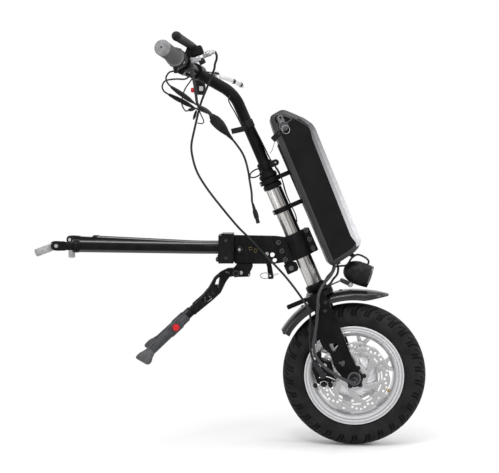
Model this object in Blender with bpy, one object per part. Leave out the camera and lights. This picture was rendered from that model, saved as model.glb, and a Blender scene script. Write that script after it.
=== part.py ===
"""Clip-on electric front-wheel attachment for a manual wheelchair.

Metres, +Z up, +X to the front, +Y to the far (left) side; the floor is z = 0.
The steering column leans back, so everything on it is modelled in a column frame
whose x runs forward, square to the column, and whose z runs up the column from
the wheel's axle. Side outlines are drawn in (forward, up) and pushed out sideways.
"""

import math

import bmesh
import bpy
from mathutils import Matrix, Vector

# Overall layout
CENTRE_X = -0.0254  # middle of the whole length, which becomes x = 0
WHEEL_X = 0.2350
HEAD_ANGLE = math.radians(23.5)
STEER_TURN = math.radians(-5.0)
GAP = 0.0003
RUNNING_GAP = 0.0004

# Wheel
TYRE_RADIUS = 0.160
TYRE_WIDTH = 0.062
TREAD_DEPTH = 0.0035
TREAD_PITCHES = 24
RIM_RADIUS = 0.1115
RIM_LIP_RADIUS = 0.0885
RIM_WIDTH = 0.050
RIM_WALL = 0.004
SPOKES = 6
SPOKE_AT = math.radians(52.2)
SPOKE_WIDTH = 0.022
SPOKE_THICK = 0.012
MOTOR_RADIUS = 0.054
MOTOR_WIDTH = 0.052
COVER_BULGE = 0.006
DISC_RADIUS = 0.080
DISC_TRACK = 0.016
DISC_THICK = 0.0020
DISC_WAVES = 12
DISC_SIDE = 0.0385
DISC_BOLT_CIRCLE = 0.022
DISC_BOLT_RADIUS = 0.0042
DISC_BOLT_AT = math.radians(43.5)
AXLE_RADIUS = 0.006
NUT_RADIUS = 0.0115

# Fork and fender
LEG_SIDE = 0.050
LEG_THICK = 0.008
LEG_FRONT = 0.0155
LEG_REAR = 0.026
DROPOUT_RADIUS = 0.019
CROWN_BOTTOM = 0.1915
CROWN_THICK = 0.012
CROWN_FRONT = 0.032
CROWN_REAR = 0.029
CROWN_SKIRT = 0.034
PEG_RADIUS = 0.0053
PEG_LENGTH = 0.052
FENDER_RADIUS = CROWN_BOTTOM - GAP
FENDER_DROP = 0.020
FENDER_WIDTH = 0.070
FENDER_WALL = 0.0022
FENDER_FRONT = math.radians(45.0)
FENDER_REAR = math.radians(-35.2)

# Column
STEERER_RADIUS = 0.0143
HEAD_TUBE_RADIUS = 0.018
HEAD_TUBE_WALL = 0.0030
HEAD_TUBE_BOTTOM = 0.2220
HEAD_TUBE_TOP = 0.4540
CUP_RADIUS = 0.0235
COLLAR_BOTTOM = 0.4990
COLLAR_HEIGHT = 0.0190
COLLAR_RADIUS = 0.0195

# Stem and bar
STEM_RADIUS = 0.0127
STEM_BEND_AT = 0.681
STEM_BEND_RADIUS = 0.170
STEM_BEND_ANGLE = math.radians(34.4)
STEM_REACH = 0.0985
BAR_RADIUS = 0.0111
BAR_HALF = 0.2790
BAR_STRAIGHT = 0.045
BAR_BEND = 0.055
BAR_BACK = 0.032
BAR_RISE = 0.024
GRIP_RADIUS = 0.0162
GRIP_LENGTH = 0.090
GRIP_WALL = 0.0040
HOUSING_RADIUS = 0.0200
HOUSING_LENGTH = 0.024
PERCH_AT = 0.120
PERCH_LENGTH = 0.022
PERCH_RADIUS = 0.0155
LEVER_RADIUS = 0.0048
LEVER_OUT = 0.040
LEVER_HALF = 0.0045
LEVER_PIN = 0.0025
LEVER_REACH = 0.112
NEAR_CLOCK = math.radians(65.0)
FAR_CLOCK = math.radians(-8.0)
NEAR_AIM = math.radians(-2.0)
FAR_AIM = math.radians(38.0)
SWITCH_AT = 0.090
SWITCH_DROP = -0.036
BUTTON_RADIUS = 0.0056

# Coupling
CLAMP_AT = 0.316
CLAMP_HALF_HEIGHT = 0.0285
CLAMP_REACH = 0.045
CLAMP_FRONT = 0.0420
CLAMP_BULGE = 0.026
CLAMP_SPLIT = 0.0010
CLAMP_BOLT_AT = 0.035
CLAMP_BOLT_STEP = 0.021
BOLT_HEAD_RADIUS = 0.0052
BOLT_HEAD_HEIGHT = 0.0040
PLATE_OUTSIDE = 0.014
TONGUE_HALF = 0.0062
TILT_X = -0.0227
TILT_Z = 0.4400
TILT_BOLT_RADIUS = 0.0050
TILT_HEAD_RADIUS = 0.0085
LOCK_X = 0.0390
LOCK_Z = 0.4303
LOCK_PIN = 0.0045
RING_HOLE = (0.0068, -0.0495)
RING_RADIUS = 0.0100
RING_WIRE = 0.0008
BLADE_HALF = 0.0014
RING_TILT = math.radians(40.0)
CARRIER_REAR = -0.0680
CARRIER_FRONT = -0.0350
CARRIER_BOTTOM = 0.4120
CARRIER_TOP = 0.4730
CARRIER_HALF = 0.0680
POCKET_DEPTH = 0.0125
TONGUE_NOSE = 0.0178

# Arms
ARM_RADIUS = 0.0127
ARM_WALL = 0.0020
ARM_SIDE = 0.0480
ARM_Z = 0.4450
ARM_SPLAY = math.radians(21.0)
ARM_CLIMB = math.radians(1.8)
ARM_BEND_RADIUS = 0.090
ARM_BEND_X = -0.1150
ARM_LENGTH = 0.2745
INSERT_RADIUS = 0.0090
INSERT_OUT = {"near": 0.0371, "far": 0.0610}
INSERT_IN = 0.1300
KNUCKLE_RADIUS = 0.0100
KNUCKLE_HALF = 0.0095
KNUCKLE_BACK = 0.0100
SUPPORT_RADIUS = 0.0082
SUPPORT_LENGTH = 0.0440
ARM_NEAR_SWING = math.radians(-20.0)
ARM_FAR_SWING = math.radians(-90.0)
ARM_MOUTH = 0.0120
GUIDE_LENGTH = 0.0220
PEG_TANG = 0.0035
PEG_PIN = 0.0025

# Stand
STAND_X = -0.0300
STAND_Z = 0.3880
STAND_LEAN = math.radians(43.0)
STAND_SPLAY = math.radians(15.0)
STAND_SIDE = 0.026
STAND_THICK = 0.012
STAND_EYE = 0.0090
STAND_PIN = 0.0040
STAND_LENGTH = 0.1270
LEG_LINE = 0.0050
SLIDER_RADIUS = 0.0075
LOWER_RADIUS = 0.0098
LOWER_START = 0.1460
LOWER_LENGTH = 0.1120
SLIDER_REACH = 0.0750
BUTTON_AT = 0.1820
STAND_BUTTON = 0.0075
BUTTON_FACE = 0.0160
BUTTON_SEAT = 0.0112
FOOT_HALF = 0.0150

# Battery
BATTERY_REAR = 0.0450
BATTERY_FRONT = 0.1310
BATTERY_BOTTOM = 0.2440
BATTERY_TOP = 0.6065
BATTERY_LEAN = 0.0040
BATTERY_WIDTH = 0.098
BATTERY_BEVEL = 0.0085
RAIL_REAR = 0.0460
RAIL_THICK = 0.0060
RAIL_WIDTH = 0.056
RAIL_BOTTOM = 0.270
RAIL_TOP = 0.540
LOWER_ARM_AT = 0.4035
BAND_HEIGHT = 0.0130
BAND_WALL = 0.0045
BAND_ARM_HALF = 0.0110
KEY_AT = (0.0731, 0.5700)
KEY_BARREL = 0.0105
KEY_HOLE_OUT = 0.0190

# Lamp
LAMP_TILT = math.radians(42.5)
LAMP_APEX = (0.0737, 0.2279)
LAMP_LENGTH = 0.0620
LAMP_RADIUS = 0.0265
LAMP_MOUTH = 0.0240
LAMP_WALL = 0.0020
LAMP_PIVOT = (0.0724, 0.1888)
LAMP_EAR = 0.0042
BRACKET_THICK = 0.0020

# Leads
BRAKE_CABLE = 0.0050
MOTOR_CABLE = 0.0065
CONTROL_LEAD = 0.0036
JUNCTION_TOP = (-0.0580, -0.0540, 0.6500)
JUNCTION_END = (-0.0391, -0.0400, 0.5919)
JUNCTION_HALF = 0.0085
PLUG_TOP = (-0.0536, -0.0388, 0.4393)
PLUG_END = (-0.0593, -0.0393, 0.3969)

COLOURS = {
    "black_paint": ((0.012, 0.012, 0.014), 0.32, 0.1),
    "black_anodised": ((0.018, 0.018, 0.020), 0.42, 0.6),
    "black_plastic": ((0.022, 0.022, 0.024), 0.48, 0.0),
    "battery_plastic": ((0.030, 0.031, 0.034), 0.45, 0.0),
    "rubber": ((0.028, 0.028, 0.030), 0.80, 0.0),
    "tyre_rubber": ((0.035, 0.035, 0.037), 0.78, 0.0),
    "grip_grey": ((0.230, 0.230, 0.240), 0.75, 0.0),
    "peg_grey": ((0.420, 0.420, 0.430), 0.65, 0.0),
    "brushed_silver": ((0.620, 0.600, 0.560), 0.30, 1.0),
    "cast_silver": ((0.700, 0.690, 0.680), 0.38, 0.9),
    "disc_steel": ((0.640, 0.630, 0.620), 0.28, 1.0),
    "bright_steel": ((0.600, 0.600, 0.610), 0.25, 1.0),
    "black_steel": ((0.030, 0.030, 0.032), 0.35, 0.8),
    "stand_grey": ((0.085, 0.085, 0.090), 0.50, 0.3),
    "signal_red": ((0.620, 0.020, 0.030), 0.40, 0.0),
    "cable_black": ((0.015, 0.015, 0.016), 0.50, 0.0),
    "clear_lens": ((0.850, 0.880, 0.900), 0.10, 0.0),
}

# Turns a shape drawn flat in (x, y) and pushed out along z into one drawn in
# (forward, up) and pushed out towards the near side.
SIDEWAYS = Matrix.Rotation(math.radians(90.0), 4, "X")


def finish_of(name):
    """The named material, made once."""
    found = bpy.data.materials.get(name)
    if found:
        return found
    colour, roughness, metallic = COLOURS[name]
    made = bpy.data.materials.new(name)
    made.use_nodes = True
    shader = made.node_tree.nodes["Principled BSDF"]
    shader.inputs["Base Color"].default_value = (*colour, 1.0)
    shader.inputs["Roughness"].default_value = roughness
    shader.inputs["Metallic"].default_value = metallic
    made.diffuse_color = (*colour, 1.0)
    return made


def axis_empty(name, parent, location=(0, 0, 0), rotation=None):
    """An empty that carries the pieces on one joint axis or in one frame."""
    empty = bpy.data.objects.new(name, None)
    bpy.context.scene.collection.objects.link(empty)
    empty.parent = parent
    turned = rotation or Matrix.Identity(4)
    empty.matrix_local = Matrix.Translation(location) @ turned
    return empty


def piece(name, shape, parent, material, sharp=35.0):
    """One named object from a bmesh, shaded smooth below the sharp angle."""
    mesh = bpy.data.meshes.new(name)
    bmesh.ops.recalc_face_normals(shape, faces=shape.faces)
    bmesh.ops.triangulate(shape, faces=[f for f in shape.faces if len(f.verts) > 4])
    shape.to_mesh(mesh)
    shape.free()
    mesh.shade_smooth()
    mesh.set_sharp_from_angle(angle=math.radians(sharp))
    made = bpy.data.objects.new(name, mesh)
    bpy.context.scene.collection.objects.link(made)
    made.parent = parent
    made.data.materials.append(finish_of(material))
    return made


def boolean(target, shape, operation="DIFFERENCE"):
    """Cut a shape from an object or weld it on, in the object's own frame."""
    tool = piece(f"{target.name}_{operation.lower()}_{len(target.modifiers)}", shape, target.parent,
                 "black_steel")
    tool.hide_render = True
    tool.display_type = "WIRE"
    modifier = target.modifiers.new(operation.title(), "BOOLEAN")
    modifier.operation = operation
    modifier.object = tool
    return target


def together(*shapes):
    """Several closed shapes in one bmesh, still separate bodies."""
    whole = bmesh.new()
    for shape in shapes:
        spare = bpy.data.meshes.new("spare")
        shape.to_mesh(spare)
        shape.free()
        whole.from_mesh(spare)
        bpy.data.meshes.remove(spare)
    return whole


def moved(shape, matrix):
    """The shape with its vertices put through a matrix."""
    shape.transform(matrix)
    return shape


def shift(x=0.0, y=0.0, z=0.0):
    return Matrix.Translation((x, y, z))


def ring_angles(sides, start=0.0):
    return [start + 2 * math.pi * k / sides for k in range(sides)]


def turned(profile, sides):
    """A closed outline of (radius, height) points turned round z."""
    shape = bmesh.new()
    rings = []
    for radius, height in profile:
        if radius < 1e-7:
            rings.append([shape.verts.new((0, 0, height))])
        else:
            rings.append([shape.verts.new((radius * math.cos(a), radius * math.sin(a), height))
                          for a in ring_angles(sides)])
    for k, first in enumerate(rings):
        second = rings[(k + 1) % len(rings)]
        for j in range(sides):
            corners = [first[j % len(first)], first[(j + 1) % len(first)],
                       second[(j + 1) % len(second)], second[j % len(second)]]
            corners = list(dict.fromkeys(corners))
            if len(corners) > 2:
                shape.faces.new(corners)
    return shape


def cylinder(radius, low, high, sides=16, bore=0.0, edge=0.0):
    """A round bar or, with a bore, a tube, from low to high on z, its rims chamfered by edge."""
    outside = [(radius - edge, low), (radius, low + edge), (radius, high - edge), (radius - edge, high)]
    if not edge:
        outside = [(radius, low), (radius, high)]
    inside = [(bore, high), (bore, low)]
    return turned(outside + inside, sides)


def around(radius, sides, gap=GAP):
    """Bore radius whose flats still clear a round bar by the gap."""
    return (radius + gap) / math.cos(math.pi / sides)


def prism(outline, low, high):
    """A flat outline pushed from low to high along z."""
    shape = bmesh.new()
    floor = [shape.verts.new((x, y, low)) for x, y in outline]
    roof = [shape.verts.new((x, y, high)) for x, y in outline]
    shape.faces.new(floor[::-1])
    shape.faces.new(roof)
    for j in range(len(outline)):
        k = (j + 1) % len(outline)
        shape.faces.new((floor[j], floor[k], roof[k], roof[j]))
    return shape


def side_plate(outline, near, far):
    """A (forward, up) outline as a plate between two distances towards the near side."""
    return moved(prism(outline, far, near), SIDEWAYS)


def cross_bar(radius, at, near, far, sides=12, bore=0.0, edge=0.0):
    """A round bar or tube across the object at a (forward, up) point."""
    return moved(cylinder(radius, far, near, sides, bore, edge), shift(at[0], 0, at[1]) @ SIDEWAYS)


def box(low, high):
    """A block between two opposite corners."""
    outline = [(low[0], low[1]), (high[0], low[1]), (high[0], high[1]), (low[0], high[1])]
    return prism(outline, low[2], high[2])


def chamfered(shape, width, segments=1, above=50.0):
    """The shape with every edge sharper than an angle bevelled."""
    edges = [e for e in shape.edges if e.calc_face_angle(0.0) > math.radians(above)]
    bmesh.ops.recalc_face_normals(shape, faces=shape.faces)
    bmesh.ops.bevel(shape, geom=edges, offset=width, segments=segments, profile=0.5,
                    affect="EDGES", clamp_overlap=True)
    return shape


def arc(centre, radius, start, end, steps):
    """Points on an arc, angles counted in radians from the first axis."""
    return [(centre[0] + radius * math.cos(start + (end - start) * k / steps),
             centre[1] + radius * math.sin(start + (end - start) * k / steps))
            for k in range(steps + 1)]


def rounded(corners, radius, steps=3):
    """A closed outline with each corner rounded by an arc, radius one value or one per corner."""
    outline = []
    for k, corner in enumerate(corners):
        size = radius[k] if isinstance(radius, (list, tuple)) else radius
        here = Vector(corner)
        back = (Vector(corners[k - 1]) - here)
        ahead = (Vector(corners[(k + 1) % len(corners)]) - here)
        if size <= 0:
            outline.append(tuple(here))
            continue
        angle = back.angle(ahead)
        reach = min(size / math.tan(angle / 2), 0.49 * back.length, 0.49 * ahead.length)
        size = reach * math.tan(angle / 2)
        middle = here + (back.normalized() + ahead.normalized()).normalized() * (size / math.sin(angle / 2))
        first = here + back.normalized() * reach - middle
        last = here + ahead.normalized() * reach - middle
        swing = first.angle_signed(last)
        for j in range(steps + 1):
            turn = Matrix.Rotation(-swing * j / steps, 2)
            outline.append(tuple(middle + turn @ first))
    return outline


def oblong(first, last, radius, steps=5):
    """The outline of a slot or link with round ends centred on two points."""
    ahead = math.atan2(last[1] - first[1], last[0] - first[0])
    half = math.pi / 2
    return (arc(last, radius, ahead - half, ahead + half, steps)
            + arc(first, radius, ahead + half, ahead + 3 * half, steps))


def swept(route, radius, sides=14, bore=0.0, closed=False):
    """A tube whose rings follow a route of points; radius is one value or one per point."""
    shape = bmesh.new()
    points = [Vector(p) for p in route]
    count = len(points)
    ahead = []
    for k in range(count):
        before = points[k - 1] if (k or closed) else points[k]
        after = points[(k + 1) % count] if (k < count - 1 or closed) else points[k]
        ahead.append((after - before).normalized())
    side = ahead[0].orthogonal().normalized()
    loops = []
    for k in range(count):
        side = (side - ahead[k] * side.dot(ahead[k])).normalized()
        up = ahead[k].cross(side)
        size = radius[k] if isinstance(radius, (list, tuple)) else radius
        loops.append([[shape.verts.new(points[k] + (side * math.cos(a) + up * math.sin(a)) * r)
                       for a in ring_angles(sides)] for r in ([size, bore] if bore else [size])])
    for layer in range(len(loops[0])):
        for k in range(count if closed else count - 1):
            first, last = loops[k][layer], loops[(k + 1) % count][layer]
            for j in range(sides):
                shape.faces.new((first[j], first[(j + 1) % sides], last[(j + 1) % sides], last[j]))
    if not closed:
        for end in (loops[0], loops[-1]):
            if bore:
                for j in range(sides):
                    n = (j + 1) % sides
                    shape.faces.new((end[0][j], end[0][n], end[1][n], end[1][j]))
            else:
                shape.faces.new(end[0])
    bmesh.ops.recalc_face_normals(shape, faces=shape.faces)
    return shape


def smooth_route(points, spacing):
    """Points at an even spacing along a Catmull-Rom curve through the given ones."""
    nodes = [Vector(p) for p in points]
    nodes = [2 * nodes[0] - nodes[1]] + nodes + [2 * nodes[-1] - nodes[-2]]
    fine = []
    for a, b, c, d in zip(nodes, nodes[1:], nodes[2:], nodes[3:]):
        for step in range(24):
            t = step / 24
            fine.append(0.5 * (2 * b + (c - a) * t + (2 * a - 5 * b + 4 * c - d) * t * t
                               + (3 * b - a - 3 * c + d) * t ** 3))
    fine.append(nodes[-2])
    total = sum((q - p).length for p, q in zip(fine, fine[1:]))
    count = max(2, round(total / spacing))
    route, walked, target = [fine[0]], 0.0, total / count
    for p, q in zip(fine, fine[1:]):
        length = (q - p).length
        while walked + length >= target - 1e-9 and len(route) < count:
            route.append(p.lerp(q, (target - walked) / length))
            target += total / count
        walked += length
    return route + [fine[-1]]


def cord(name, points, diameter, parent, material, resolution=2, reach=3.0):
    """A cable as one curve object with filled caps."""
    curve = bpy.data.curves.new(name, "CURVE")
    curve.dimensions = "3D"
    curve.bevel_depth = diameter / 2
    curve.bevel_resolution = resolution
    curve.use_fill_caps = True
    route = smooth_route(points, diameter * reach)
    first, last = Vector(points[0]), Vector(points[-1])
    lead_in = first + (Vector(points[1]) - first).normalized() * diameter
    lead_out = last + (Vector(points[-2]) - last).normalized() * diameter
    route = [first, lead_in] + route[1:-1] + [lead_out, last]
    spline = curve.splines.new("POLY")
    spline.points.add(len(route) - 1)
    for k, p in enumerate(route):
        spline.points[k].co = (*p, 1.0)
    made = bpy.data.objects.new(name, curve)
    bpy.context.scene.collection.objects.link(made)
    made.parent = parent
    curve.materials.append(finish_of(material))
    return made


def tyre_ring(across, radius, steps):
    """One row of the tyre: its tread grooves slant back from a plain centre rib."""
    points = []
    spread = abs(across) / (TYRE_WIDTH / 2)
    for k in range(steps):
        turn = 2 * math.pi * k / steps
        phase = (TREAD_PITCHES * k / steps + 0.9 * spread * (1 if across < 0 else -1)) % 1.0
        grooved = phase < 0.3 and 0.2 < spread < 1.01 and radius > TYRE_RADIUS - 0.024
        size = radius - (TREAD_DEPTH if grooved else 0.0)
        points.append((size * math.sin(turn), across, size * math.cos(turn)))
    return points


def make_tyre(parent):
    """The tyre: a round section on its beads, with slanted tread grooves."""
    half = TYRE_WIDTH / 2
    seat = RIM_RADIUS - 0.0072
    outside = [(0.0, 0.160), (0.42, 0.1576), (0.76, 0.1500), (0.985, 0.1350), (0.95, 0.1210)]
    section = [(a * half, TYRE_RADIUS - (0.160 - r)) for a, r in outside]
    section += [(RIM_WIDTH / 2 - RIM_WALL, RIM_RADIUS + 0.0004),
                (RIM_WIDTH / 2 - RIM_WALL - GAP, seat + GAP)]
    section = section + [(-a, r) for a, r in reversed(section) if a > 0]
    steps = TREAD_PITCHES * 3
    shape = bmesh.new()
    rows = [[shape.verts.new(p) for p in tyre_ring(a, r, steps)] for a, r in section]
    for k, row in enumerate(rows):
        other = rows[(k + 1) % len(rows)]
        for j in range(steps):
            n = (j + 1) % steps
            shape.faces.new((row[j], row[n], other[n], other[j]))
    return piece("tyre", shape, parent, "tyre_rubber")


def spoke_outline(middle):
    """A spoke that forks into two toes at the rim, in the wheel's plane."""
    root, split, tip = MOTOR_RADIUS - 0.004, 0.072, RIM_LIP_RADIUS + 0.004
    half = SPOKE_WIDTH / 2
    left = [(root, -half), (split, -half * 0.9), (tip, -half * 1.35)]
    fork = [(tip, -half * 0.35), (split + 0.004, 0.0)]
    upper = left + fork + [(r, -w) for r, w in reversed(left + fork[:1])]
    turn = Matrix.Rotation(middle, 2)
    return [tuple(turn @ Vector(p)) for p in upper]


def make_rim(parent):
    """Cast rim: the barrel, six forked spokes and the motor drum in one casting."""
    half = RIM_WIDTH / 2
    seat = RIM_RADIUS - 0.0072
    barrel = [(RIM_RADIUS, half), (RIM_RADIUS, half - RIM_WALL), (seat, half - RIM_WALL)]
    barrel += [(r, -y) for r, y in reversed(barrel)]
    barrel += [(RIM_RADIUS - 0.007, -half), (RIM_LIP_RADIUS, -half + 0.004),
               (RIM_LIP_RADIUS - 0.002, -half + 0.012),
               (RIM_LIP_RADIUS - 0.002, half - 0.012), (RIM_LIP_RADIUS, half - 0.004),
               (RIM_RADIUS - 0.007, half)]
    rim = piece("rim", moved(turned(barrel, 36), SIDEWAYS), parent, "cast_silver")
    spokes = [side_plate(spoke_outline(SPOKE_AT + 2 * math.pi * k / SPOKES),
                         SPOKE_THICK / 2, -SPOKE_THICK / 2) for k in range(SPOKES)]
    boolean(rim, together(*spokes), "UNION")
    bore = around(AXLE_RADIUS, 28)
    drum = [(MOTOR_RADIUS, -MOTOR_WIDTH / 2), (MOTOR_RADIUS, MOTOR_WIDTH / 2), (bore, MOTOR_WIDTH / 2),
            (bore, -MOTOR_WIDTH / 2 - COVER_BULGE), (0.020, -MOTOR_WIDTH / 2 - COVER_BULGE),
            (0.044, -MOTOR_WIDTH / 2 - COVER_BULGE * 0.6)]
    boolean(rim, moved(turned(drum, 28), SIDEWAYS), "UNION")
    return rim


def cover_height(radius, turn):
    """Height of the motor cover's front: a shallow dome with ten spiral ribs."""
    share = max(0.0, min(1.0, (MOTOR_RADIUS - 0.002 - radius) / 0.022))
    dome = MOTOR_WIDTH / 2 + 0.003 + COVER_BULGE * math.sin(share * math.pi / 2)
    ridge = math.cos(10 * turn + 55.0 * share / 10)
    return dome + 0.0011 * max(0.0, ridge) * math.sin(share * math.pi)


def make_motor_cover(parent):
    """Round cover of the hub motor on the disc side, with the boss the disc sits on."""
    sides = 36
    back = MOTOR_WIDTH / 2 + GAP
    boss = DISC_SIDE - GAP
    radii = [MOTOR_RADIUS - 0.002, 0.0465, 0.0415, 0.0365, 0.0310]
    shape = bmesh.new()
    bore = around(AXLE_RADIUS, sides)
    rows = [[(bore, back)] * sides, [(radii[0], back)] * sides]
    rows += [[(r, cover_height(r, 2 * math.pi * j / sides)) for j in range(sides)] for r in radii]
    rows += [[(0.0285, boss)] * sides, [(bore, boss)] * sides]
    made = [[shape.verts.new((r * math.cos(2 * math.pi * j / sides),
                              r * math.sin(2 * math.pi * j / sides), h))
             for j, (r, h) in enumerate(row)] for row in rows]
    for k, row in enumerate(made):
        other = made[(k + 1) % len(made)]
        for j in range(sides):
            n = (j + 1) % sides
            shape.faces.new((row[j], row[n], other[n], other[j]))
    return piece("motor_cover", moved(shape, SIDEWAYS), parent, "cast_silver")


def make_brake_disc(parent):
    """Wavy-edged disc with six swept arms, a drilled track and its six bolt heads."""
    near, far = DISC_SIDE + DISC_THICK, DISC_SIDE
    steps = DISC_WAVES * 4
    wave = [(DISC_RADIUS - 0.0011 + 0.0011 * math.cos(DISC_WAVES * 2 * math.pi * k / steps),
             2 * math.pi * k / steps)
            for k in range(steps)]
    disc = piece("brake_disc", side_plate([(r * math.cos(a), r * math.sin(a)) for r, a in wave], near, far),
                 parent, "disc_steel")
    cuts = [side_plate(arc((0, 0), AXLE_RADIUS + 0.002, 0, 2 * math.pi * 15 / 16, 15), near + 0.002,
                       far - 0.002)]
    inner, outer = DISC_BOLT_CIRCLE + 0.009, DISC_RADIUS - DISC_TRACK
    for k in range(6):
        start = 2 * math.pi * k / 6
        swing = math.radians(18.0)
        window = arc((0, 0), inner, start + 0.12, start + 0.80, 3)
        window += arc((0, 0), outer, start + 0.86 + swing, start + 0.10 + swing, 6)
        cuts.append(side_plate(window, near + 0.002, far - 0.002))
    for k in range(12):
        middle = 2 * math.pi * (k + 0.5) / 12
        size = DISC_RADIUS - DISC_TRACK * (0.36 if k % 2 else 0.60)
        cuts.append(cross_bar(0.0026, (size * math.cos(middle), size * math.sin(middle)),
                              near + 0.002, far - 0.002, 6))
    boolean(disc, together(*cuts))
    heads = [cross_bar(DISC_BOLT_RADIUS, (DISC_BOLT_CIRCLE * math.cos(a), DISC_BOLT_CIRCLE * math.sin(a)),
                       near + 0.0035, near - 0.0008, 6) for a in ring_angles(6, DISC_BOLT_AT)]
    boolean(disc, together(*heads), "UNION")
    return disc


def make_axle(parent):
    """Fixed axle with a nut and washer outside each leg; the near end carries the lead's boot."""
    seat = LEG_SIDE + LEG_THICK + GAP
    washer = seat + 0.0020
    boot = NUT_RADIUS * 0.70
    near_end, far_end = LEG_SIDE + LEG_THICK + 0.028, seat + 0.0140
    outline = [(0, -far_end), (AXLE_RADIUS, -far_end), (AXLE_RADIUS, -washer), (NUT_RADIUS, -washer),
               (NUT_RADIUS, -seat), (AXLE_RADIUS, -seat), (AXLE_RADIUS, seat), (NUT_RADIUS, seat),
               (NUT_RADIUS, washer),
               (boot, washer), (boot, near_end - 0.0020), (boot - 0.0020, near_end), (0, near_end)]
    axle = piece("axle", moved(turned(outline, 14), SIDEWAYS), parent, "black_steel")
    for face in (1, -1):
        ends = (face * (seat + 0.0010), face * (seat + 0.0095))
        boolean(axle, cross_bar(NUT_RADIUS * 0.92, (0, 0), max(ends), min(ends), 6), "UNION")
    return axle


def make_wheel(parent):
    make_tyre(parent)
    make_rim(parent)
    make_motor_cover(parent)
    make_brake_disc(parent)


def leg_outline(mount):
    """Outline of a fork plate in (forward, up): a taper with a round dropout, and the calliper ears."""
    top = CROWN_BOTTOM + CROWN_THICK
    front = [(DROPOUT_RADIUS * 0.83, 0.010), (LEG_FRONT - 0.002, 0.045), (LEG_FRONT, 0.105),
             (LEG_FRONT, top)]
    rear = [(-LEG_FRONT, top), (-LEG_REAR, 0.145)]
    if mount:
        rear += [(-LEG_REAR - 0.011, 0.105), (-LEG_REAR - 0.010, 0.088), (-LEG_REAR - 0.001, 0.070),
                 (-LEG_REAR - 0.004, 0.045), (-LEG_REAR - 0.003, 0.034)]
    else:
        rear += [(-LEG_REAR + 0.002, 0.090), (-LEG_REAR + 0.005, 0.045)]
    below = arc((0, 0), DROPOUT_RADIUS, math.radians(205), math.radians(372), 8)
    return rear + below + front


def make_fork_leg(name, face, parent):
    """A plate leg with two triangular lightening holes and the axle hole."""
    near, far = sorted((face * (LEG_SIDE + LEG_THICK), face * LEG_SIDE), reverse=True)
    leg = piece(name, chamfered(side_plate(leg_outline(face > 0), near, far), 0.0012), parent, "black_paint")
    upper = rounded([(-0.021, 0.093), (-0.0005, 0.084), (-0.0205, 0.067)], 0.0025, 2)
    lower = rounded([(-0.0215, 0.0465), (-0.0025, 0.0465), (-0.0105, 0.0310)], 0.0025, 2)
    cuts = [side_plate(upper, near + 0.002, far - 0.002), side_plate(lower, near + 0.002, far - 0.002),
            cross_bar(AXLE_RADIUS + GAP, (0, 0), near + 0.002, far - 0.002, 16)]
    boolean(leg, together(*cuts))
    return leg


def make_crown(parent):
    """Crown plate with shoulders outside the fender, the steerer and the rear peg."""
    top = CROWN_BOTTOM + CROWN_THICK
    inside = LEG_SIDE - GAP
    radii = [0.004, 0.004, 0.012, 0.012, 0.004, 0.004]
    plan = rounded([(-CROWN_REAR, -inside), (LEG_FRONT, -inside), (CROWN_FRONT, -0.016),
                    (CROWN_FRONT, 0.016), (LEG_FRONT, inside), (-CROWN_REAR, inside)], radii, 3)
    crown = piece("fork_crown", chamfered(prism(plan, CROWN_BOTTOM, top), 0.0015), parent, "black_paint")
    for face in (1, -1):
        near, far = sorted((face * inside, face * (FENDER_WIDTH / 2 + 0.004)), reverse=True)
        skirt = rounded([(-LEG_FRONT, CROWN_BOTTOM - CROWN_SKIRT),
                         (LEG_FRONT - 0.002, CROWN_BOTTOM - CROWN_SKIRT),
                         (LEG_FRONT - 0.001, top - 0.002), (-CROWN_REAR + 0.002, top - 0.002),
                         (-CROWN_REAR + 0.002, CROWN_BOTTOM - 0.010)], 0.003, 2)
        boolean(crown, side_plate(skirt, near, far), "UNION")
    steerer = cylinder(STEERER_RADIUS, top - 0.002, COLLAR_BOTTOM + COLLAR_HEIGHT - 0.002, 20,
                       around(STEM_RADIUS, 20))
    boolean(crown, steerer, "UNION")
    boolean(crown, cylinder(around(STEM_RADIUS, 20), CROWN_BOTTOM + 0.004, top + 0.004, 20))
    tilt = Matrix.Rotation(math.radians(-90.0), 4, "Y")
    peg = moved(cylinder(PEG_RADIUS, 0, PEG_LENGTH, 12, 0.0, 0.0015),
                shift(-CROWN_REAR + 0.004, -0.018, CROWN_BOTTOM + 0.0058) @ tilt)
    boolean(crown, peg, "UNION")
    return crown


def fender_section(drop):
    """Half-round channel section of the fender as (across, radius) points, outside then inside."""
    half = FENDER_WIDTH / 2
    outside, inside = [], []
    for k in range(7):
        turn = math.pi * k / 6
        outside.append((-half * math.cos(turn), FENDER_RADIUS - drop * (1 - math.sin(turn)) ** 1.4))
        inside.append((-(half - FENDER_WALL) * math.cos(turn),
                       FENDER_RADIUS - FENDER_WALL - (drop - FENDER_WALL) * (1 - math.sin(turn)) ** 1.4))
    return outside + inside[::-1]


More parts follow.
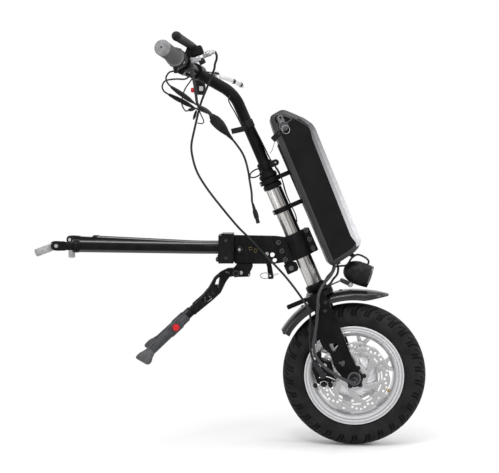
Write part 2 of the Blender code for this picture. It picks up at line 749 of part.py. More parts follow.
def make_fender(parent):
    """Mudguard round the top of the tyre: a pointed nose in front and a square flap behind."""
    steps = 15
    shape = bmesh.new()
    rows = []
    for k in range(steps + 1):
        turn = FENDER_REAR + (FENDER_FRONT - FENDER_REAR) * k / steps
        nose = max(0.0, (k / steps - 0.84) / 0.16)
        drop = FENDER_DROP * (1.0 - 0.72 * nose ** 1.5)
        narrow = 1.0 - 0.45 * nose ** 2
        rows.append([shape.verts.new((r * math.sin(turn), a * narrow, r * math.cos(turn)))
                     for a, r in fender_section(drop)])
    count = len(rows[0])
    for first, last in zip(rows, rows[1:]):
        for j in range(count):
            n = (j + 1) % count
            shape.faces.new((first[j], first[n], last[n], last[j]))
    shape.faces.new(rows[0])
    shape.faces.new(rows[-1])
    fender = piece("fender", shape, parent, "black_plastic", 50)
    radius = FENDER_RADIUS - FENDER_DROP * 0.45
    flap = side_plate([(0.0, -0.004), (0.0, 0.018), (-0.024, 0.017), (-0.026, 0.002)],
                      FENDER_WIDTH / 2 - 0.004, -FENDER_WIDTH / 2 + 0.004)
    place = shift(radius * math.sin(FENDER_REAR), 0, radius * math.cos(FENDER_REAR))
    boolean(fender, moved(chamfered(flap, 0.002), place @ Matrix.Rotation(math.radians(-24), 4, "Y")),
            "UNION")
    return fender


def make_head_tube(parent):
    """The brushed tube that the battery and the coupling clamp on."""
    bore = HEAD_TUBE_RADIUS - HEAD_TUBE_WALL
    return piece("head_tube", cylinder(HEAD_TUBE_RADIUS, HEAD_TUBE_BOTTOM, HEAD_TUBE_TOP, 24, bore), parent,
                 "brushed_silver")


def make_headset(parent):
    """Stepped bearing cups under and over the head tube, round the steerer."""
    bore = around(STEERER_RADIUS, 18, RUNNING_GAP)
    low = CROWN_BOTTOM + CROWN_THICK + BRACKET_THICK + 2 * RUNNING_GAP
    top = HEAD_TUBE_BOTTOM - GAP
    under = [(CUP_RADIUS - 0.003, low), (CUP_RADIUS, low + 0.004), (CUP_RADIUS, top - 0.008),
             (CUP_RADIUS - 0.003, top),
             (bore, top), (bore, low)]
    base = HEAD_TUBE_TOP + GAP
    end = COLLAR_BOTTOM - RUNNING_GAP
    over = [(CUP_RADIUS - 0.003, base), (CUP_RADIUS, base + 0.003), (CUP_RADIUS, base + 0.009),
            (CUP_RADIUS - 0.004, base + 0.012), (CUP_RADIUS - 0.004, base + 0.026),
            (CUP_RADIUS - 0.001, base + 0.028),
            (CUP_RADIUS - 0.001, base + 0.035), (CUP_RADIUS - 0.006, end), (bore, end), (bore, base)]
    piece("headset_lower", turned(under, 18), parent, "black_anodised")
    piece("headset_upper", turned(over, 18), parent, "black_anodised")


def make_collar(parent):
    """Split clamp collar on the steerer with a pinch lug and its pin."""
    low, high = COLLAR_BOTTOM, COLLAR_BOTTOM + COLLAR_HEIGHT
    collar = piece("stem_collar", cylinder(COLLAR_RADIUS, low, high, 20, around(STEERER_RADIUS, 20),
                                           0.0012), parent,
                   "black_anodised")
    lug = (COLLAR_RADIUS + 0.006, low + 0.0065)
    ears = oblong((COLLAR_RADIUS + 0.0025, lug[1]), lug, 0.0062, 4)
    boolean(collar, side_plate(ears, 0.011, -0.011), "UNION")
    boolean(collar, cross_bar(0.0034, lug, 0.0150, -0.0150, 12), "UNION")
    slit = box((STEERER_RADIUS + 0.0006, -0.001, low - 0.002), (COLLAR_RADIUS + 0.004, 0.001, high + 0.002))
    boolean(collar, slit)
    return collar


def stem_route(start):
    """Centre line of the stem: up the column, round the bend, and on to the bar clamp."""
    back = Vector((-math.sin(STEM_BEND_ANGLE), 0, math.cos(STEM_BEND_ANGLE)))
    corner = Vector((0, 0, STEM_BEND_AT))
    tangent = STEM_BEND_RADIUS * math.tan(STEM_BEND_ANGLE / 2)
    centre = Vector((-STEM_BEND_RADIUS, 0, STEM_BEND_AT - tangent))
    bend = [centre + Vector((STEM_BEND_RADIUS * math.cos(STEM_BEND_ANGLE * k / 8), 0,
                             STEM_BEND_RADIUS * math.sin(STEM_BEND_ANGLE * k / 8))) for k in range(9)]
    return [Vector((0, 0, start))] + bend + [corner + back * STEM_REACH]


def bar_centre():
    return stem_route(0.5)[-1]


def make_stem(parent):
    """Bent stem tube, round clamp eye welded on top and two cable straps."""
    route = stem_route(COLLAR_BOTTOM - 0.060)
    back = (route[-1] - route[-2]).normalized()
    stem = piece("stem_tube", swept(route[:-1] + [route[-1] - back * (BAR_RADIUS + 0.0035)],
                                    STEM_RADIUS, 14), parent,
                 "black_paint")
    at = (route[-1].x, route[-1].z)
    boolean(stem, cross_bar(BAR_RADIUS + 0.0065, at, 0.022, -0.022, 16, around(BAR_RADIUS, 16), 0.0015),
            "UNION")
    strap_at = 0.608
    boolean(stem, cylinder(STEM_RADIUS + 0.0018, strap_at - 0.011, strap_at + 0.011, 14), "UNION")
    return stem


def bar_route(face):
    """Centre line of half the bar: straight at the clamp, a short bend, then straight to the end."""
    middle = bar_centre()
    rear = Vector((-math.cos(HEAD_ANGLE), 0, math.sin(HEAD_ANGLE)))
    rise = Vector((math.sin(HEAD_ANGLE), 0, math.cos(HEAD_ANGLE)))
    bend_end = BAR_STRAIGHT + BAR_BEND
    reach = BAR_HALF - BAR_STRAIGHT - BAR_BEND / 2
    outs = [BAR_STRAIGHT + BAR_BEND * k / 3 for k in range(4)] + [BAR_HALF]
    points = []
    for out in outs:
        beyond = out - BAR_STRAIGHT
        share = beyond ** 2 / (2 * BAR_BEND) if out <= bend_end else beyond - BAR_BEND / 2
        offset = rear * BAR_BACK + rise * BAR_RISE
        points.append(middle + Vector((0, -face * out, 0)) + offset * (share / reach))
    return points


def on_bar(face, out, clock=0.0):
    """Frame on the bar this far out: z runs along it to the near side, x to the front turned up by clock."""
    route = [bar_centre()] + bar_route(face)
    for p, q in zip(route, route[1:]):
        if abs(q.y) >= out - 1e-9:
            share = (out - abs(p.y)) / (abs(q.y) - abs(p.y))
            break
    near = (q - p).normalized() * face
    front = Vector((math.cos(HEAD_ANGLE), 0, -math.sin(HEAD_ANGLE)))
    front = (front - near * front.dot(near)).normalized()
    turn = Matrix((front, near.cross(front), near)).transposed().to_4x4()
    return Matrix.Translation(p.lerp(q, share)) @ turn @ Matrix.Rotation(clock, 4, "Z")


def make_bar(parent):
    """The handlebar in one sweep from end to end."""
    near, far = bar_route(1), bar_route(-1)
    inside = GRIP_LENGTH - GRIP_WALL - GAP
    near[-1] = tip_of(on_bar(1, BAR_HALF - GRIP_LENGTH), inside)
    far[-1] = tip_of(on_bar(-1, BAR_HALF - GRIP_LENGTH), -inside)
    return piece("handlebar", swept(near[::-1] + far, BAR_RADIUS, 14), parent, "black_paint")


def grip_shape(bore):
    """A closed-end grip from z = 0 outwards, with a thumb flange on its inner end."""
    end, wall = GRIP_LENGTH, GRIP_WALL
    profile = [(bore, 0), (GRIP_RADIUS + 0.0034, 0), (GRIP_RADIUS + 0.0034, 0.003), (GRIP_RADIUS, 0.006),
               (GRIP_RADIUS - 0.0008, end * 0.5), (GRIP_RADIUS, end - 0.007),
               (GRIP_RADIUS - 0.0016, end - 0.002),
               (GRIP_RADIUS - 0.005, end), (0, end), (0, end - wall), (bore, end - wall)]
    return turned(profile, 18)


def make_grips(stem_frame, throttle_frame):
    """Twist throttle on the near end and a fixed grip on the far end."""
    piece("throttle_grip", grip_shape(around(BAR_RADIUS, 18, RUNNING_GAP)), throttle_frame, "grip_grey")
    flip = on_bar(-1, BAR_HALF - GRIP_LENGTH) @ Matrix.Rotation(math.pi, 4, "Y")
    piece("fixed_grip", moved(grip_shape(around(BAR_RADIUS, 18)), flip), stem_frame, "grip_grey")


def make_throttle_housing(parent):
    """Fixed half of the throttle: a round case with a lead spout underneath."""
    place = on_bar(1, BAR_HALF - GRIP_LENGTH - 0.002)
    case = piece("throttle_housing", moved(cylinder(HOUSING_RADIUS, -HOUSING_LENGTH, -GAP, 18,
                                                    around(BAR_RADIUS, 18), 0.0015),
                                           place), parent, "black_plastic")
    spout = place @ shift(-0.004, 0, -HOUSING_LENGTH * 0.55) @ Matrix.Rotation(math.radians(98), 4, "X")
    boolean(case, moved(cylinder(0.0048, HOUSING_RADIUS - 0.004, HOUSING_RADIUS + 0.010, 8), spout), "UNION")
    return case


def make_perch(name, face, clock, parent, material):
    """Lever perch: a clamp ring on the bar, an arm out to the lever's fork, and the cable adjuster."""
    place = on_bar(face, PERCH_AT, clock)
    half = PERCH_LENGTH / 2
    perch = piece(name, moved(cylinder(PERCH_RADIUS, -half, half, 16, around(BAR_RADIUS, 16), 0.0012),
                              place), parent, material)
    arm = rounded([(PERCH_RADIUS - 0.003, -half + 0.002), (LEVER_OUT + 0.006, -half + 0.004),
                   (LEVER_OUT + 0.006, half - 0.002), (PERCH_RADIUS - 0.003, half - 0.002)], 0.004, 2)
    boolean(perch, moved(side_plate(arm, 0.0085, -0.0085), place), "UNION")
    slot = box((LEVER_OUT - 0.009, -LEVER_HALF - RUNNING_GAP, -half - 0.010),
               (LEVER_OUT + 0.020, LEVER_HALF + RUNNING_GAP, half + 0.010))
    boolean(perch, moved(slot, place))
    inward = place @ shift(LEVER_OUT - 0.014, 0, 0)
    if face > 0:
        inward = inward @ Matrix.Rotation(math.pi, 4, "Y")
    barrel = turned([(0, half - 0.003), (0.0062, half - 0.003), (0.0062, half + 0.012),
                     (0.0048, half + 0.013),
                     (0.0048, half + 0.020), (0.0034, half + 0.024), (0, half + 0.024)], 10)
    boolean(perch, moved(barrel, inward), "UNION")
    boolean(perch, moved(cross_bar(LEVER_PIN, (LEVER_OUT, 0), 0.010, -0.010, 10), place), "UNION")
    return perch


def make_lever(name, face, aim, parent, material, grip):
    """Brake lever: an eye on its pin, a short neck, then the blade with its ball end."""
    out = face * math.cos(aim)
    side = math.sin(aim)
    route = [(0.004 * side, 0, 0.004 * out), (0.030 * side + 0.004, 0, 0.030 * out),
             (0.055 * side + 0.004, 0, 0.055 * out),
             (0.085 * side, 0, 0.085 * out), (LEVER_REACH * side, 0, LEVER_REACH * out)]
    radii = [LEVER_HALF - 0.0004, LEVER_RADIUS, grip * 0.82, grip * 0.9, grip]
    ahead = Vector((side, 0, out))
    tip = Vector(route[-1])
    route += [tuple(tip + ahead * grip * 0.6), tuple(tip + ahead * grip * 0.95)]
    radii += [grip * 0.8, grip * 0.3]
    lever = piece(name, cross_bar(0.0075, (0, 0), LEVER_HALF, -LEVER_HALF, 14), parent, material)
    boolean(lever, swept(route, radii, 10), "UNION")
    boolean(lever, cross_bar(LEVER_PIN + RUNNING_GAP, (0, 0), 0.02, -0.02, 12))
    return lever


def make_switch(parent):
    """Switch pod clamped under the far side of the bar, drilled for its button."""
    place = on_bar(-1, SWITCH_AT)
    pod = piece("switch_pod", moved(cylinder(BAR_RADIUS + 0.0040, -0.008, 0.008, 16,
                                             around(BAR_RADIUS, 16), 0.001), place),
                parent, "black_plastic")
    case = chamfered(box((-0.014, -0.047, -0.008), (0.012, -BAR_RADIUS - 0.002, 0.008)), 0.0025, 2)
    boolean(pod, moved(case, place), "UNION")
    well = place @ shift(-0.014, SWITCH_DROP, 0) @ Matrix.Rotation(math.radians(-90), 4, "Y")
    boolean(pod, moved(cylinder(BUTTON_RADIUS + RUNNING_GAP, -0.0070, 0.010, 16), well))
    return pod


def make_switch_button(parent):
    """Red push button that slides in the pod."""
    return piece("horn_button", cylinder(BUTTON_RADIUS, -0.0030, 0.0030, 16, 0.0, 0.0008), parent,
                 "signal_red")


def make_lamp_bracket(parent):
    """Strip from the crown's front edge forward to the two ears that carry the lamp."""
    thick = BRACKET_THICK
    low = CROWN_BOTTOM + CROWN_THICK + GAP
    strip = box((0.006, -0.009, low), (LAMP_PIVOT[0] - 0.010, 0.009, low + thick))
    bracket = piece("lamp_bracket", strip, parent, "black_steel")
    foot = rounded([(0.004, -0.009), (0.024, -0.009), (0.024, 0.009), (0.004, 0.009)], 0.003, 2)
    boolean(bracket, prism(foot, low, low + thick + 0.003), "UNION")
    boolean(bracket, cylinder(STEERER_RADIUS + 0.0012, low - 0.002, low + 0.010, 20))
    boolean(bracket, cylinder(CUP_RADIUS + 0.0010, low + thick + 0.0002, low + 0.020, 24))
    for face in (1, -1):
        near, far = sorted((face * 0.0090, face * 0.0062), reverse=True)
        ear = oblong((LAMP_PIVOT[0] - 0.014, low + 0.0005), LAMP_PIVOT, LAMP_EAR, 4)
        boolean(bracket, side_plate(ear, near, far), "UNION")
    boolean(bracket, cross_bar(0.0024, LAMP_PIVOT, 0.0115, -0.0115, 12), "UNION")
    return bracket


def lamp_frame():
    """Lamp frame in its pivot's frame: z runs forward along the lamp from its rear apex."""
    return (shift(LAMP_APEX[0] - LAMP_PIVOT[0], 0, LAMP_APEX[1] - LAMP_PIVOT[1])
            @ Matrix.Rotation(math.radians(90) + LAMP_TILT, 4, "Y"))


def make_lamp(parent):
    """Domed lamp shell with its seam band, hollow to the mouth, and the lens behind the rim."""
    dome = [(0, 0), (0.0105, 0.0018), (0.0180, 0.0075), (0.0232, 0.0165), (LAMP_RADIUS, 0.0300),
            (LAMP_RADIUS, 0.0345),
            (LAMP_RADIUS - 0.0012, 0.0350), (LAMP_MOUTH, LAMP_LENGTH), (LAMP_MOUTH - LAMP_WALL, LAMP_LENGTH)]
    hollow = [(LAMP_RADIUS - 0.0032, 0.0340), (0.0205, 0.0180), (0, 0.0060)]
    place = lamp_frame()
    shell = piece("lamp_shell", moved(turned(dome + hollow, 24), place), parent, "black_plastic")
    boolean(shell, side_plate(oblong((0, 0), (0.010, 0.016), LAMP_EAR, 4), 0.0058, -0.0058), "UNION")
    boolean(shell, moved(turned([(0, 0.0075), (LAMP_RADIUS - 0.0068, 0.0190), (LAMP_RADIUS - 0.0036, 0.0340),
                                 (LAMP_MOUTH - LAMP_WALL, LAMP_LENGTH + 0.001),
                                 (0, LAMP_LENGTH + 0.001)], 24), place))
    boolean(shell, cross_bar(0.0024 + GAP, (0, 0), 0.02, -0.02, 12))
    rim = LAMP_MOUTH - LAMP_WALL - GAP
    face = LAMP_LENGTH - 0.004
    lens = [(rim, face - 0.002), (rim, face), (rim * 0.7, face + 0.0018), (rim * 0.35, face + 0.0028),
            (0, face + 0.003),
            (0, face - 0.002)]
    piece("lamp_lens", moved(turned(lens, 22), place), parent, "clear_lens")


def make_calliper(parent):
    """Two-piece brake calliper over the disc: body with its slot, ears and adjuster knobs."""
    middle = DISC_SIDE + DISC_THICK / 2
    outer, inner = middle + 0.0170, middle - 0.0105
    outline = rounded([(-0.077, 0.058), (-0.050, 0.068), (-0.033, 0.050), (-0.038, 0.020), (-0.058, 0.008),
                       (-0.080, 0.020)], 0.006, 2)
    body = piece("brake_calliper", chamfered(side_plate(outline, outer, inner), 0.0015), parent,
                 "black_anodised")
    boolean(body, cross_bar(0.0095, (-0.060, 0.034), outer + 0.004, outer - 0.002, 14, 0.0, 0.0015), "UNION")
    for k, at in enumerate(((-0.070, 0.016), (-0.054, 0.008), (-0.042, 0.014))):
        boolean(body, cross_bar(0.0042, at, outer + 0.003, outer - 0.008, 12, 0.0, 0.001), "UNION")
    slot = cross_bar(DISC_RADIUS + 0.004, (0, 0), middle + 0.0024, middle - 0.0024, 32)
    boolean(body, slot)
    boolean(body, cross_bar(MOTOR_RADIUS + 0.0015, (0, 0), DISC_SIDE - 0.0002, inner - 0.01, 28))
    boolean(body, cross_bar(LEG_REAR + 0.004, (0, 0), outer + 0.01, DISC_SIDE + 0.0010, 20))
    leg_face = LEG_SIDE - GAP
    boolean(body, side_plate([(-0.040, 0.110), (-0.020, 0.110), (-0.020, 0.0), (-0.040, 0.0)],
                             outer + 0.02, leg_face))
    return body


def make_calliper_arm(parent):
    """Lever arm that the brake cable pulls, on the calliper's outside."""
    arm = oblong((0, 0), (-0.006, 0.030), 0.0060, 5)
    plate = piece("calliper_arm", chamfered(side_plate(arm, 0.0035, 0.0), 0.0006), parent, "bright_steel")
    boolean(plate, cross_bar(0.0075, (0, 0), 0.0055, 0.0005, 16, 0.0, 0.0008), "UNION")
    boolean(plate, cross_bar(0.0036, (-0.006, 0.030), 0.0075, 0.0005, 12, 0.0, 0.0006), "UNION")
    return plate


def in_column(forward, up):
    """Column-frame (forward, up) place of a point given square to the ground."""
    ahead, above = forward - WHEEL_X, up - TYRE_RADIUS
    return (ahead * math.cos(HEAD_ANGLE) + above * math.sin(HEAD_ANGLE),
            above * math.cos(HEAD_ANGLE) - ahead * math.sin(HEAD_ANGLE))


def plate_outline():
    """Outline of a coupling plate: a bar from the carrier to the clamp, square to the column in front."""
    top, low = CARRIER_TOP - 0.001, CARRIER_BOTTOM - 0.004
    rear = CARRIER_FRONT + GAP
    front = -HEAD_TUBE_RADIUS - GAP - 0.0025
    behind = [(0.060, top - 0.002), (rear, top), (rear, low + 0.004), (rear + 0.004, low), (0.056, low),
              (0.074, low + 0.003)]
    return [in_column(*p) for p in behind] + [(front, CLAMP_AT - CLAMP_HALF_HEIGHT),
                                              (front, CLAMP_AT + CLAMP_HALF_HEIGHT)]


def make_coupling_plate(name, face, parent):
    """Half of the coupling: its plate, the clamp's half shell and flanges with three bolts each,
    the lock window."""
    near, far = sorted((face * PLATE_OUTSIDE, face * TONGUE_HALF), reverse=True)
    half = piece(name, side_plate(plate_outline(), near, far), parent, "black_anodised")
    near, far = sorted((face * (PLATE_OUTSIDE - 0.0004), face * CLAMP_SPLIT), reverse=True)
    low, high = CLAMP_AT - CLAMP_HALF_HEIGHT, CLAMP_AT + CLAMP_HALF_HEIGHT
    shell_edge = math.asin(CLAMP_SPLIT / HEAD_TUBE_RADIUS)
    turn = math.pi if face > 0 else 0.0
    shell = arc((0, 0), CLAMP_BULGE, turn + shell_edge, turn + math.pi - shell_edge, 10)
    shell += arc((0, 0), HEAD_TUBE_RADIUS + GAP, turn + math.pi - shell_edge, turn + shell_edge, 10)
    boolean(half, prism(shell, low, high), "UNION")
    seat = HEAD_TUBE_RADIUS + GAP + 0.0012
    for inside, outside in ((-seat, -CLAMP_REACH), (seat, CLAMP_FRONT)):
        flange = rounded([(inside, low + 0.0008), (outside, low + 0.0008), (outside, high - 0.0008),
                          (inside, high - 0.0008)], [0.0, 0.0025, 0.0025, 0.0], 2)
        boolean(half, side_plate(flange, near, far), "UNION")
    sides = (face * (PLATE_OUTSIDE + 0.01), -face * 0.001)
    near, far = max(sides), min(sides)
    cuts = [cross_bar(TILT_BOLT_RADIUS + GAP, in_column(TILT_X, TILT_Z), near, far, 14),
            side_plate(oblong(in_column(0.0560, 0.4290), in_column(0.0575, 0.4165), 0.0062, 4), near, far),
            cross_bar(LOCK_PIN + RUNNING_GAP, in_column(LOCK_X, LOCK_Z), near, far, 14)]
    boolean(half, together(*cuts))
    root, tip = PLATE_OUTSIDE - 0.0015, PLATE_OUTSIDE + BOLT_HEAD_HEIGHT
    heads = [cross_bar(BOLT_HEAD_RADIUS, (side * CLAMP_BOLT_AT, CLAMP_AT + k * CLAMP_BOLT_STEP),
                       max(face * root, face * tip), min(face * root, face * tip), 8 if face > 0 else 6)
             for side in (-1, 1) for k in (-1, 0, 1)]
    boolean(half, together(*heads), "UNION")
    return half


def make_tilt_bolt(parent):
    """Larger bolt that the coupling tilts on, through both plates and the carrier's tongue."""
    reach, head = PLATE_OUTSIDE + GAP, TILT_HEAD_RADIUS
    outline = [(0, -reach - BOLT_HEAD_HEIGHT), (head, -reach - BOLT_HEAD_HEIGHT), (head, -reach),
               (TILT_BOLT_RADIUS, -reach), (TILT_BOLT_RADIUS, reach), (head, reach),
               (head * 0.8, reach + BOLT_HEAD_HEIGHT), (0, reach + BOLT_HEAD_HEIGHT)]
    return piece("tilt_bolt", moved(turned(outline, 14), shift(TILT_X, 0, TILT_Z) @ SIDEWAYS), parent,
                 "black_steel")


def make_carrier(parent):
    """Cross block that holds both arms, with the tongue that the coupling plates pivot on."""
    block = chamfered(box((CARRIER_REAR, -CARRIER_HALF, CARRIER_BOTTOM),
                          (CARRIER_FRONT, CARRIER_HALF, CARRIER_TOP)),
                      0.003, 2)
    carrier = piece("arm_carrier", block, parent, "black_anodised")
    low, high = CARRIER_BOTTOM + 0.004, CARRIER_TOP - 0.006
    tongue = [(CARRIER_FRONT - 0.010, low), (-0.004, low), (0.012, low + 0.006),
              (TONGUE_NOSE, TILT_Z - 0.010),
              (TONGUE_NOSE, TILT_Z + 0.004), (0.006, high), (CARRIER_FRONT - 0.010, high)]
    half = TONGUE_HALF - RUNNING_GAP
    boolean(carrier, side_plate(tongue, half, -half), "UNION")
    top = box((CARRIER_REAR + 0.006, -CARRIER_HALF + 0.012, CARRIER_TOP - 0.001),
              (CARRIER_FRONT, CARRIER_HALF - 0.012, CARRIER_TOP + 0.0030))
    boolean(carrier, top, "UNION")
    cuts = [cross_bar(TILT_BOLT_RADIUS + RUNNING_GAP, (TILT_X, TILT_Z), 0.03, -0.03, 16)]
    for face in (1, -1):
        bore = cylinder(ARM_RADIUS + GAP, -0.01, CARRIER_FRONT - 0.008 - CARRIER_REAR + 0.0, 20)
        place = shift(CARRIER_REAR, -face * ARM_SIDE, ARM_Z) @ Matrix.Rotation(math.radians(90), 4, "Y")
        cuts.append(moved(bore, place))
        near, far = sorted((face * (PLATE_OUTSIDE + 0.0008), face * half), reverse=True)
        pocket = [(CARRIER_FRONT - POCKET_DEPTH, TILT_Z - 0.002), (CARRIER_FRONT + 0.004, TILT_Z - 0.002),
                  (CARRIER_FRONT + 0.004, CARRIER_TOP + 0.010),
                  (CARRIER_FRONT - POCKET_DEPTH, CARRIER_TOP + 0.010)]
        cuts.append(side_plate(pocket, near, far))
    boolean(carrier, together(*cuts))
    return carrier


def arm_frame(face):
    """Frame at the arm's bend: x runs out along the splayed, slightly rising arm."""
    place = Vector((ARM_BEND_X, -face * ARM_SIDE, ARM_Z))
    yaw = Matrix.Rotation(math.pi + face * ARM_SPLAY, 4, "Z")
    return Matrix.Translation(place) @ yaw @ Matrix.Rotation(-ARM_CLIMB, 4, "Y")


def make_arm_tube(name, face, parent):
    """Arm tube: straight out of the carrier, one gentle bend, then straight to its open end."""
    frame = arm_frame(face)
    start = Vector((CARRIER_FRONT - 0.009, -face * ARM_SIDE, ARM_Z))
    corner = frame.translation
    straight = (corner - start).normalized()
    away = (frame @ Vector((1, 0, 0)) - corner).normalized()
    reach = ARM_BEND_RADIUS * math.tan(ARM_SPLAY / 2)
    route = [start]
    for k in range(5):
        share = k / 4
        first = corner - straight * reach * (1 - share)
        last = corner + away * reach * share
        route.append(first.lerp(last, share))
    route.append(corner + away * ARM_LENGTH)
    tube = piece(name, swept(route, ARM_RADIUS, 14, ARM_RADIUS - ARM_WALL), parent, "black_paint")
    mouth = cylinder(ARM_RADIUS + 0.0010, ARM_LENGTH - ARM_MOUTH, ARM_LENGTH + 0.001, 14,
                     INSERT_RADIUS + RUNNING_GAP,
                     0.0006)
    boolean(tube, moved(mouth, frame @ Matrix.Rotation(math.radians(90), 4, "Y")), "UNION")
    return tube


def make_arm_insert(side, parent):
    """Telescoping insert of an arm: a thinner bar with a rounded, slotted knuckle for the peg."""
    start, end = ARM_LENGTH - INSERT_IN, ARM_LENGTH + INSERT_OUT[side]
    ahead = Matrix.Rotation(math.radians(90), 4, "Y")
    sleeve = ARM_RADIUS - ARM_WALL - RUNNING_GAP
    bar = [(0, start), (sleeve - 0.001, start), (sleeve, start + 0.001), (sleeve, start + GUIDE_LENGTH),
           (INSERT_RADIUS, start + GUIDE_LENGTH + 0.001), (INSERT_RADIUS, end - 0.006), (0, end - 0.006)]
    insert = piece(f"arm_insert_{side}", moved(turned(bar, 14), ahead), parent, "black_paint")
    cheek = oblong((end - KNUCKLE_BACK, 0), (end, 0), KNUCKLE_RADIUS, 6)
    knuckle = chamfered(side_plate(cheek, KNUCKLE_HALF, -KNUCKLE_HALF), 0.0015)
    boolean(insert, knuckle, "UNION")
    slot = box((end - 0.0125, -PEG_TANG - RUNNING_GAP, -0.02), (end + 0.02, PEG_TANG + RUNNING_GAP, 0.02))
    boolean(insert, slot)
    boolean(insert, cross_bar(PEG_PIN, (end, 0), 0.0080, -0.0080, 12), "UNION")
    return insert


def make_support_peg(name, parent):
    """Rubber-covered support peg: a flat tang on the knuckle pin and a round-ended bar."""
    tang = side_plate(oblong((0, 0), (0.016, 0), 0.0078, 6), PEG_TANG, -PEG_TANG)
    peg = piece(name, tang, parent, "peg_grey")
    bar = [(0, 0.0125), (SUPPORT_RADIUS, 0.0125), (SUPPORT_RADIUS, SUPPORT_LENGTH - 0.007),
           (SUPPORT_RADIUS * 0.86, SUPPORT_LENGTH - 0.003), (SUPPORT_RADIUS * 0.5, SUPPORT_LENGTH),
           (0, SUPPORT_LENGTH)]
    boolean(peg, moved(turned(bar, 14), Matrix.Rotation(math.radians(90), 4, "Y")), "UNION")
    boolean(peg, cross_bar(PEG_PIN + RUNNING_GAP, (0, 0), 0.02, -0.02, 12))
    return peg


def make_release_lever(parent):
    """Lever of the coupling lock: a pin in the plates, a hook behind it and the thinner blade below."""
    half = TONGUE_HALF - RUNNING_GAP
    head = rounded([(-0.0195, -0.004), (-0.0195, 0.010), (0.0, 0.0125), (0.0075, 0.004), (0.0110, -0.0300),
                    (0.0000, -0.0300), (-0.0040, -0.0120)], 0.003, 2)
    lever = piece("release_lever", side_plate(head, half, -half), parent, "black_paint")
    blade = rounded([(0.0005, -0.0260), (0.0105, -0.0260), (0.0145, -0.0530), (0.0125, -0.0570),
                     (0.0035, -0.0560)],
                    0.0025, 2)
    boolean(lever, side_plate(blade, BLADE_HALF, -BLADE_HALF), "UNION")
    boolean(lever, cross_bar(LOCK_PIN, (0, 0), PLATE_OUTSIDE + 0.001, -PLATE_OUTSIDE - 0.001, 16, 0.0,
                             0.0008), "UNION")
    boolean(lever, cross_bar(0.0034, (RING_HOLE[0] + 0.0004, RING_HOLE[1]), 0.01, -0.01, 14))
    return lever


def make_release_ring(parent):
    """Wire ring through the hole in the lever's blade."""
    middle = Vector((RING_HOLE[0] - RING_RADIUS, 0, RING_HOLE[1]))
    upward = Vector((0, math.sin(RING_TILT), math.cos(RING_TILT)))
    loop = [middle + Vector((RING_RADIUS * math.cos(a), 0, 0)) + upward * (RING_RADIUS * math.sin(a))
            for a in ring_angles(16)]
    return piece("release_ring", swept(loop, RING_WIRE, 6, closed=True), parent, "bright_steel")


def make_wire_anchor(parent):
    """Small block under the clamp, behind the head tube, that anchors the lock's wire."""
    low, high = CLAMP_AT - CLAMP_HALF_HEIGHT - 0.0235, CLAMP_AT - CLAMP_HALF_HEIGHT - GAP
    shape = box((-0.048, -0.008, low), (-HEAD_TUBE_RADIUS + 0.006, 0.008, high))
    anchor = piece("wire_anchor", chamfered(shape, 0.0015), parent, "black_anodised")
    boolean(anchor, cylinder(HEAD_TUBE_RADIUS + GAP, low - 0.01, high + 0.01, 24))
    bolt = cross_bar(0.0050, (-0.036, low + 0.010), 0.0120, -0.0100, 12, 0.0, 0.0008)
    boolean(anchor, bolt, "UNION")
    return anchor


def stand_frame():
    """Stand frame: z runs out along the folded legs, x square to them towards the rider."""
    return Matrix.Rotation(-(math.radians(90) + STAND_LEAN), 4, "Y")


def stand_leg_frame(face):
    """Frame of one leg, splayed outwards from the stand's pin."""
    return shift(0, -face * STAND_SIDE, 0) @ Matrix.Rotation(face * STAND_SPLAY, 4, "X")


def make_stand_mount(parent):
    """Block bolted under the coupling plates, with the stand's hinge pin."""
    top = CARRIER_BOTTOM - 0.004 - GAP
    outline = rounded([(-0.0275, top), (0.0085, top), (0.0060, top - 0.009), (-0.0040, STAND_Z - 0.0085),
                       (STAND_X, STAND_Z - STAND_EYE), (STAND_X - STAND_EYE, STAND_Z),
                       (-0.0370, 0.3960)], 0.003, 2)
    half = STAND_SIDE - STAND_THICK / 2 - GAP
    mount = piece("stand_mount", chamfered(side_plate(outline, half, -half), 0.0010), parent, "stand_grey")
    boolean(mount, side_plate([(-0.004, top + 0.01), (0.02, top + 0.01), (0.02, 0.37), (-0.004, 0.37)],
                              0.009, -0.009))
    reach = STAND_SIDE + STAND_THICK / 2 + 0.003
    boolean(mount, cross_bar(STAND_PIN, (STAND_X, STAND_Z), reach, -reach, 16, 0.0, 0.0008), "UNION")
    return mount


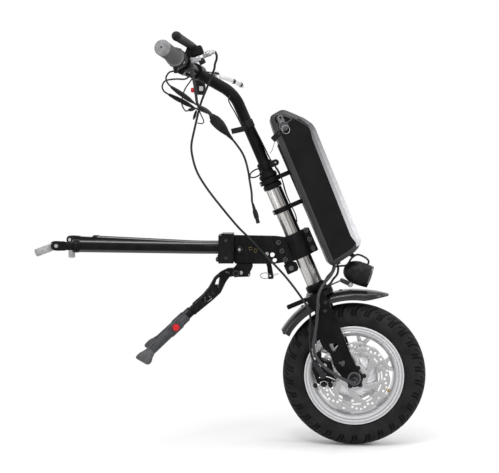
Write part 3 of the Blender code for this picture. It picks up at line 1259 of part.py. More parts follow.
def make_stand_leg(name, face, parent):
    """Open-cast upper leg: a swelling back with windows, the guide rod, and an eye square to the pin."""
    outline = [(-0.0075, -0.004), (0.0050, -0.0065), (0.0110, 0.000), (0.0190, 0.010), (0.0244, 0.028),
               (0.0250, 0.046), (0.0171, 0.072), (0.0140, 0.097), (0.0140, STAND_LENGTH),
               (-0.0040, STAND_LENGTH),
               (-0.0075, 0.080), (-0.0078, 0.056), (-0.0045, 0.047), (0.0015, 0.031), (0.0040, 0.017)]
    half = STAND_THICK / 2
    leg = piece(name, side_plate(outline, half, -half), parent, "stand_grey")
    windows = [[(0.0195, 0.0165), (0.0110, 0.0080), (0.0095, 0.0130), (0.0150, 0.0215)],
               [(0.0115, 0.0790), (-0.0040, 0.0780), (-0.0020, 0.0920)],
               [(0.0105, 0.0860), (0.0100, 0.0990), (-0.0005, 0.0960)],
               [(0.0190, 0.0320), (0.0195, 0.0440), (0.0110, 0.0600), (0.0040, 0.0520)]]
    cuts = [side_plate(w, 0.02, -0.02) for w in windows]
    cuts.append(cross_bar(0.0028, (0.0030, 0.0690), 0.02, -0.02, 10))
    boolean(leg, together(*cuts))
    collar = STAND_LENGTH - 0.012
    rod = [(0, STAND_LENGTH - 0.020), (SLIDER_RADIUS, STAND_LENGTH - 0.020), (SLIDER_RADIUS, collar),
           (SLIDER_RADIUS + 0.0020, collar), (SLIDER_RADIUS + 0.0020, STAND_LENGTH + 0.003),
           (SLIDER_RADIUS, STAND_LENGTH + 0.003), (SLIDER_RADIUS, LOWER_START + SLIDER_REACH),
           (0, LOWER_START + SLIDER_REACH)]
    boolean(leg, moved(turned(rod, 16), shift(LEG_LINE)), "UNION")
    square = stand_leg_frame(face).inverted()
    inner, outer = STAND_SIDE - half, STAND_SIDE + half
    near, far = max(face * outer, face * inner), min(face * outer, face * inner)
    boolean(leg, moved(cross_bar(STAND_EYE, (0, 0), near, far, 18), square), "UNION")
    clear = box((-0.033, min(-face * inner, face * 0.003), -0.031),
                (0.043, max(-face * inner, face * 0.003), 0.067))
    boolean(leg, moved(clear, square))
    boolean(leg, moved(cross_bar(STAND_PIN + RUNNING_GAP, (0, 0), near + 0.004, far - 0.004, 14), square))
    return leg


def make_stand_tube(name, face, parent):
    """Lower leg tube that slides on the guide rod, with a thicker sleeve and a boss for the
    release button."""
    end = LOWER_START + LOWER_LENGTH
    bore = SLIDER_RADIUS + RUNNING_GAP
    sleeve = LOWER_RADIUS + 0.0016
    profile = [(LOWER_RADIUS, LOWER_START), (LOWER_RADIUS, BUTTON_AT - 0.017), (sleeve, BUTTON_AT - 0.016),
               (sleeve, BUTTON_AT + 0.016), (LOWER_RADIUS, BUTTON_AT + 0.017), (LOWER_RADIUS, end),
               (bore, end),
               (bore, LOWER_START)]
    made = piece(name, moved(turned(profile, 18), shift(LEG_LINE)), parent, "stand_grey")
    near, far = max(face * BUTTON_FACE, face * 0.0095), min(face * BUTTON_FACE, face * 0.0095)
    boolean(made, cross_bar(STAND_BUTTON + 0.0022, (LEG_LINE, BUTTON_AT), near, far, 18), "UNION")
    near, far = max(face * 0.030, face * BUTTON_SEAT), min(face * 0.030, face * BUTTON_SEAT)
    boolean(made, cross_bar(STAND_BUTTON + RUNNING_GAP, (LEG_LINE, BUTTON_AT), near, far, 16))
    return made


def make_stand_button(name, face, parent):
    """Red release button in its boss, at rest 1.5 mm proud, made round its own centre."""
    deep = (BUTTON_FACE - BUTTON_SEAT) / 2
    ends = (face * (deep + 0.0010), face * (0.0015 - deep))
    shape = cross_bar(STAND_BUTTON, (0, 0), max(ends), min(ends), 16, 0.0, 0.0007)
    return piece(name, shape, parent, "signal_red")


def make_stand_foot(name, parent):
    """Wedge-shaped rubber foot over the end of the lower tube."""
    outline = rounded([(0.0180, 0.2890), (-0.0133, 0.2795), (-0.0110, 0.2530), (0.0175, 0.2530)], 0.0035, 3)
    foot = piece(name, chamfered(side_plate(outline, FOOT_HALF, -FOOT_HALF), 0.0020, 2, above=60),
                 parent, "rubber")
    seat = cylinder(LOWER_RADIUS + GAP, 0.24, LOWER_START + LOWER_LENGTH + GAP, 18)
    boolean(foot, moved(seat, shift(LEG_LINE)))
    return foot


def battery_outline():
    """Side outline of the battery in (forward, up the column): a straight back that leans away from
    the column, and a stepped, rounded front."""
    high = BATTERY_REAR + BATTERY_LEAN
    return [(BATTERY_REAR, BATTERY_BOTTOM + 0.0065), (BATTERY_REAR + 0.0085, BATTERY_BOTTOM),
            (BATTERY_FRONT - 0.0230, BATTERY_BOTTOM + 0.0095),
            (BATTERY_FRONT - 0.0070, BATTERY_BOTTOM + 0.0185),
            (BATTERY_FRONT - 0.0012, BATTERY_BOTTOM + 0.0290),
            (BATTERY_FRONT + 0.0040, BATTERY_TOP - 0.0683),
            (BATTERY_FRONT + 0.0016, BATTERY_TOP - 0.0560), (BATTERY_FRONT - 0.0085, BATTERY_TOP - 0.0395),
            (BATTERY_FRONT - 0.0200, BATTERY_TOP - 0.0255), (BATTERY_FRONT - 0.0450, BATTERY_TOP),
            (high + 0.0045, BATTERY_TOP - 0.0040), (high + 0.0008, BATTERY_TOP - 0.0360)]


def make_battery(parent):
    """Battery case with chamfered long edges, the rear channel for its rail, the top recess and the lock."""
    half = BATTERY_WIDTH / 2
    case = piece("battery_case", chamfered(side_plate(battery_outline(), half, -half), BATTERY_BEVEL, 1,
                                           above=60),
                 parent, "battery_plastic")
    wide = RAIL_WIDTH / 2 + GAP
    channel = box((BATTERY_REAR - 0.01, -wide, BATTERY_BOTTOM - 0.01),
                  (RAIL_REAR + RAIL_THICK + GAP, wide, RAIL_TOP + GAP))
    boolean(case, channel)
    recess = rounded([(0.0600, 0.5760), (0.0860, 0.5760), (0.0800, 0.5985), (0.0600, 0.5985)], 0.004, 3)
    boolean(case, side_plate(recess, half + 0.004, half - 0.0025))
    boolean(case, cross_bar(KEY_BARREL, KEY_AT, half + 0.0030, half - 0.0060, 24, 0.0, 0.0010), "UNION")
    boolean(case, cross_bar(0.0032, KEY_AT, half + 0.006, half - 0.004, 14))
    return case


def make_key(parent):
    """Battery key standing in its lock: the shank and a drilled bow."""
    face = BATTERY_WIDTH / 2 + 0.0030
    key = piece("battery_key", cross_bar(0.0028, (0, 0), face + 0.010, face - 0.0060, 12), parent,
                "bright_steel")
    low, high = -face - 0.0240, -face - 0.0070
    bow = rounded([(low, -0.0078), (high, -0.0078), (high, 0.0078), (low, 0.0078)], 0.004, 3)
    upright = Matrix(((0, 0, 1, 0), (1, 0, 0, 0), (0, 1, 0, 0), (0, 0, 0, 1)))
    boolean(key, moved(prism(bow, -0.0012, 0.0012), upright), "UNION")
    hole = cylinder(0.0028, -0.01, 0.01, 12)
    boolean(key, moved(hole, shift(0, -face - KEY_HOLE_OUT, 0) @ Matrix.Rotation(math.radians(90), 4, "Y")))
    return key


def make_cradle(parent):
    """Battery rail with its two arms and the bands round the head tube and the upper cup."""
    front = RAIL_REAR + RAIL_THICK
    rail = box((RAIL_REAR, -RAIL_WIDTH / 2, RAIL_BOTTOM), (front, RAIL_WIDTH / 2, RAIL_TOP))
    cradle = piece("battery_cradle", chamfered(rail, 0.0015), parent, "black_anodised")
    upper_at = HEAD_TUBE_TOP + GAP + 0.019
    bands = ((LOWER_ARM_AT, HEAD_TUBE_RADIUS), (upper_at, CUP_RADIUS - 0.004))
    for at, seat in bands:
        low, high = at - BAND_HEIGHT / 2, at + BAND_HEIGHT / 2
        boolean(cradle, cylinder(seat + BAND_WALL, low, high, 18, seat + GAP, 0.0012), "UNION")
        arm = box((seat + 0.0010, -BAND_ARM_HALF, low + 0.0008),
                  (RAIL_REAR + 0.002, BAND_ARM_HALF, high - 0.0008))
        boolean(cradle, arm, "UNION")
        ears = box((-seat - BAND_WALL - 0.010, -0.0060, low + 0.001), (-seat - 0.0010, 0.0060, high - 0.001))
        boolean(cradle, ears, "UNION")
        slit = box((-seat - BAND_WALL - 0.020, -0.0008, low - 0.002), (-seat + 0.004, 0.0008, high + 0.002))
        boolean(cradle, slit)
    return cradle


def tip_of(frame, along):
    """Point this far out on a frame's z axis."""
    return frame @ Vector((0, 0, along))


def make_leads(steer):
    """Cables held along the column: the brake cable and the motor lead."""
    adjuster = on_bar(1, PERCH_AT, NEAR_CLOCK) @ shift(LEVER_OUT - 0.014) @ Matrix.Rotation(math.pi, 4, "Y")
    out = PERCH_LENGTH / 2 + 0.024 + 2 * GAP
    brake = [tip_of(adjuster, out), tip_of(adjuster, out + 0.007), tip_of(adjuster, out + 0.014),
             (-0.0120, -0.0690, 0.7420), (-0.0399, -0.0690, 0.7134),
             (-0.0688, -0.0703, 0.6844), (-0.1033, -0.0713, 0.6393), (-0.1229, -0.0710, 0.6111),
             (-0.1315, -0.0697, 0.5839), (-0.1354, -0.0640, 0.5522), (-0.1311, -0.0576, 0.5143),
             (-0.1206, -0.0507, 0.4687), (-0.1042, -0.0463, 0.4109), (-0.0919, -0.0452, 0.3791),
             (-0.0723, -0.0465, 0.3259), (-0.0505, -0.0476, 0.2655), (-0.0360, -0.0560, 0.2105),
             (-0.0310, -0.0680, 0.1780), (-0.0396, -0.0700, 0.1498), (-0.0560, -0.0660, 0.1150),
             (-0.0655, -0.0640, 0.0850), (-0.0660, -0.0638, 0.0766), (-0.0660, -0.0638, 0.0706)]
    cord("brake_cable", brake, BRAKE_CABLE, steer, "cable_black")
    end = LEG_SIDE + LEG_THICK + 0.0280 + GAP
    motor = [(0.0560, -0.0200, BATTERY_BOTTOM - 2 * GAP), (0.0540, -0.0210, 0.2370),
             (0.0400, -0.0300, 0.2260),
             (0.0180, -0.0480, 0.2160), (0.0020, -0.0660, 0.2020), (-0.0100, -0.0740, 0.1800),
             (-0.0220, -0.0760, 0.1550),
             (-0.0380, -0.0770, 0.1280), (-0.0520, -0.0780, 0.1050), (-0.0560, -0.0800, 0.0820),
             (-0.0500, -0.0840, 0.0580),
             (-0.0340, -0.0910, 0.0330), (-0.0190, -0.1000, 0.0160), (-0.0080, -0.1050, 0.0060),
             (-0.0015, -0.1035, 0.0010), (0.0, -end - 0.0120, 0.0), (0.0, -end - 0.0060, 0.0),
             (0.0, -end, 0.0)]
    cord("motor_cable", motor, MOTOR_CABLE, steer, "cable_black", 3)


def along_line(first, last):
    """Matrix that lays a shape turned on z along the line from one point to another."""
    a, b = Vector(first), Vector(last)
    return Matrix.Translation(a) @ (b - a).to_track_quat("Z", "Y").to_matrix().to_4x4()


def make_junction(parent):
    """Moulded Y-junction where the control leads from the bar come together."""
    length = (Vector(JUNCTION_END) - Vector(JUNCTION_TOP)).length
    half = JUNCTION_HALF
    profile = [(0, 0), (half * 0.80, 0), (half, length * 0.12), (half, length * 0.42),
               (half * 0.55, length * 0.66),
               (half * 0.50, length * 0.95), (half * 0.40, length), (0, length)]
    shape = moved(turned(profile, 14), Matrix.Scale(0.70, 4, (0, 1, 0)))
    return piece("lead_junction", moved(shape, along_line(JUNCTION_TOP, JUNCTION_END)), parent,
                 "black_plastic")


def make_throttle_lead(parent):
    """Lead from the throttle: a loop behind the bar, then forward and down into the Y-junction."""
    spout = (on_bar(1, BAR_HALF - GRIP_LENGTH - 0.002) @ shift(-0.004, 0, -HOUSING_LENGTH * 0.55)
             @ Matrix.Rotation(math.radians(98), 4, "X"))
    top = Vector(JUNCTION_TOP)
    back = (top - Vector(JUNCTION_END)).normalized()
    route = [tip_of(spout, HOUSING_RADIUS + 0.0106), tip_of(spout, HOUSING_RADIUS + 0.0150),
             tip_of(spout, HOUSING_RADIUS + 0.0195), (-0.0960, -0.1860, 0.7440),
             (-0.1080, -0.1750, 0.7400), (-0.1032, -0.1596, 0.7341), (-0.0771, -0.1021, 0.6888),
             (-0.0690, -0.0820, 0.6760), top + back * 0.010, top + back * GAP]
    return cord("throttle_lead", route, CONTROL_LEAD, parent, "cable_black")


def make_plug(parent):
    """Barrel plug on the hanging lead, with its strain relief."""
    first, last = Vector(PLUG_TOP), Vector(PLUG_END)
    length = (last - first).length
    profile = [(0, 0), (0.0026, 0), (0.0030, 0.010), (0.0046, 0.013), (0.0050, 0.020),
               (0.0050, length - 0.012),
               (0.0040, length - 0.011), (0.0040, length), (0.0022, length), (0.0022, length - 0.008),
               (0, length - 0.008)]
    return piece("cord_plug", moved(turned(profile, 14), along_line(first, last)), parent, "black_plastic")


def make_hanging_cord(parent):
    """Charging lead that hangs free from the Y-junction down to its plug."""
    start, corner = Vector(JUNCTION_TOP), Vector(JUNCTION_END)
    ahead = (corner - start).normalized()
    plug = Vector(PLUG_TOP)
    back = (plug - Vector(PLUG_END)).normalized()
    route = [corner + ahead * GAP, corner + ahead * 0.012, (-0.0304, -0.0368, 0.5568),
             (-0.0300, -0.0368, 0.5365),
             (-0.0340, -0.0372, 0.5113), (-0.0388, -0.0375, 0.4930), (-0.0457, -0.0381, 0.4659),
             plug + back * 0.008,
             plug + back * GAP]
    return cord("hanging_cord", route, CONTROL_LEAD, parent, "cable_black")


def clear_scene():
    for old in list(bpy.data.objects):
        bpy.data.objects.remove(old)


def main():
    clear_scene()
    ground = axis_empty("ground", None, (-CENTRE_X, 0, 0))
    lean = Matrix.Rotation(-HEAD_ANGLE, 4, "Y")
    column = axis_empty("column", ground, (WHEEL_X, 0, TYRE_RADIUS), lean)
    steer = axis_empty("steer", column, (0, 0, 0), Matrix.Rotation(STEER_TURN, 4, "Z"))

    make_carrier(ground)
    for side, face, swing in (("near", 1, ARM_NEAR_SWING), ("far", -1, ARM_FAR_SWING)):
        make_arm_tube(f"arm_tube_{side}", face, ground)
        arm = axis_empty(f"arm_axis_{side}", ground, (0, 0, 0), arm_frame(face))
        make_arm_insert(side, arm)
        drop = ARM_CLIMB - swing
        peg = axis_empty(f"peg_axis_{side}", arm, (ARM_LENGTH + INSERT_OUT[side], 0, 0),
                         Matrix.Rotation(drop, 4, "Y"))
        make_support_peg(f"support_peg_{side}", peg)
        make_coupling_plate(f"coupling_plate_{side}", face, column)
    make_tilt_bolt(ground)
    lock = axis_empty("lock_axis", ground, (LOCK_X, 0, LOCK_Z))
    make_release_lever(lock)
    make_release_ring(lock)
    make_wire_anchor(column)

    make_stand_mount(ground)
    stand = axis_empty("stand_axis", ground, (STAND_X, 0, STAND_Z), stand_frame())
    for side, face in (("near", 1), ("far", -1)):
        leg = axis_empty(f"stand_leg_axis_{side}", stand, (0, 0, 0), stand_leg_frame(face))
        make_stand_leg(f"stand_leg_{side}", face, leg)
        make_stand_tube(f"stand_tube_{side}", face, leg)
        make_stand_foot(f"stand_foot_{side}", leg)
        middle = face * (BUTTON_FACE + BUTTON_SEAT) / 2
        button = axis_empty(f"stand_button_axis_{side}", leg, (LEG_LINE, -middle, BUTTON_AT))
        make_stand_button(f"stand_button_{side}", face, button)

    make_head_tube(column)
    make_headset(column)
    make_cradle(column)
    make_battery(column)
    key = axis_empty("key_axis", column, (KEY_AT[0], 0, KEY_AT[1]))
    make_key(key)

    make_crown(steer)
    make_fork_leg("fork_leg_near", 1, steer)
    make_fork_leg("fork_leg_far", -1, steer)
    make_axle(steer)
    make_fender(steer)
    make_collar(steer)
    make_lamp_bracket(steer)
    lamp = axis_empty("lamp_axis", steer, (LAMP_PIVOT[0], 0, LAMP_PIVOT[1]))
    make_lamp(lamp)
    make_calliper(steer)
    arm_at = DISC_SIDE + DISC_THICK / 2 + 0.0210 + GAP
    make_calliper_arm(axis_empty("calliper_axis", steer, (-0.060, -arm_at, 0.034)))
    make_wheel(axis_empty("wheel_axis", steer))

    make_stem(steer)
    make_bar(steer)
    throttle = axis_empty("throttle_axis", steer, (0, 0, 0), on_bar(1, BAR_HALF - GRIP_LENGTH))
    make_grips(steer, throttle)
    make_throttle_housing(steer)
    make_perch("brake_perch_near", 1, NEAR_CLOCK, steer, "black_anodised")
    make_perch("brake_perch_far", -1, FAR_CLOCK, steer, "black_anodised")
    for side, face, clock, aim, finish, tip in (("near", 1, NEAR_CLOCK, NEAR_AIM, "rubber", 0.0098),
                                                ("far", -1, FAR_CLOCK, FAR_AIM, "bright_steel", 0.0062)):
        pivot = axis_empty(f"lever_axis_{side}", steer, (0, 0, 0),
                           on_bar(face, PERCH_AT, clock) @ shift(LEVER_OUT))
        make_lever(f"brake_lever_{side}", face, aim, pivot, finish, tip)
    make_switch(steer)
    well = on_bar(-1, SWITCH_AT) @ shift(-0.014, SWITCH_DROP, 0) @ Matrix.Rotation(math.radians(-90), 4, "Y")
    make_switch_button(axis_empty("button_axis", steer, (0, 0, 0), well))

    make_leads(steer)
    make_junction(steer)
    make_throttle_lead(steer)
    make_hanging_cord(steer)
    make_plug(steer)


main()
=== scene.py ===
"""Finished look of a clip-on electric wheelchair attachment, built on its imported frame.

Metres, +X to the front, +Z up, +Y away from the camera. Tables of points are in tenths of a
millimetre. Most pieces are worked out in the column frame (x forward, square to the column; z up
the column from the axle) or in the steering frame, which is the column frame turned with the fork.
Every piece is a closed surface, as its points and faces, that finished() makes into an object.
"""

import math

import bmesh
import bpy
import numpy as np
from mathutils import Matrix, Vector
from mathutils.geometry import delaunay_2d_cdt


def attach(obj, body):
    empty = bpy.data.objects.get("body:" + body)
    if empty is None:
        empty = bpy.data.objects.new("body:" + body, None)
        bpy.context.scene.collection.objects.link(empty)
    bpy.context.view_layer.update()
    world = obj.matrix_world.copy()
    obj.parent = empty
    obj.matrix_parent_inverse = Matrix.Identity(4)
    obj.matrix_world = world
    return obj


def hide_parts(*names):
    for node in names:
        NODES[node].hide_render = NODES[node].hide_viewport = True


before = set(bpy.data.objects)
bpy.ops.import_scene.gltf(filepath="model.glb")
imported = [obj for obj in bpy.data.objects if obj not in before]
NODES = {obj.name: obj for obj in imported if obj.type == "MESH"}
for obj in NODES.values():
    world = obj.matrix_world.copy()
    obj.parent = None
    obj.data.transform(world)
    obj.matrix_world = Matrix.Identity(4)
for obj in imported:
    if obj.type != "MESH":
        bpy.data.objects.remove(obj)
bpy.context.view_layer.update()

bl_info = {"name": "Wheelchair Attachment Look", "version": (1, 0, 0), "blender": (4, 5, 0),
    "location": "View3D > Sidebar > Attachment",
    "description": "Builds the tyre, wheel, fork, battery, bar, coupling, stand and leads on their frame",
    "category": "Object",}

TAU = 2 * math.pi


# Places.

def shift(x=0.0, y=0.0, z=0.0):
    """4x4 matrix that moves by a distance."""
    made = np.eye(4)
    made[:3, 3] = (x, y, z)
    return made


def turn(axis, degrees):
    """4x4 matrix that turns about one axis by the right-hand rule."""
    c, s = math.cos(math.radians(degrees)), math.sin(math.radians(degrees))
    a, b = {"X": (1, 2), "Y": (2, 0), "Z": (0, 1)}[axis]
    made = np.eye(4)
    made[a, a] = made[b, b] = c
    made[a, b], made[b, a] = -s, s
    return made


def put(points, matrix):
    """Points of any array shape (..., 3) carried by a 4x4 matrix."""
    return points @ matrix[:3, :3].T + matrix[:3, 3]


WHEEL_AT = (0.2604, 0.0, 0.16)  # middle of the axle
LEAN, STEERED = 23.5, 5.0  # degrees: the column's lean back, the fork's turn
UNDER_COLUMN = 0.0254
GROUND = shift(UNDER_COLUMN)  # the coupling's and the arms' frame: upright, its origin under the column
COLUMN = shift(*WHEEL_AT) @ turn("Y", -LEAN)
STEER = COLUMN @ turn("Z", -STEERED)
SIDEWAYS = turn("X", 90.0)  # z of a turned piece points to the near side
AWAY = turn("X", -90.0)  # z of a turned piece points to the far side
AHEAD = turn("Y", 90.0)  # z of a turned piece points forward


def outwards(face):
    """Turns z to the near side for a face of 1 and to the far side for -1."""
    return SIDEWAYS if face > 0 else AWAY


def side_on(matrix, forward, up, out=0.0):
    """Frame at a (forward, up) point whose z points to the near side."""
    return matrix @ shift(forward, -out, up) @ SIDEWAYS


# Surfaces.

def joined(surfaces):
    """Several surfaces as one: their points after one another, and their faces counted on."""
    points, faces, count = [], [], 0
    for spots, corners in surfaces:
        points.append(np.asarray(spots, float).reshape(-1, 3))
        faces += [tuple(int(i) + count for i in f) for f in corners]
        count += len(points[-1])
    return np.vstack(points), faces


def skin(grid, closed=False):
    """Faces of a grid of rings (n rings, m points each): quads between neighbouring rings, every
    ring closed on itself, and either a pole at each end's middle or the last ring joined to the first."""
    n, m = grid.shape[:2]
    rows = np.arange(n if closed else n - 1)[:, None]
    j = np.arange(m)[None, :]
    a, b = rows * m + j, rows * m + (j + 1) % m
    up = (rows + 1) % n
    quads = np.stack([a, b, up * m + (j + 1) % m, up * m + j], -1).reshape(-1, 4)
    points = grid.reshape(-1, 3)
    faces = quads.tolist()
    if not closed:
        points = np.vstack([points, grid[0].mean(0), grid[-1].mean(0)])
        k = np.arange(m)
        first = np.stack([(k + 1) % m, k, np.full(m, n * m)], -1)
        last = np.stack([(n - 1) * m + k, (n - 1) * m + (k + 1) % m, np.full(m, n * m + 1)], -1)
        faces += first.tolist() + last.tolist()
    return points, faces


def tenths(*rows):
    """Points given in tenths of a millimetre."""
    return [tuple(value / 1e4 for value in row) for row in rows]


def moved(surface, matrix):
    """A surface, as points and faces, carried by a matrix."""
    return put(surface[0], matrix), surface[1]


def turned(profile, sides=40, six=(), closed=False):
    """A profile of (radius, height) turned about z: x = r cos t, y = r sin t, z = height. Rings whose
    index is in six are hexagons, where r is divided by the cosine of the angle to the nearest flat."""
    r, z = np.array(profile, float).T
    t = TAU * np.arange(sides) / sides
    flat = np.cos((t + math.pi / 6) % (math.pi / 3) - math.pi / 6)
    size = np.repeat(r[:, None], sides, 1)
    for k in six:
        size[k] = r[k] * math.cos(math.pi / 6) / flat
    size = np.maximum(size, 1e-6)  # a point on the axis keeps its ring
    grid = np.stack([size * np.cos(t), size * np.sin(t), np.repeat(z[:, None], sides, 1)], -1)
    return skin(grid, closed)


def flowing(points, count):
    """A smooth curve through the points: Catmull-Rom pieces sampled at even steps of length."""
    p = np.array(points, float)
    p = np.vstack([2 * p[0] - p[1], p, 2 * p[-1] - p[-2]])
    t = np.linspace(0, 1, 24, endpoint=False)[:, None, None]
    a, b, c, d = p[:-3], p[1:-2], p[2:-1], p[3:]
    fine = 0.5 * (2 * b + (c - a) * t + (2 * a - 5 * b + 4 * c - d) * t ** 2 + (3 * b - a - 3 * c + d) * t ** 3)
    fine = np.vstack([fine.transpose(1, 0, 2).reshape(-1, p.shape[1]), p[-2]])
    walked = np.concatenate([[0], np.cumsum(np.linalg.norm(np.diff(fine, axis=0), axis=1))])
    at = np.linspace(0, walked[-1], count)
    return np.stack([np.interp(at, walked, fine[:, k]) for k in range(p.shape[1])], -1)


def carried(path, sides=14, radius=0.003, closed=False, section=None):
    """A round or given section carried along a path: centre + r (side cos t + up sin t). The side keeps
    square to the tangent with as little twist as it can from one ring to the next."""
    path = np.array(path, float)
    ahead = np.gradient(path, axis=0)
    if closed:
        ahead = np.roll(path, -1, 0) - np.roll(path, 1, 0)
    ahead /= np.linalg.norm(ahead, axis=1, keepdims=True)
    if closed:
        side = np.cross(ahead, np.linalg.svd(ahead)[2][-1])
    else:
        side = np.empty_like(ahead)
        last = np.cross(ahead[0], np.eye(3)[np.argmin(np.abs(ahead[0]))])
        for k, way in enumerate(ahead):
            last = last - way * (last @ way)
            last /= np.linalg.norm(last)
            side[k] = last
    side /= np.linalg.norm(side, axis=1, keepdims=True)
    up = np.cross(side, ahead)
    t = TAU * np.arange(sides) / sides
    r = np.broadcast_to(np.asarray(radius, float), len(path))[:, None, None]
    if section is None:
        across, high = np.cos(t), np.sin(t)
    else:
        across, high = np.array(section, float).T
        r = np.ones((len(path), 1, 1))
    grid = path[:, None] + r * (side[:, None] * across[None, :, None] + up[:, None] * high[None, :, None])
    return skin(grid, closed)


def ringed(middle, radius, wire, matrix, sides=40):
    """A wire ring in the x-z plane of a frame."""
    t = TAU * np.arange(sides) / sides
    path = np.stack([middle[0] + radius * np.cos(t), np.zeros(sides) + middle[1],
        middle[2] + radius * np.sin(t)], -1)
    return moved(carried(path, 10, wire, closed=True), matrix)


def softened(corners, radius, steps=5):
    """An outline with its corners rounded: at each corner a quadratic curve between the two points that
    lie the radius away along its sides, (1-t)^2 A + 2t(1-t) C + t^2 B."""
    c = np.array(corners, float)
    r = np.broadcast_to(np.asarray(radius, float), len(c))[:, None]
    back, ahead = np.roll(c, 1, 0) - c, np.roll(c, -1, 0) - c
    lb, la = np.linalg.norm(back, axis=1, keepdims=True), np.linalg.norm(ahead, axis=1, keepdims=True)
    first = c + back / lb * np.minimum(r, 0.48 * lb)
    last = c + ahead / la * np.minimum(r, 0.48 * la)
    t = np.linspace(0, 1, steps)[None, :, None]
    return ((1 - t) ** 2 * first[:, None] + 2 * t * (1 - t) * c[:, None]
        + t ** 2 * last[:, None]).reshape(-1, 2)


def long_round(first, last, radius, steps=9):
    """Outline of a link with round ends: half circles about two points."""
    first, last = np.array(first, float), np.array(last, float)
    a = math.atan2(*(last - first)[::-1])
    t = np.linspace(-math.pi / 2, math.pi / 2, steps)
    cap = lambda c, s: c + radius * np.stack([np.cos(s + t), np.sin(s + t)], -1)
    return np.vstack([cap(last, a), cap(first, a + math.pi)])


def circle(at, radius, steps=24):
    """Outline of a circle."""
    t = TAU * np.arange(steps) / steps
    return np.stack([at[0] + radius * np.cos(t), at[1] + radius * np.sin(t)], -1)


def drawn_in(loop, by):
    """A closed outline moved inwards: each point goes along the inward normal of the
    line between its two neighbours."""
    d = np.roll(loop, -1, 0) - np.roll(loop, 1, 0)
    d /= np.maximum(np.linalg.norm(d, axis=1, keepdims=True), 1e-9)
    area = 0.5 * np.sum(loop[:, 0] * np.roll(loop[:, 1], -1) - loop[:, 1] * np.roll(loop[:, 0], -1))
    return loop + by * math.copysign(1, area) * np.stack([-d[:, 1], d[:, 0]], -1)


def within(points, loop):
    """Which points lie inside a closed outline: an odd number of its sides pass to their right."""
    a, b = loop[None], np.roll(loop, -1, 0)[None]
    p = points[:, None]
    crosses = (a[..., 1] > p[..., 1]) != (b[..., 1] > p[..., 1])
    rise = np.where(crosses, b[..., 1] - a[..., 1], 1.0)
    at = a[..., 0] + (p[..., 1] - a[..., 1]) * (b[..., 0] - a[..., 0]) / rise
    return np.sum(crosses & (at > p[..., 0]), 1) % 2 == 1


def filled(rims):
    """Corner points and triangles of the area inside the first closed outline and outside the others."""
    edges, start = [], 0
    for rim in rims:
        edges += [(start + i, start + (i + 1) % len(rim)) for i in range(len(rim))]
        start += len(rim)
    made = delaunay_2d_cdt([Vector(p) for rim in rims for p in rim], edges, [], 1, 1e-7)
    spots, corners = np.array([tuple(v) for v in made[0]]), np.array(made[2])
    middle = spots[corners].mean(1)
    keep = within(middle, rims[0])
    for rim in rims[1:]:
        keep &= ~within(middle, rim)
    return spots, corners[keep].tolist()


def raised(flat, height):
    """Flat points at a height."""
    return np.column_stack([flat, np.full(len(flat), height)])


def wall(rings, levels):
    """Side walls between outlines at their levels, without the ends: the poles of the skin are left out."""
    points, faces = skin(np.stack([raised(ring, z) for ring, z in zip(rings, levels)]))
    return points[:-2], [f for f in faces if len(f) == 4]


def lofted(outline, insets, levels, matrix):
    """A closed body from one outline drawn in by each inset at each level, its two ends triangulated."""
    rings = [drawn_in(outline, i) for i in insets]
    parts = [wall(rings, levels)]
    for k in (0, -1):
        spots, faces = filled([rings[k]])
        parts.append((raised(spots, levels[k]), faces))
    return moved(joined(parts), matrix)


def plate(outline, low, high, edge=0.0008, holes=(), matrix=None):
    """A flat plate with rounded edges and holes: side walls are rings of the outlines drawn in by
    edge (1 - sin a) at heights edge (1 - cos a) from each face; the faces are triangulated between loops."""
    loops = [np.array(outline, float)] + [np.array(h, float) for h in holes]
    a = np.linspace(0, math.pi / 2, 4)
    inset = np.concatenate([edge * (1 - np.sin(a)), edge * (1 - np.sin(a))[::-1]])
    level = np.concatenate([low + edge * (1 - np.cos(a)), high - edge * (1 - np.cos(a))[::-1]])
    parts = [wall([drawn_in(loop, i if k == 0 else -i) for i in inset], level) for k, loop in enumerate(loops)]
    spots, faces = filled([drawn_in(loop, edge if k == 0 else -edge) for k, loop in enumerate(loops)])
    parts += [(raised(spots, z), faces) for z in (low, high)]
    return moved(joined(parts), np.eye(4) if matrix is None else matrix)


def block(low, high, edge=0.0008, matrix=None):
    """A rounded block between two corners."""
    outline = softened([(low[0], low[1]), (high[0], low[1]), (high[0], high[1]), (low[0], high[1])], edge, 4)
    return plate(outline, low[2], high[2], edge * 0.9, (), matrix)


def side_plate(outline, near, far, edge, holes, matrix):
    """A plate drawn in (forward, up) that reaches from one side distance to another."""
    return plate(outline, min(near, far), max(near, far), edge, holes, matrix @ SIDEWAYS)


def cap_bolt(radius, height, matrix, socket=True):
    """A round bolt head with a hexagon socket, standing on z = 0."""
    r, h = radius, height
    profile = [(0, -0.001), (r, -0.001), (r, h - r * 0.15), (r * 0.88, h), (r * 0.55, h)]
    profile += [(r * 0.52, h * 0.35), (0, h * 0.35)] if socket else [(r * 0.3, h + r * 0.1), (0, h + r * 0.12)]
    return moved(turned(profile, 24, (4, 5) if socket else ()), matrix)


def nut(radius, height, matrix):
    """A hexagon nut on z = 0 with chamfered corners and the end of its bolt."""
    r, h = radius, height
    profile = [(0, 0), (r * 0.94, 0), (r, h * 0.12), (r, h * 0.88), (r * 0.9, h), (r * 0.55, h),
        (r * 0.5, h * 1.25), (0, h * 1.3)]
    return moved(turned(profile, 36, (1, 2, 3)), matrix)


def hoop(inner, outer, half, edge, matrix, sides=48):
    """A clamp ring round z, its outer edges chamfered by edge (along the radius, along z)."""
    r, z = outer - edge[0], half - edge[1]
    profile = [(inner, -half), (r, -half), (outer, -z), (outer, z), (r, half), (inner, half)]
    return moved(turned(profile, sides, closed=True), matrix)


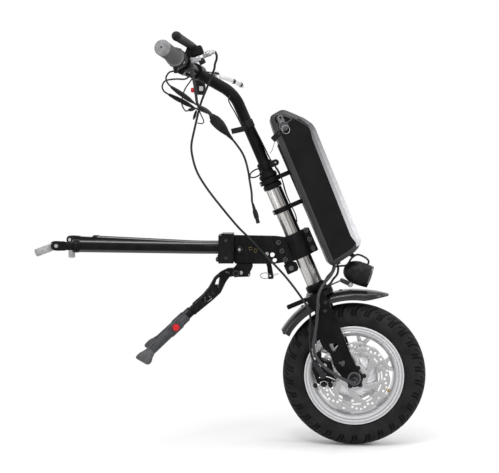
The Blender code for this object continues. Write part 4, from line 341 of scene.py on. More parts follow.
def line(points, count, sides, radius, matrix):
    """A round wire or lead on a smooth curve through its points."""
    return moved(carried(flowing(points, count), sides, radius), matrix)


def finished(name, surfaces, look, body, node="", crease=35.0, painted_light_and_tone_values=None):
    """One object from closed surfaces: joined, welded, facing outwards, smooth below the crease angle. A
    value for each point, such as how deep a groove is, goes into the attribute that its finish reads: painted
    shade in grooves and bores, painted highlights and reflections on tubes, and the grips' darker barrels."""
    points, faces = joined(surfaces)
    mesh = bpy.data.meshes.new(name)
    mesh.from_pydata(points.tolist(), [], faces)
    # These values paint shade and highlights on some pieces, and a darker barrel on the grips.
    if painted_light_and_tone_values is not None:
        layer = mesh.attributes.new("painted_light_and_tone", "FLOAT", "POINT")
        layer.data.foreach_set("value", np.asarray(painted_light_and_tone_values, float).ravel())
    work = bmesh.new()
    work.from_mesh(mesh)
    if painted_light_and_tone_values is None:
        bmesh.ops.remove_doubles(work, verts=work.verts, dist=2e-6)
    bmesh.ops.recalc_face_normals(work, faces=work.faces)
    work.to_mesh(mesh)
    work.free()
    mesh.shade_smooth()
    mesh.set_sharp_from_angle(angle=math.radians(crease))
    made = bpy.data.objects.new(name, mesh)
    bpy.context.scene.collection.objects.link(made)
    mesh.materials.append(LOOKS[look])
    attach(made, body)
    if node:
        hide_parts(node)
    return made


# Finishes.

LOOKS = {}


class Finish:
    """A procedural material: a Principled surface whose colour, roughness and bump come from
    patterns in the piece's own coordinates."""

    def __init__(self, name, colour, rough, metal=0.0, bevel=0.0, gloss=0.2):
        LOOKS[name] = made = bpy.data.materials.new(name)
        made.use_nodes = True
        self.tree = made.node_tree
        self.skin = self.tree.nodes["Principled BSDF"]
        self.set(self.skin, **{"Base Color": (*colour, 1), "Roughness": rough, "Metallic": metal,
            "Specular IOR Level": gloss})
        self.coords = self.node("TexCoord").outputs["Object"]
        self.normal = None
        if bevel:
            edge = self.node("Bevel", Radius=bevel)
            edge.samples = 4
            self.normal = edge.outputs[0]
            self.join(self.normal, self.skin.inputs["Normal"])

    def set(self, node, **values):
        """Values of a node's unlinked inputs."""
        for name, value in values.items():
            node.inputs[name].default_value = value

    def node(self, kind, **values):
        """A new shader node with some of its inputs set."""
        made = self.tree.nodes.new("ShaderNode" + kind)
        self.set(made, **values)
        return made

    def join(self, a, b):
        """A link from an output to an input."""
        self.tree.links.new(a, b)

    def placed(self, centre=(0, 0, 0), lean=(0, 0, 0), scale=(1, 1, 1)):
        """Coordinates turned and stretched about a centre, so that a pattern follows the piece."""
        first = self.node("Mapping", Location=tuple(-c for c in centre))
        second = self.node("Mapping", Rotation=tuple(math.radians(a) for a in lean), Scale=scale)
        self.join(self.coords, first.inputs["Vector"])
        self.join(first.outputs[0], second.inputs["Vector"])
        return second.outputs[0]

    def noise(self, scale, detail, coords=None):
        """Soft noise over the piece."""
        made = self.node("TexNoise", Scale=scale, Detail=detail, Roughness=0.5)
        self.join(coords or self.coords, made.inputs["Vector"])
        return made.outputs["Fac"]

    def cells(self, scale, coords=None):
        """Distance to the nearest of many scattered points: a grain."""
        made = self.node("TexVoronoi", Scale=scale)
        self.join(coords or self.coords, made.inputs["Vector"])
        return made.outputs["Distance"]

    def rings(self, scale, coords, bend=0.0):
        """Rings round the z axis."""
        made = self.node("TexWave", Scale=scale, Distortion=bend)
        made.wave_type, made.rings_direction = "RINGS", "Z"
        self.join(coords, made.inputs["Vector"])
        return made.outputs["Fac"]

    def ranged(self, value, low, high, start=0.3, end=0.7):
        """A value that runs from low to high while another goes from start to end."""
        made = self.node("MapRange", **{"From Min": start, "From Max": end, "To Min": low, "To Max": high})
        self.join(value, made.inputs["Value"])
        return made.outputs["Result"]

    def mixed(self, value, first, second, start=0.35, end=0.65):
        """Colour that runs from one to another with a pattern."""
        ramp = self.node("ValToRGB")
        for stop, place, colour in zip(ramp.color_ramp.elements, (start, end), (first, second)):
            stop.position, stop.color = place, (*colour, 1)
        self.join(value, ramp.inputs["Fac"])
        return ramp.outputs["Color"]

    def tint(self, value, first, second, start=0.35, end=0.65):
        """Base colour that runs from one colour to another with a pattern."""
        self.join(self.mixed(value, first, second, start, end), self.skin.inputs["Base Color"])

    def painted_light_and_tone_mix(self, colour, other, low=0.0, high=1.0):
        """Base colour mixed towards another by the piece's own attribute: painted shade and painted highlights
        on some pieces, a darker barrel on the grips.
        """
        painted_light_and_tone, mix = self.node("Attribute"), self.node("MixRGB")
        painted_light_and_tone.attribute_name = "painted_light_and_tone"
        mix.inputs["Color2"].default_value = (*other, 1)
        self.join(self.ranged(painted_light_and_tone.outputs["Fac"], 0.0, 1.0, low, high), mix.inputs["Fac"])
        self.join(colour, mix.inputs["Color1"])
        self.join(mix.outputs["Color"], self.skin.inputs["Base Color"])

    def sheen(self, value, low, high, start=0.3, end=0.7):
        """Roughness that runs between two values with a pattern."""
        self.join(self.ranged(value, low, high, start, end), self.skin.inputs["Roughness"])

    def relief(self, value, strength, depth):
        """Bump from a pattern: its depth in metres."""
        made = self.node("Bump", Strength=strength, Distance=depth)
        self.join(value, made.inputs["Height"])
        if self.normal:
            self.join(self.normal, made.inputs["Normal"])
        self.normal = made.outputs["Normal"]
        self.join(self.normal, self.skin.inputs["Normal"])


def lift(colour, k):
    """A colour times a factor, held below 1."""
    return tuple(min(1.0, c * k) for c in colour)


ON_COLUMN = (0, LEAN, 0)  # turns world coordinates into the column's
ON_WHEEL = (-90, 0, STEERED)  # turns world coordinates so that z runs along the wheel's axle
LENS_AT, ON_LENS = (0.2906, -0.01, 0.3797), (0, 19, 5)


def plain_finish(name, colour, surface, tint, sheen, relief=None, coords=None):
    """One finish: surface is (roughness, metal, bevel, gloss), tint (noise scale, detail, two colours or
    factors of the colour), sheen (scale, detail, two roughnesses) and relief (scale, detail, strength,
    depth), where a detail of 0 stands for cells."""
    made = Finish(name, colour, *surface)
    first, second = (c if isinstance(c, tuple) else lift(colour, c) for c in tint[2:])
    made.tint(made.noise(*tint[:2], made.placed(*coords) if coords else None), first, second)
    made.sheen(made.noise(*sheen[:2]), *sheen[2:])
    if relief:
        pattern = made.noise(*relief[:2]) if relief[1] else made.cells(relief[0])
        made.relief(pattern, *relief[2:])


def make_finishes(look):
    """Every finish on the attachment, from the settings' colours."""
    paint, silver, rubber, battery = (tuple(c) for c in (look.paint, look.silver, look.rubber, look.battery))
    shell, grey = (0.012, 0.012, 0.013), (0.075, 0.075, 0.079)
    for tail, edge in (("", 0.0), ("_edge", 1.0)):
        plain_finish("powder_coat" + tail, paint, (0.3, 0.0, 0.0007 * edge, 0.07), (45, 5, 0.6, 1.2),
            (110, 4, 0.26, 0.42), (1500, 2, 0.1, 0.0002))
        plain_finish("moulded" + tail, shell, (0.42, 0.0, 0.0005 * edge, 0.12),
            (60, 4, (0.007, 0.007, 0.0075), (0.014, 0.014, 0.015)), (140, 3, 0.34, 0.52),
            (3200, 2, 0.18, 0.00015))
    along_column = (WHEEL_AT, ON_COLUMN, (1, 1, 0.15))
    plain_finish("anodised_edge", paint, (0.4, 0.0, 0.0007, 0.06), (160, 6, 0.8, 1.7), (70, 3, 0.33, 0.5),
        (2600, 2, 0.12, 0.00015), along_column)
    plain_finish("fender_gloss", (0.006, 0.006, 0.007), (0.18, 0.0, 0.0, 0.3),
        (30, 5, (0.008, 0.008, 0.009), (0.018, 0.018, 0.02)), (80, 4, 0.14, 0.28), (240, 3, 0.05, 0.0003))
    plain_finish("battery_skin", battery, (0.4, 0.0, 0.0, 0.5), (22, 6, 0.6, 0.95), (55, 4, 0.4, 0.56),
        (1500, 0, 0.22, 0.00025))
    # Darker copy of the battery plastic for the flat sides: painted shade.
    plain_finish("battery_panel_painted_shade", lift(battery, 0.25), (0.4, 0.0, 0.0, 0.08), (22, 6, 0.88, 1.36),
        (55, 4, 0.36, 0.5), (1500, 0, 0.22, 0.00025))
    # Lighter copy of the battery plastic for the pocket's rim: painted highlight.
    plain_finish("battery_rim_painted_highlight", lift(battery, 2.6), (0.34, 0.0, 0.0, 0.5),
        (60, 4, lift(battery, 2.2), lift(battery, 3.2)), (90, 3, 0.28, 0.42))
    # Near-black for hollows: painted shade.
    plain_finish("painted_shade_black", (0.003, 0.003, 0.003), (0.6, 0.0, 0.0, 0.1),
        (60, 4, (0.002, 0.002, 0.002), (0.005, 0.005, 0.005)), (90, 3, 0.5, 0.7))
    plain_finish("stand_rubber", grey, (0.66,), (60, 5, (0.055, 0.055, 0.058), (0.1, 0.1, 0.104)),
        (60, 3, 0.55, 0.75), (1200, 3, 0.25, 0.0002))
    plain_finish("soft_rubber", lift(rubber, 0.9), (0.7, 0.0, 0.0006),
        (70, 5, lift(rubber, 0.7), lift(rubber, 1.3)), (60, 3, 0.6, 0.8), (1400, 3, 0.25, 0.0002))
    plain_finish("peg_sleeve", tuple(look.peg), (0.62,), (90, 5, (0.25, 0.25, 0.255), (0.38, 0.38, 0.385)),
        (110, 3, 0.52, 0.7), (900, 3, 0.2, 0.0002))
    plain_finish("cast_silver", lift(silver, 1.05), (0.36, 0.85),
        (260, 4, lift(silver, 0.97), lift(silver, 1.08)), (75, 4, 0.3, 0.46), (1300, 3, 0.16, 0.0002))
    plain_finish("stand_metal", tuple(look.stand), (0.44, 0.5, 0.0007), (60, 6, 0.75, 1.35),
        (90, 4, 0.36, 0.54), (1500, 3, 0.18, 0.0002))
    plain_finish("bronze", (0.16, 0.115, 0.055), (0.4, 0.9), (130, 4, 0.8, 1.3), (180, 3, 0.3, 0.5))
    for name, colour, low, high in (("bright_steel", (0.62, 0.62, 0.63), 0.16, 0.32),
            ("dull_steel", (0.34, 0.34, 0.35), 0.3, 0.48), ("black_steel", (0.035, 0.035, 0.038), 0.26, 0.44),
            ("dark_steel", (0.1, 0.1, 0.105), 0.3, 0.48), ("brass", (0.62, 0.45, 0.2), 0.26, 0.42)):
        plain_finish(name, colour, ((low + high) / 2, 0.95, 0.0003), (130, 6, 0.85, 1.12), (180, 4, low, high),
            (2200, 2, 0.08, 0.0001))
    for name, colour in (("sheath", (0.014, 0.014, 0.015)), ("grey_sheath", (0.04, 0.04, 0.043)),
            ("pale_plastic", (0.5, 0.5, 0.49)), ("signal_red", tuple(look.signal))):
        plain_finish(name, colour, (0.42,), (140, 4, 0.85, 1.2), (210, 3, 0.34, 0.5), (1700, 2, 0.14, 0.00015))
    make_painted_light_and_tone_finishes(paint, silver, rubber, tuple(look.grip))
    make_patterned_finishes(silver)


def make_painted_light_and_tone_finishes(paint, silver, rubber, grey):
    """Finishes that read a value on each point of a piece: painted shade in the tread's grooves, the grips'
    darker barrels, and painted highlights and reflections along the tubes.
    """
    tube = Finish("arm_coat_painted_highlights", paint, 0.26, 0.0, 0.0, 0.07)
    # The arm tubes' black turns pale grey along painted highlight lines.
    tube.painted_light_and_tone_mix(tube.mixed(tube.noise(45, 5), lift(paint, 0.7), lift(paint, 1.4)), (0.34, 0.34, 0.35))
    tube.sheen(tube.noise(110, 4), 0.22, 0.36)

    tyre = Finish("tyre_tread", rubber, 0.62, 0.0, 0.0, 0.12)
    # The grooves darken towards near-black with their depth: painted shade.
    tyre.painted_light_and_tone_mix(tyre.mixed(tyre.noise(34, 8), lift(rubber, 0.7), lift(rubber, 2.0), 0.3, 0.75),
        lift(rubber, 0.12), 0.15, 0.85)
    tyre.sheen(tyre.noise(26, 5), 0.5, 0.72)
    tyre.relief(tyre.noise(1100, 4), 0.3, 0.0003)

    grip = Finish("grip_rubber", grey, 0.72)
    grip.painted_light_and_tone_mix(grip.mixed(grip.noise(120, 6), lift(grey, 0.85), lift(grey, 1.3)), lift(grey, 0.42))
    grip.sheen(grip.noise(200, 3), 0.62, 0.82)
    grip.relief(grip.cells(900), 0.3, 0.0003)

    brushed = Finish("brushed_tube_painted_reflection", silver, 0.3, 1.0)
    fine = brushed.noise(520, 5, brushed.placed(WHEEL_AT, ON_COLUMN, (1, 1, 0.02)))
    # Where the piece's value rises the metal turns near-black: painted dark reflections, and painted shade in
    # the bore.
    brushed.painted_light_and_tone_mix(brushed.mixed(fine, lift(silver, 0.95), (0.72, 0.69, 0.655)), (0.03, 0.026, 0.023))
    brushed.sheen(fine, 0.24, 0.4)
    brushed.relief(fine, 0.1, 0.0001)


def make_patterned_finishes(silver):
    """Finishes whose pattern has a place and a direction: the strips' painted highlight, disc, braid, lens and
    reflector.
    """
    strip = Finish("battery_strip_painted_highlight", (0.3, 0.3, 0.3), 0.3)
    height = strip.node("SeparateXYZ")
    strip.join(strip.placed(WHEEL_AT, ON_COLUMN), height.inputs[0])
    # The strip pales from near-black at the top to light grey at the bottom: a painted highlight.
    rise = strip.ranged(height.outputs["Z"], 1.0, 0.0, 0.2, 0.58)
    strip.tint(rise, (0.075, 0.076, 0.082), (0.52, 0.52, 0.54), 0.05, 0.75)
    strip.sheen(strip.noise(90, 3), 0.24, 0.4)

    disc = Finish("disc_face", lift(silver, 0.66), 0.26, 1.0)
    lines = disc.rings(320, disc.placed(WHEEL_AT, ON_WHEEL), 0.6)
    disc.tint(lines, lift(silver, 0.6), lift(silver, 0.74), 0.2, 0.8)
    disc.sheen(lines, 0.2, 0.36, 0.0, 1.0)
    disc.relief(lines, 0.04, 0.0001)

    braid = Finish("braid", (0.022, 0.022, 0.024), 0.62)
    weave = braid.cells(900, braid.placed(WHEEL_AT, (40, 23.5, 0), (1, 1, 0.5)))
    braid.tint(weave, (0.012, 0.012, 0.013), (0.04, 0.04, 0.043), 0.1, 0.6)
    braid.sheen(weave, 0.5, 0.74, 0.0, 0.7)
    braid.relief(weave, 0.6, 0.0004)

    lens = Finish("lens_clear", (0.9, 0.92, 0.93), 0.06)
    lens.skin.inputs["Transmission Weight"].default_value = 0.9
    lens.skin.inputs["IOR"].default_value = 1.46
    flutes = lens.rings(120, lens.placed(LENS_AT, ON_LENS), 0.2)
    lens.sheen(flutes, 0.04, 0.12, 0.0, 1.0)
    lens.relief(flutes, 0.3, 0.0004)

    bowl = Finish("reflector", (0.75, 0.75, 0.76), 0.12, 1.0)
    bowl.sheen(bowl.noise(160, 3), 0.08, 0.2)
    bowl.relief(bowl.cells(160), 0.25, 0.0006)


CAD_LOOKS = {"powder_coat_edge": ("fork_crown", "fork_leg_near", "fork_leg_far", "stem_tube", "handlebar",
    "arm_tube_near", "arm_tube_far", "arm_insert_near", "arm_insert_far", "release_lever"),
    "anodised_edge": ("arm_carrier", "stand_mount", "stand_leg_near", "stand_leg_far", "coupling_plate_near",
    "coupling_plate_far", "wire_anchor", "headset_lower", "headset_upper", "battery_cradle", "stem_collar",
    "brake_calliper", "brake_perch_near", "brake_perch_far"),
    "moulded_edge": ("throttle_housing", "switch_pod", "lead_junction", "cord_plug", "lamp_shell"),
    "fender_gloss": ("fender",),
    "battery_skin": ("battery_case",),
    "tyre_tread": ("tyre",),
    "soft_rubber": ("stand_foot_near", "stand_foot_far", "brake_lever_near"),
    "grip_rubber": ("fixed_grip", "throttle_grip"),
    "peg_sleeve": ("support_peg_near", "support_peg_far"),
    "brushed_tube_painted_reflection": ("head_tube",),
    "cast_silver": ("rim", "motor_cover"),
    "disc_face": ("brake_disc",),
    "bright_steel": ("battery_key", "brake_lever_far", "release_ring"),
    "black_steel": ("axle", "tilt_bolt", "lamp_bracket", "calliper_arm"),
    "stand_metal": ("stand_tube_near", "stand_tube_far"),
    "signal_red": ("stand_button_near", "stand_button_far", "horn_button"),
    "lens_clear": ("lamp_lens",),
    "sheath": ("brake_cable", "motor_cable", "throttle_lead", "hanging_cord"),}


def dress_frame():
    """The frame's own pieces take their finishes."""
    for look, names in CAD_LOOKS.items():
        for name in names:
            mesh = NODES[name].data
            mesh.materials.clear()
            mesh.materials.append(LOOKS[look])


# Stage.

def make_floor(look):
    """A pale floor that fades into the white surround with distance, so that only the contact
    shadow near the attachment shows."""
    floor = Finish("floor", tuple(look.floor), 0.55)
    soft = floor.noise(3, 4)
    floor.tint(soft, lift(look.floor, 0.985), tuple(look.floor))
    floor.sheen(soft, 0.5, 0.6)
    away = floor.node("VectorMath")
    away.operation = "LENGTH"
    floor.join(floor.placed((0.2, 0.0, 0.0)), away.inputs[0])
    fade = floor.ranged(away.outputs["Value"], 0.0, 1.0, look.shadow_reach * 0.35, look.shadow_reach)
    glow = floor.node("Emission", Color=(1, 1, 1, 1))
    blend = floor.node("MixShader")
    for source, target in zip((fade, floor.skin.outputs[0], glow.outputs[0]), blend.inputs):
        floor.join(source, target)
    floor.join(blend.outputs[0], floor.tree.nodes["Material Output"].inputs["Surface"])
    far, low = 9.0, -0.0005
    corners = [(-far, -far, low), (far, -far, low), (far, far, low), (-far, far, low)]
    mesh = bpy.data.meshes.new("floor")
    mesh.from_pydata(corners, [], [(0, 1, 2, 3)])
    mesh.materials.append(LOOKS["floor"])
    ground = bpy.data.objects.new("floor", mesh)
    bpy.context.scene.collection.objects.link(ground)


def make_surround(look):
    """White to the camera, to reflections and through glass, and dimmer as a source of light."""
    world = bpy.data.worlds.new("surround")
    world.use_nodes = True
    tree = world.node_tree
    tree.nodes.clear()
    new = lambda kind: tree.nodes.new("ShaderNode" + kind)
    path, out, mix, first, second = (new(k) for k in ("LightPath", "OutputWorld", "MixShader", "Math", "Math"))
    first.operation = second.operation = "MAXIMUM"
    seen, dim = new("Background"), new("Background")
    for each, strength in ((seen, 1.0), (dim, look.fill)):
        each.inputs["Color"].default_value = (1, 1, 1, 1)
        each.inputs["Strength"].default_value = strength
    for source, target in ((path.outputs["Is Camera Ray"], first.inputs[0]),
            (path.outputs["Is Glossy Ray"], first.inputs[1]), (first.outputs[0], second.inputs[0]),
            (path.outputs["Is Transmission Ray"], second.inputs[1]), (second.outputs[0], mix.inputs[0]),
            (dim.outputs[0], mix.inputs[1]), (seen.outputs[0], mix.inputs[2]),
            (mix.outputs[0], out.inputs["Surface"])):
        tree.links.new(source, target)
    bpy.context.scene.world = world


def add_lamp(name, at, toward, size, watts):
    """A soft square light at a point, facing another."""
    lamp = bpy.data.lights.new(name, "AREA")
    lamp.shape, lamp.size, lamp.size_y, lamp.energy = "RECTANGLE", size[0], size[1], watts
    made = bpy.data.objects.new(name, lamp)
    made.location = at
    made.rotation_euler = (Vector(toward) - Vector(at)).to_track_quat("-Z", "Y").to_euler()
    bpy.context.scene.collection.objects.link(made)


def add_camera(look):
    """The photo's view: level with the battery, square to the middle plane, looking 2 degrees down."""
    lens = bpy.data.cameras.new("photo_view")
    lens.sensor_width, lens.lens = 36.0, 74.0
    lens.clip_start, lens.clip_end = 0.05, 60.0
    made = bpy.data.objects.new("photo_view", lens)
    made.location = (UNDER_COLUMN, -look.distance, look.eye_height)
    made.rotation_euler = (math.radians(88.0), 0.0, 0.0)
    bpy.context.scene.collection.objects.link(made)
    bpy.context.scene.camera = made


def make_stage(look):
    """Floor, surround, the soft lamps (name, place, target, size, watts) and the camera."""
    make_floor(look)
    make_surround(look)
    for name, at, toward, size, watts in (("key", (-0.5, -1.3, 2.4), (0.1, 0, 0.45), (1.2, 0.8), 20),
            ("strip", (0.5, -0.5, 2.3), (0.0, 0, 0.4), (2.4, 0.14), 15),
            ("side", (2.1, -1.0, 1.0), (0.1, 0, 0.4), (0.3, 1.4), 12),
            ("rear", (-1.9, -0.9, 0.9), (0.0, 0, 0.4), (0.3, 1.2), 8),
            ("nose", (2.6, -0.1, 1.45), (0.1, 0, 0.6), (0.6, 0.5), 16),
            ("front", (0.1, -2.9, 0.5), (0.1, 0, 0.4), (1.6, 0.8), 5)):
        add_lamp(name, at, toward, size, watts * look.key)
    add_camera(look)
    bpy.context.scene.view_settings.view_transform = "Standard"


# Wheel.

WHEEL = STEER @ SIDEWAYS  # the axle's frame: z to the near side


def smooth_step(value, low, high):
    """0 below low, 1 above high and 3t^2 - 2t^3 between."""
    t = np.clip((value - low) / (high - low), 0, 1)
    return t * t * (3 - 2 * t)


def tread_depth(around, across, look):
    """How deep the tread is sunk at an angle round the wheel and a place across it (-1 to 1 from shoulder
    to shoulder): curved grooves slant away from a zigzag in the middle, with a sipe between two of them
    and wider notches between the shoulder blocks."""
    side = np.sign(across)
    s = np.abs(across)
    pitch = look.tread_pitches * around / TAU + 0.25 * side
    lean = pitch - 1.25 * s + 0.5 * s ** 3
    wave = np.abs((lean + 0.5) % 1.0 - 0.5)
    groove = (1 - smooth_step(wave, 0.055, 0.11)) * smooth_step(s, 0.1, 0.18) * (1 - smooth_step(s, 0.93, 1.0))
    sipe = np.abs((lean + 0.02 + 0.16 * np.sin(6 * s)) % 1.0 - 0.5)
    sipe = (1 - smooth_step(sipe, 0.03, 0.075)) * smooth_step(s, 0.3, 0.38) * (1 - smooth_step(s, 0.66, 0.74))
    notch = np.abs((lean + 0.26) % 1.0 - 0.5)
    notch = (1 - smooth_step(notch, 0.05, 0.11)) * smooth_step(s, 0.52, 0.62) * (1 - smooth_step(s, 0.93, 1.0))
    middle = np.abs(across - 0.035 * np.sin(look.tread_pitches * around))
    middle = 1 - smooth_step(middle, 0.018, 0.05)
    return look.tread_depth * np.maximum.reduce([groove, 0.7 * sipe, 0.9 * notch, 0.8 * middle])


def tyre_surface(look):
    """The tyre: a smooth section carried round the axle, r and y of the section less the tread's depth
    along the section's outward normal, plus fine rings on the side walls."""
    half = tenths((0, 1600), (85, 1592), (165, 1566), (232, 1518), (282, 1440), (308, 1352), (305, 1262),
        (288, 1190), (262, 1140), (235, 1122), (208, 1112), (206, 1046))
    outer = flowing([(-y, r) for y, r in half[:0:-1]] + half, 90)
    inner = np.array([(0.012, 0.1046), (0.0, 0.1046), (-0.012, 0.1046)])
    section = np.vstack([outer, inner])
    ahead = np.roll(section, -1, 0) - np.roll(section, 1, 0)
    ahead /= np.linalg.norm(ahead, axis=1, keepdims=True)
    normal = np.stack([-ahead[:, 1], ahead[:, 0]], -1)
    normal *= np.sign(np.sum(normal * (section - (0, 0.13)), axis=1, keepdims=True))
    walked = np.concatenate([[0], np.cumsum(np.linalg.norm(np.diff(section, axis=0), axis=1))])
    place = (walked - walked[44:46].mean()) / 0.046
    t = TAU * np.arange(900) / 900
    deep = tread_depth(t[None, :], np.where(np.abs(place) < 1, place, 1.0)[:, None], look)
    s = np.abs(place)[:, None]
    rib = 0.0005 * (np.exp(-((s - 1.13) / 0.02) ** 2) + np.exp(-((s - 1.3) / 0.02) ** 2))
    rib = np.where((s > 1.04) & (s < 1.42), rib, 0.0)
    out = rib - deep
    y = section[:, :1] + normal[:, :1] * out
    r = section[:, 1:] + normal[:, 1:] * out
    grid = np.stack([r * np.cos(t), r * np.sin(t), y + 0 * t], -1)
    return moved(skin(grid.transpose(1, 0, 2), closed=True), WHEEL), (deep / look.tread_depth).T


def make_tyre(look):
    """The tyre; the depth of its tread goes to its finish, which darkens the grooves as painted shade."""
    tyre, painted_light_and_tone = tyre_surface(look)
    finished("tyre_with_tread", [tyre], "tyre_tread", "wheel", "tyre", crease=50, painted_light_and_tone_values=painted_light_and_tone)


def rim_profile():
    """Half section of the rim's barrel in (radius, side): stepped flange bands on both sides."""
    near = tenths((1046, 206), (1108, 212), (1116, 235), (1108, 250), (1080, 252), (1072, 241), (1052, 240),
        (1046, 247), (1012, 246), (1004, 233), (988, 232), (980, 238), (932, 224), (898, 205), (886, 180),
        (874, 120))
    return near + [(r, -y) for r, y in near[::-1]]


def spoke_outline(middle):
    """A spoke that widens and forks into two toes at the rim, with a small window between the toes."""
    c, s = math.cos(middle), math.sin(middle)
    flat = np.array(tenths((500, -125), (620, -98), (720, -92), (800, -135), (905, -195), (905, 195),
        (800, 135), (720, 92), (620, 98), (500, 125)))
    hole = np.array([(0.0748, 0.0), (0.0862, -0.009), (0.0862, 0.009)])
    turned_by = np.array([[c, s], [-s, c]])
    return softened(flat, 0.004, 4) @ turned_by, softened(hole, 0.0022, 4) @ turned_by


def make_rim_and_cover(look):
    """Rim barrel, six spokes and the far hub shell in one casting, the ribbed cover, and dark lines of painted
    shade in the grooves.
    """
    parts = [turned(rim_profile(), 180, closed=True)]
    for k in range(6):
        outline, hole = spoke_outline(math.radians(52.2 + 60.0 * k))
        parts.append(plate(outline, -0.0068, 0.0068, 0.0016, [hole]))
    far = tenths((530, 260), (540, 250), (540, -240), (525, -262), (470, -278), (440, -292))
    far += tenths((400, -300), (380, -296), (300, -312), (285, -306), (200, -322), (125, -322))
    parts.append(turned([(0.0063, 0.026)] + far + [(0.0063, -0.032)], 96, closed=True))
    finished("rim_with_spokes", [moved(part, WHEEL) for part in parts], "cast_silver", "wheel", "rim",
        crease=30)

    finished("motor_cover_ribbed", [cover_surface(look)], "cast_silver", "wheel", "motor_cover", crease=42)
    # Dark rings in the flange grooves: painted shade.
    rolled = [moved(painted_groove_shade(r, y), WHEEL) for r, y in ((0.1062, 0.024), (0.0996, 0.0232))]
    finished("rim_groove_painted_shade", rolled, "dull_steel", "wheel")


def painted_groove_shade(radius, side):
    """A thin dark ring at the bottom of a flange groove: painted shade."""
    low, high = side - 0.0004, side + 0.00025
    outer, inner = radius + 0.0005, radius - 0.0005
    return turned([(outer, low), (outer, high), (inner, high), (inner, low)], 180, closed=True)


def cover_surface(look):
    """Domed motor cover: height = base + bulge sin(share pi/2) + ribs, where the ribs are a power of a
    cosine of (ribs x angle + twist x share) and die out at both ends of the dome."""
    r = np.concatenate([[0.0063, 0.052], np.linspace(0.0522, 0.029, 44), [0.0285, 0.0063]])
    t = TAU * np.arange(288) / 288
    share = np.clip((0.052 - r) / 0.022, 0, 1)
    dome = 0.029 + 0.0058 * np.sin(share * math.pi / 2)
    ridge = np.cos(look.cover_ribs * t[None, :] + 5.0 * share[:, None])
    height = dome[:, None] + 0.0016 * np.clip(ridge, 0, 1) ** 1.5 * np.sin(share * math.pi)[:, None] ** 0.7
    height[0], height[1] = 0.0263, 0.0263
    height[2] = 0.0285
    height[-2:] = 0.0382
    grid = np.stack([r[:, None] * np.cos(t), r[:, None] * np.sin(t), height], -1)
    return moved(skin(grid, closed=True), WHEEL)


def disc_outline():
    """Edge of the disc: radius = 78.6 mm + 1.3 mm sign(w) |w|^0.6, where w is a cosine of twelve waves."""
    t = TAU * np.arange(288) / 288
    wave = np.cos(12 * t)
    r = 0.0786 + 0.0013 * np.sign(wave) * np.abs(wave) ** 0.6
    return np.stack([r * np.cos(t), r * np.sin(t)], -1)


def arc_band(first, last, inner, outer, steps):
    """Outline of a piece of a ring between two angles at each of two radii."""
    a = np.linspace(first[0], first[1], steps)
    b = np.linspace(last[1], last[0], steps)
    return np.vstack([inner * np.stack([np.cos(a), np.sin(a)], -1),
        outer * np.stack([np.cos(b), np.sin(b)], -1)])


def make_disc(look):
    """Brake disc with its windows, slots and holes, and six bolts on washers."""
    holes = [circle((0, 0), 0.0085, 36)]
    for slots, first, last, inner, outer, steps, soft in ((6, (0.1, 0.8), (0.5, 1.18), 0.031, 0.056, 10, 0.003),
            (12, (0.03, 0.36), (0.06, 0.39), 0.0595, 0.0625, 7, 0.0012)):
        for start in TAU * np.arange(slots) / slots:
            band = arc_band((start + first[0], start + first[1]), (start + last[0], start + last[1]), inner,
                outer, steps)
            holes.append(softened(band, soft, 3))
    count = look.disc_holes
    for k in range(count):
        a = TAU * (k + 0.5) / count
        r = (0.0674, 0.071, 0.074, 0.071)[k % 4]
        holes.append(circle((r * math.cos(a), r * math.sin(a)), 0.0028, 14))
    finished("brake_disc_drilled", [plate(disc_outline(), 0.0385, 0.0405, 0.0003, holes, WHEEL)], "disc_face",
        "wheel", "brake_disc", crease=30)
    bolts = []
    washer = turned(tenths((0, 0), (54, 0), (54, 9), (0, 9)), 24)
    for k in range(6):
        at = WHEEL @ turn("Z", 43.5 + 60 * k) @ shift(0.022, 0, 0.04)
        bolts += [cap_bolt(0.0043, 0.0036, at), moved(washer, at)]
    finished("disc_bolts", bolts, "black_steel", "wheel")


def make_valve(look):
    """Brass valve: a stem with its hexagon and a ribbed cap, on the rim's inside, pointing to the middle."""
    at = STEER @ turn("Y", 48.9) @ shift(0.0882, -0.004, 0) @ turn("Y", -90.0)
    stem = tenths((0, -20), (42, -20), (42, 8), (26, 12), (26, 100), (0, 100))
    cap = tenths((0, 95), (34, 95), (34, 104), (30, 110), (30, 175), (22, 192), (0, 195))
    lock = tenths((0, 8), (46, 8), (46, 32), (0, 32))
    surfaces = [turned(stem, 20), turned(lock, 24, (1, 2)), turned(cap, 20)]
    finished("valve", [moved(s, at) for s in surfaces], "brass", "wheel")


# Battery.

BATTERY_HALF = 0.049  # half the case's width
BATTERY_SIDE = COLUMN @ SIDEWAYS
LOCK_AT = (0.0731, 0.57)  # (forward, up the column)
KEY_OUT, RING_OUT = 0.0521, 0.0716  # distances out of the lock's face and of the key ring


def battery_outline():
    """Side outline of the case in (forward, up the column), its corners rounded."""
    corners = tenths((450, 2505), (535, 2440), (1080, 2535), (1240, 2625), (1298, 2730), (1350, 5382),
        (1326, 5505), (1225, 5670), (1110, 5810), (860, 6065), (535, 6025), (498, 5705))
    radii = [0.006, 0.006, 0.012, 0.008, 0.01, 0.01, 0.01, 0.014, 0.014, 0.01, 0.008, 0.012]
    return softened(corners, radii, 6)


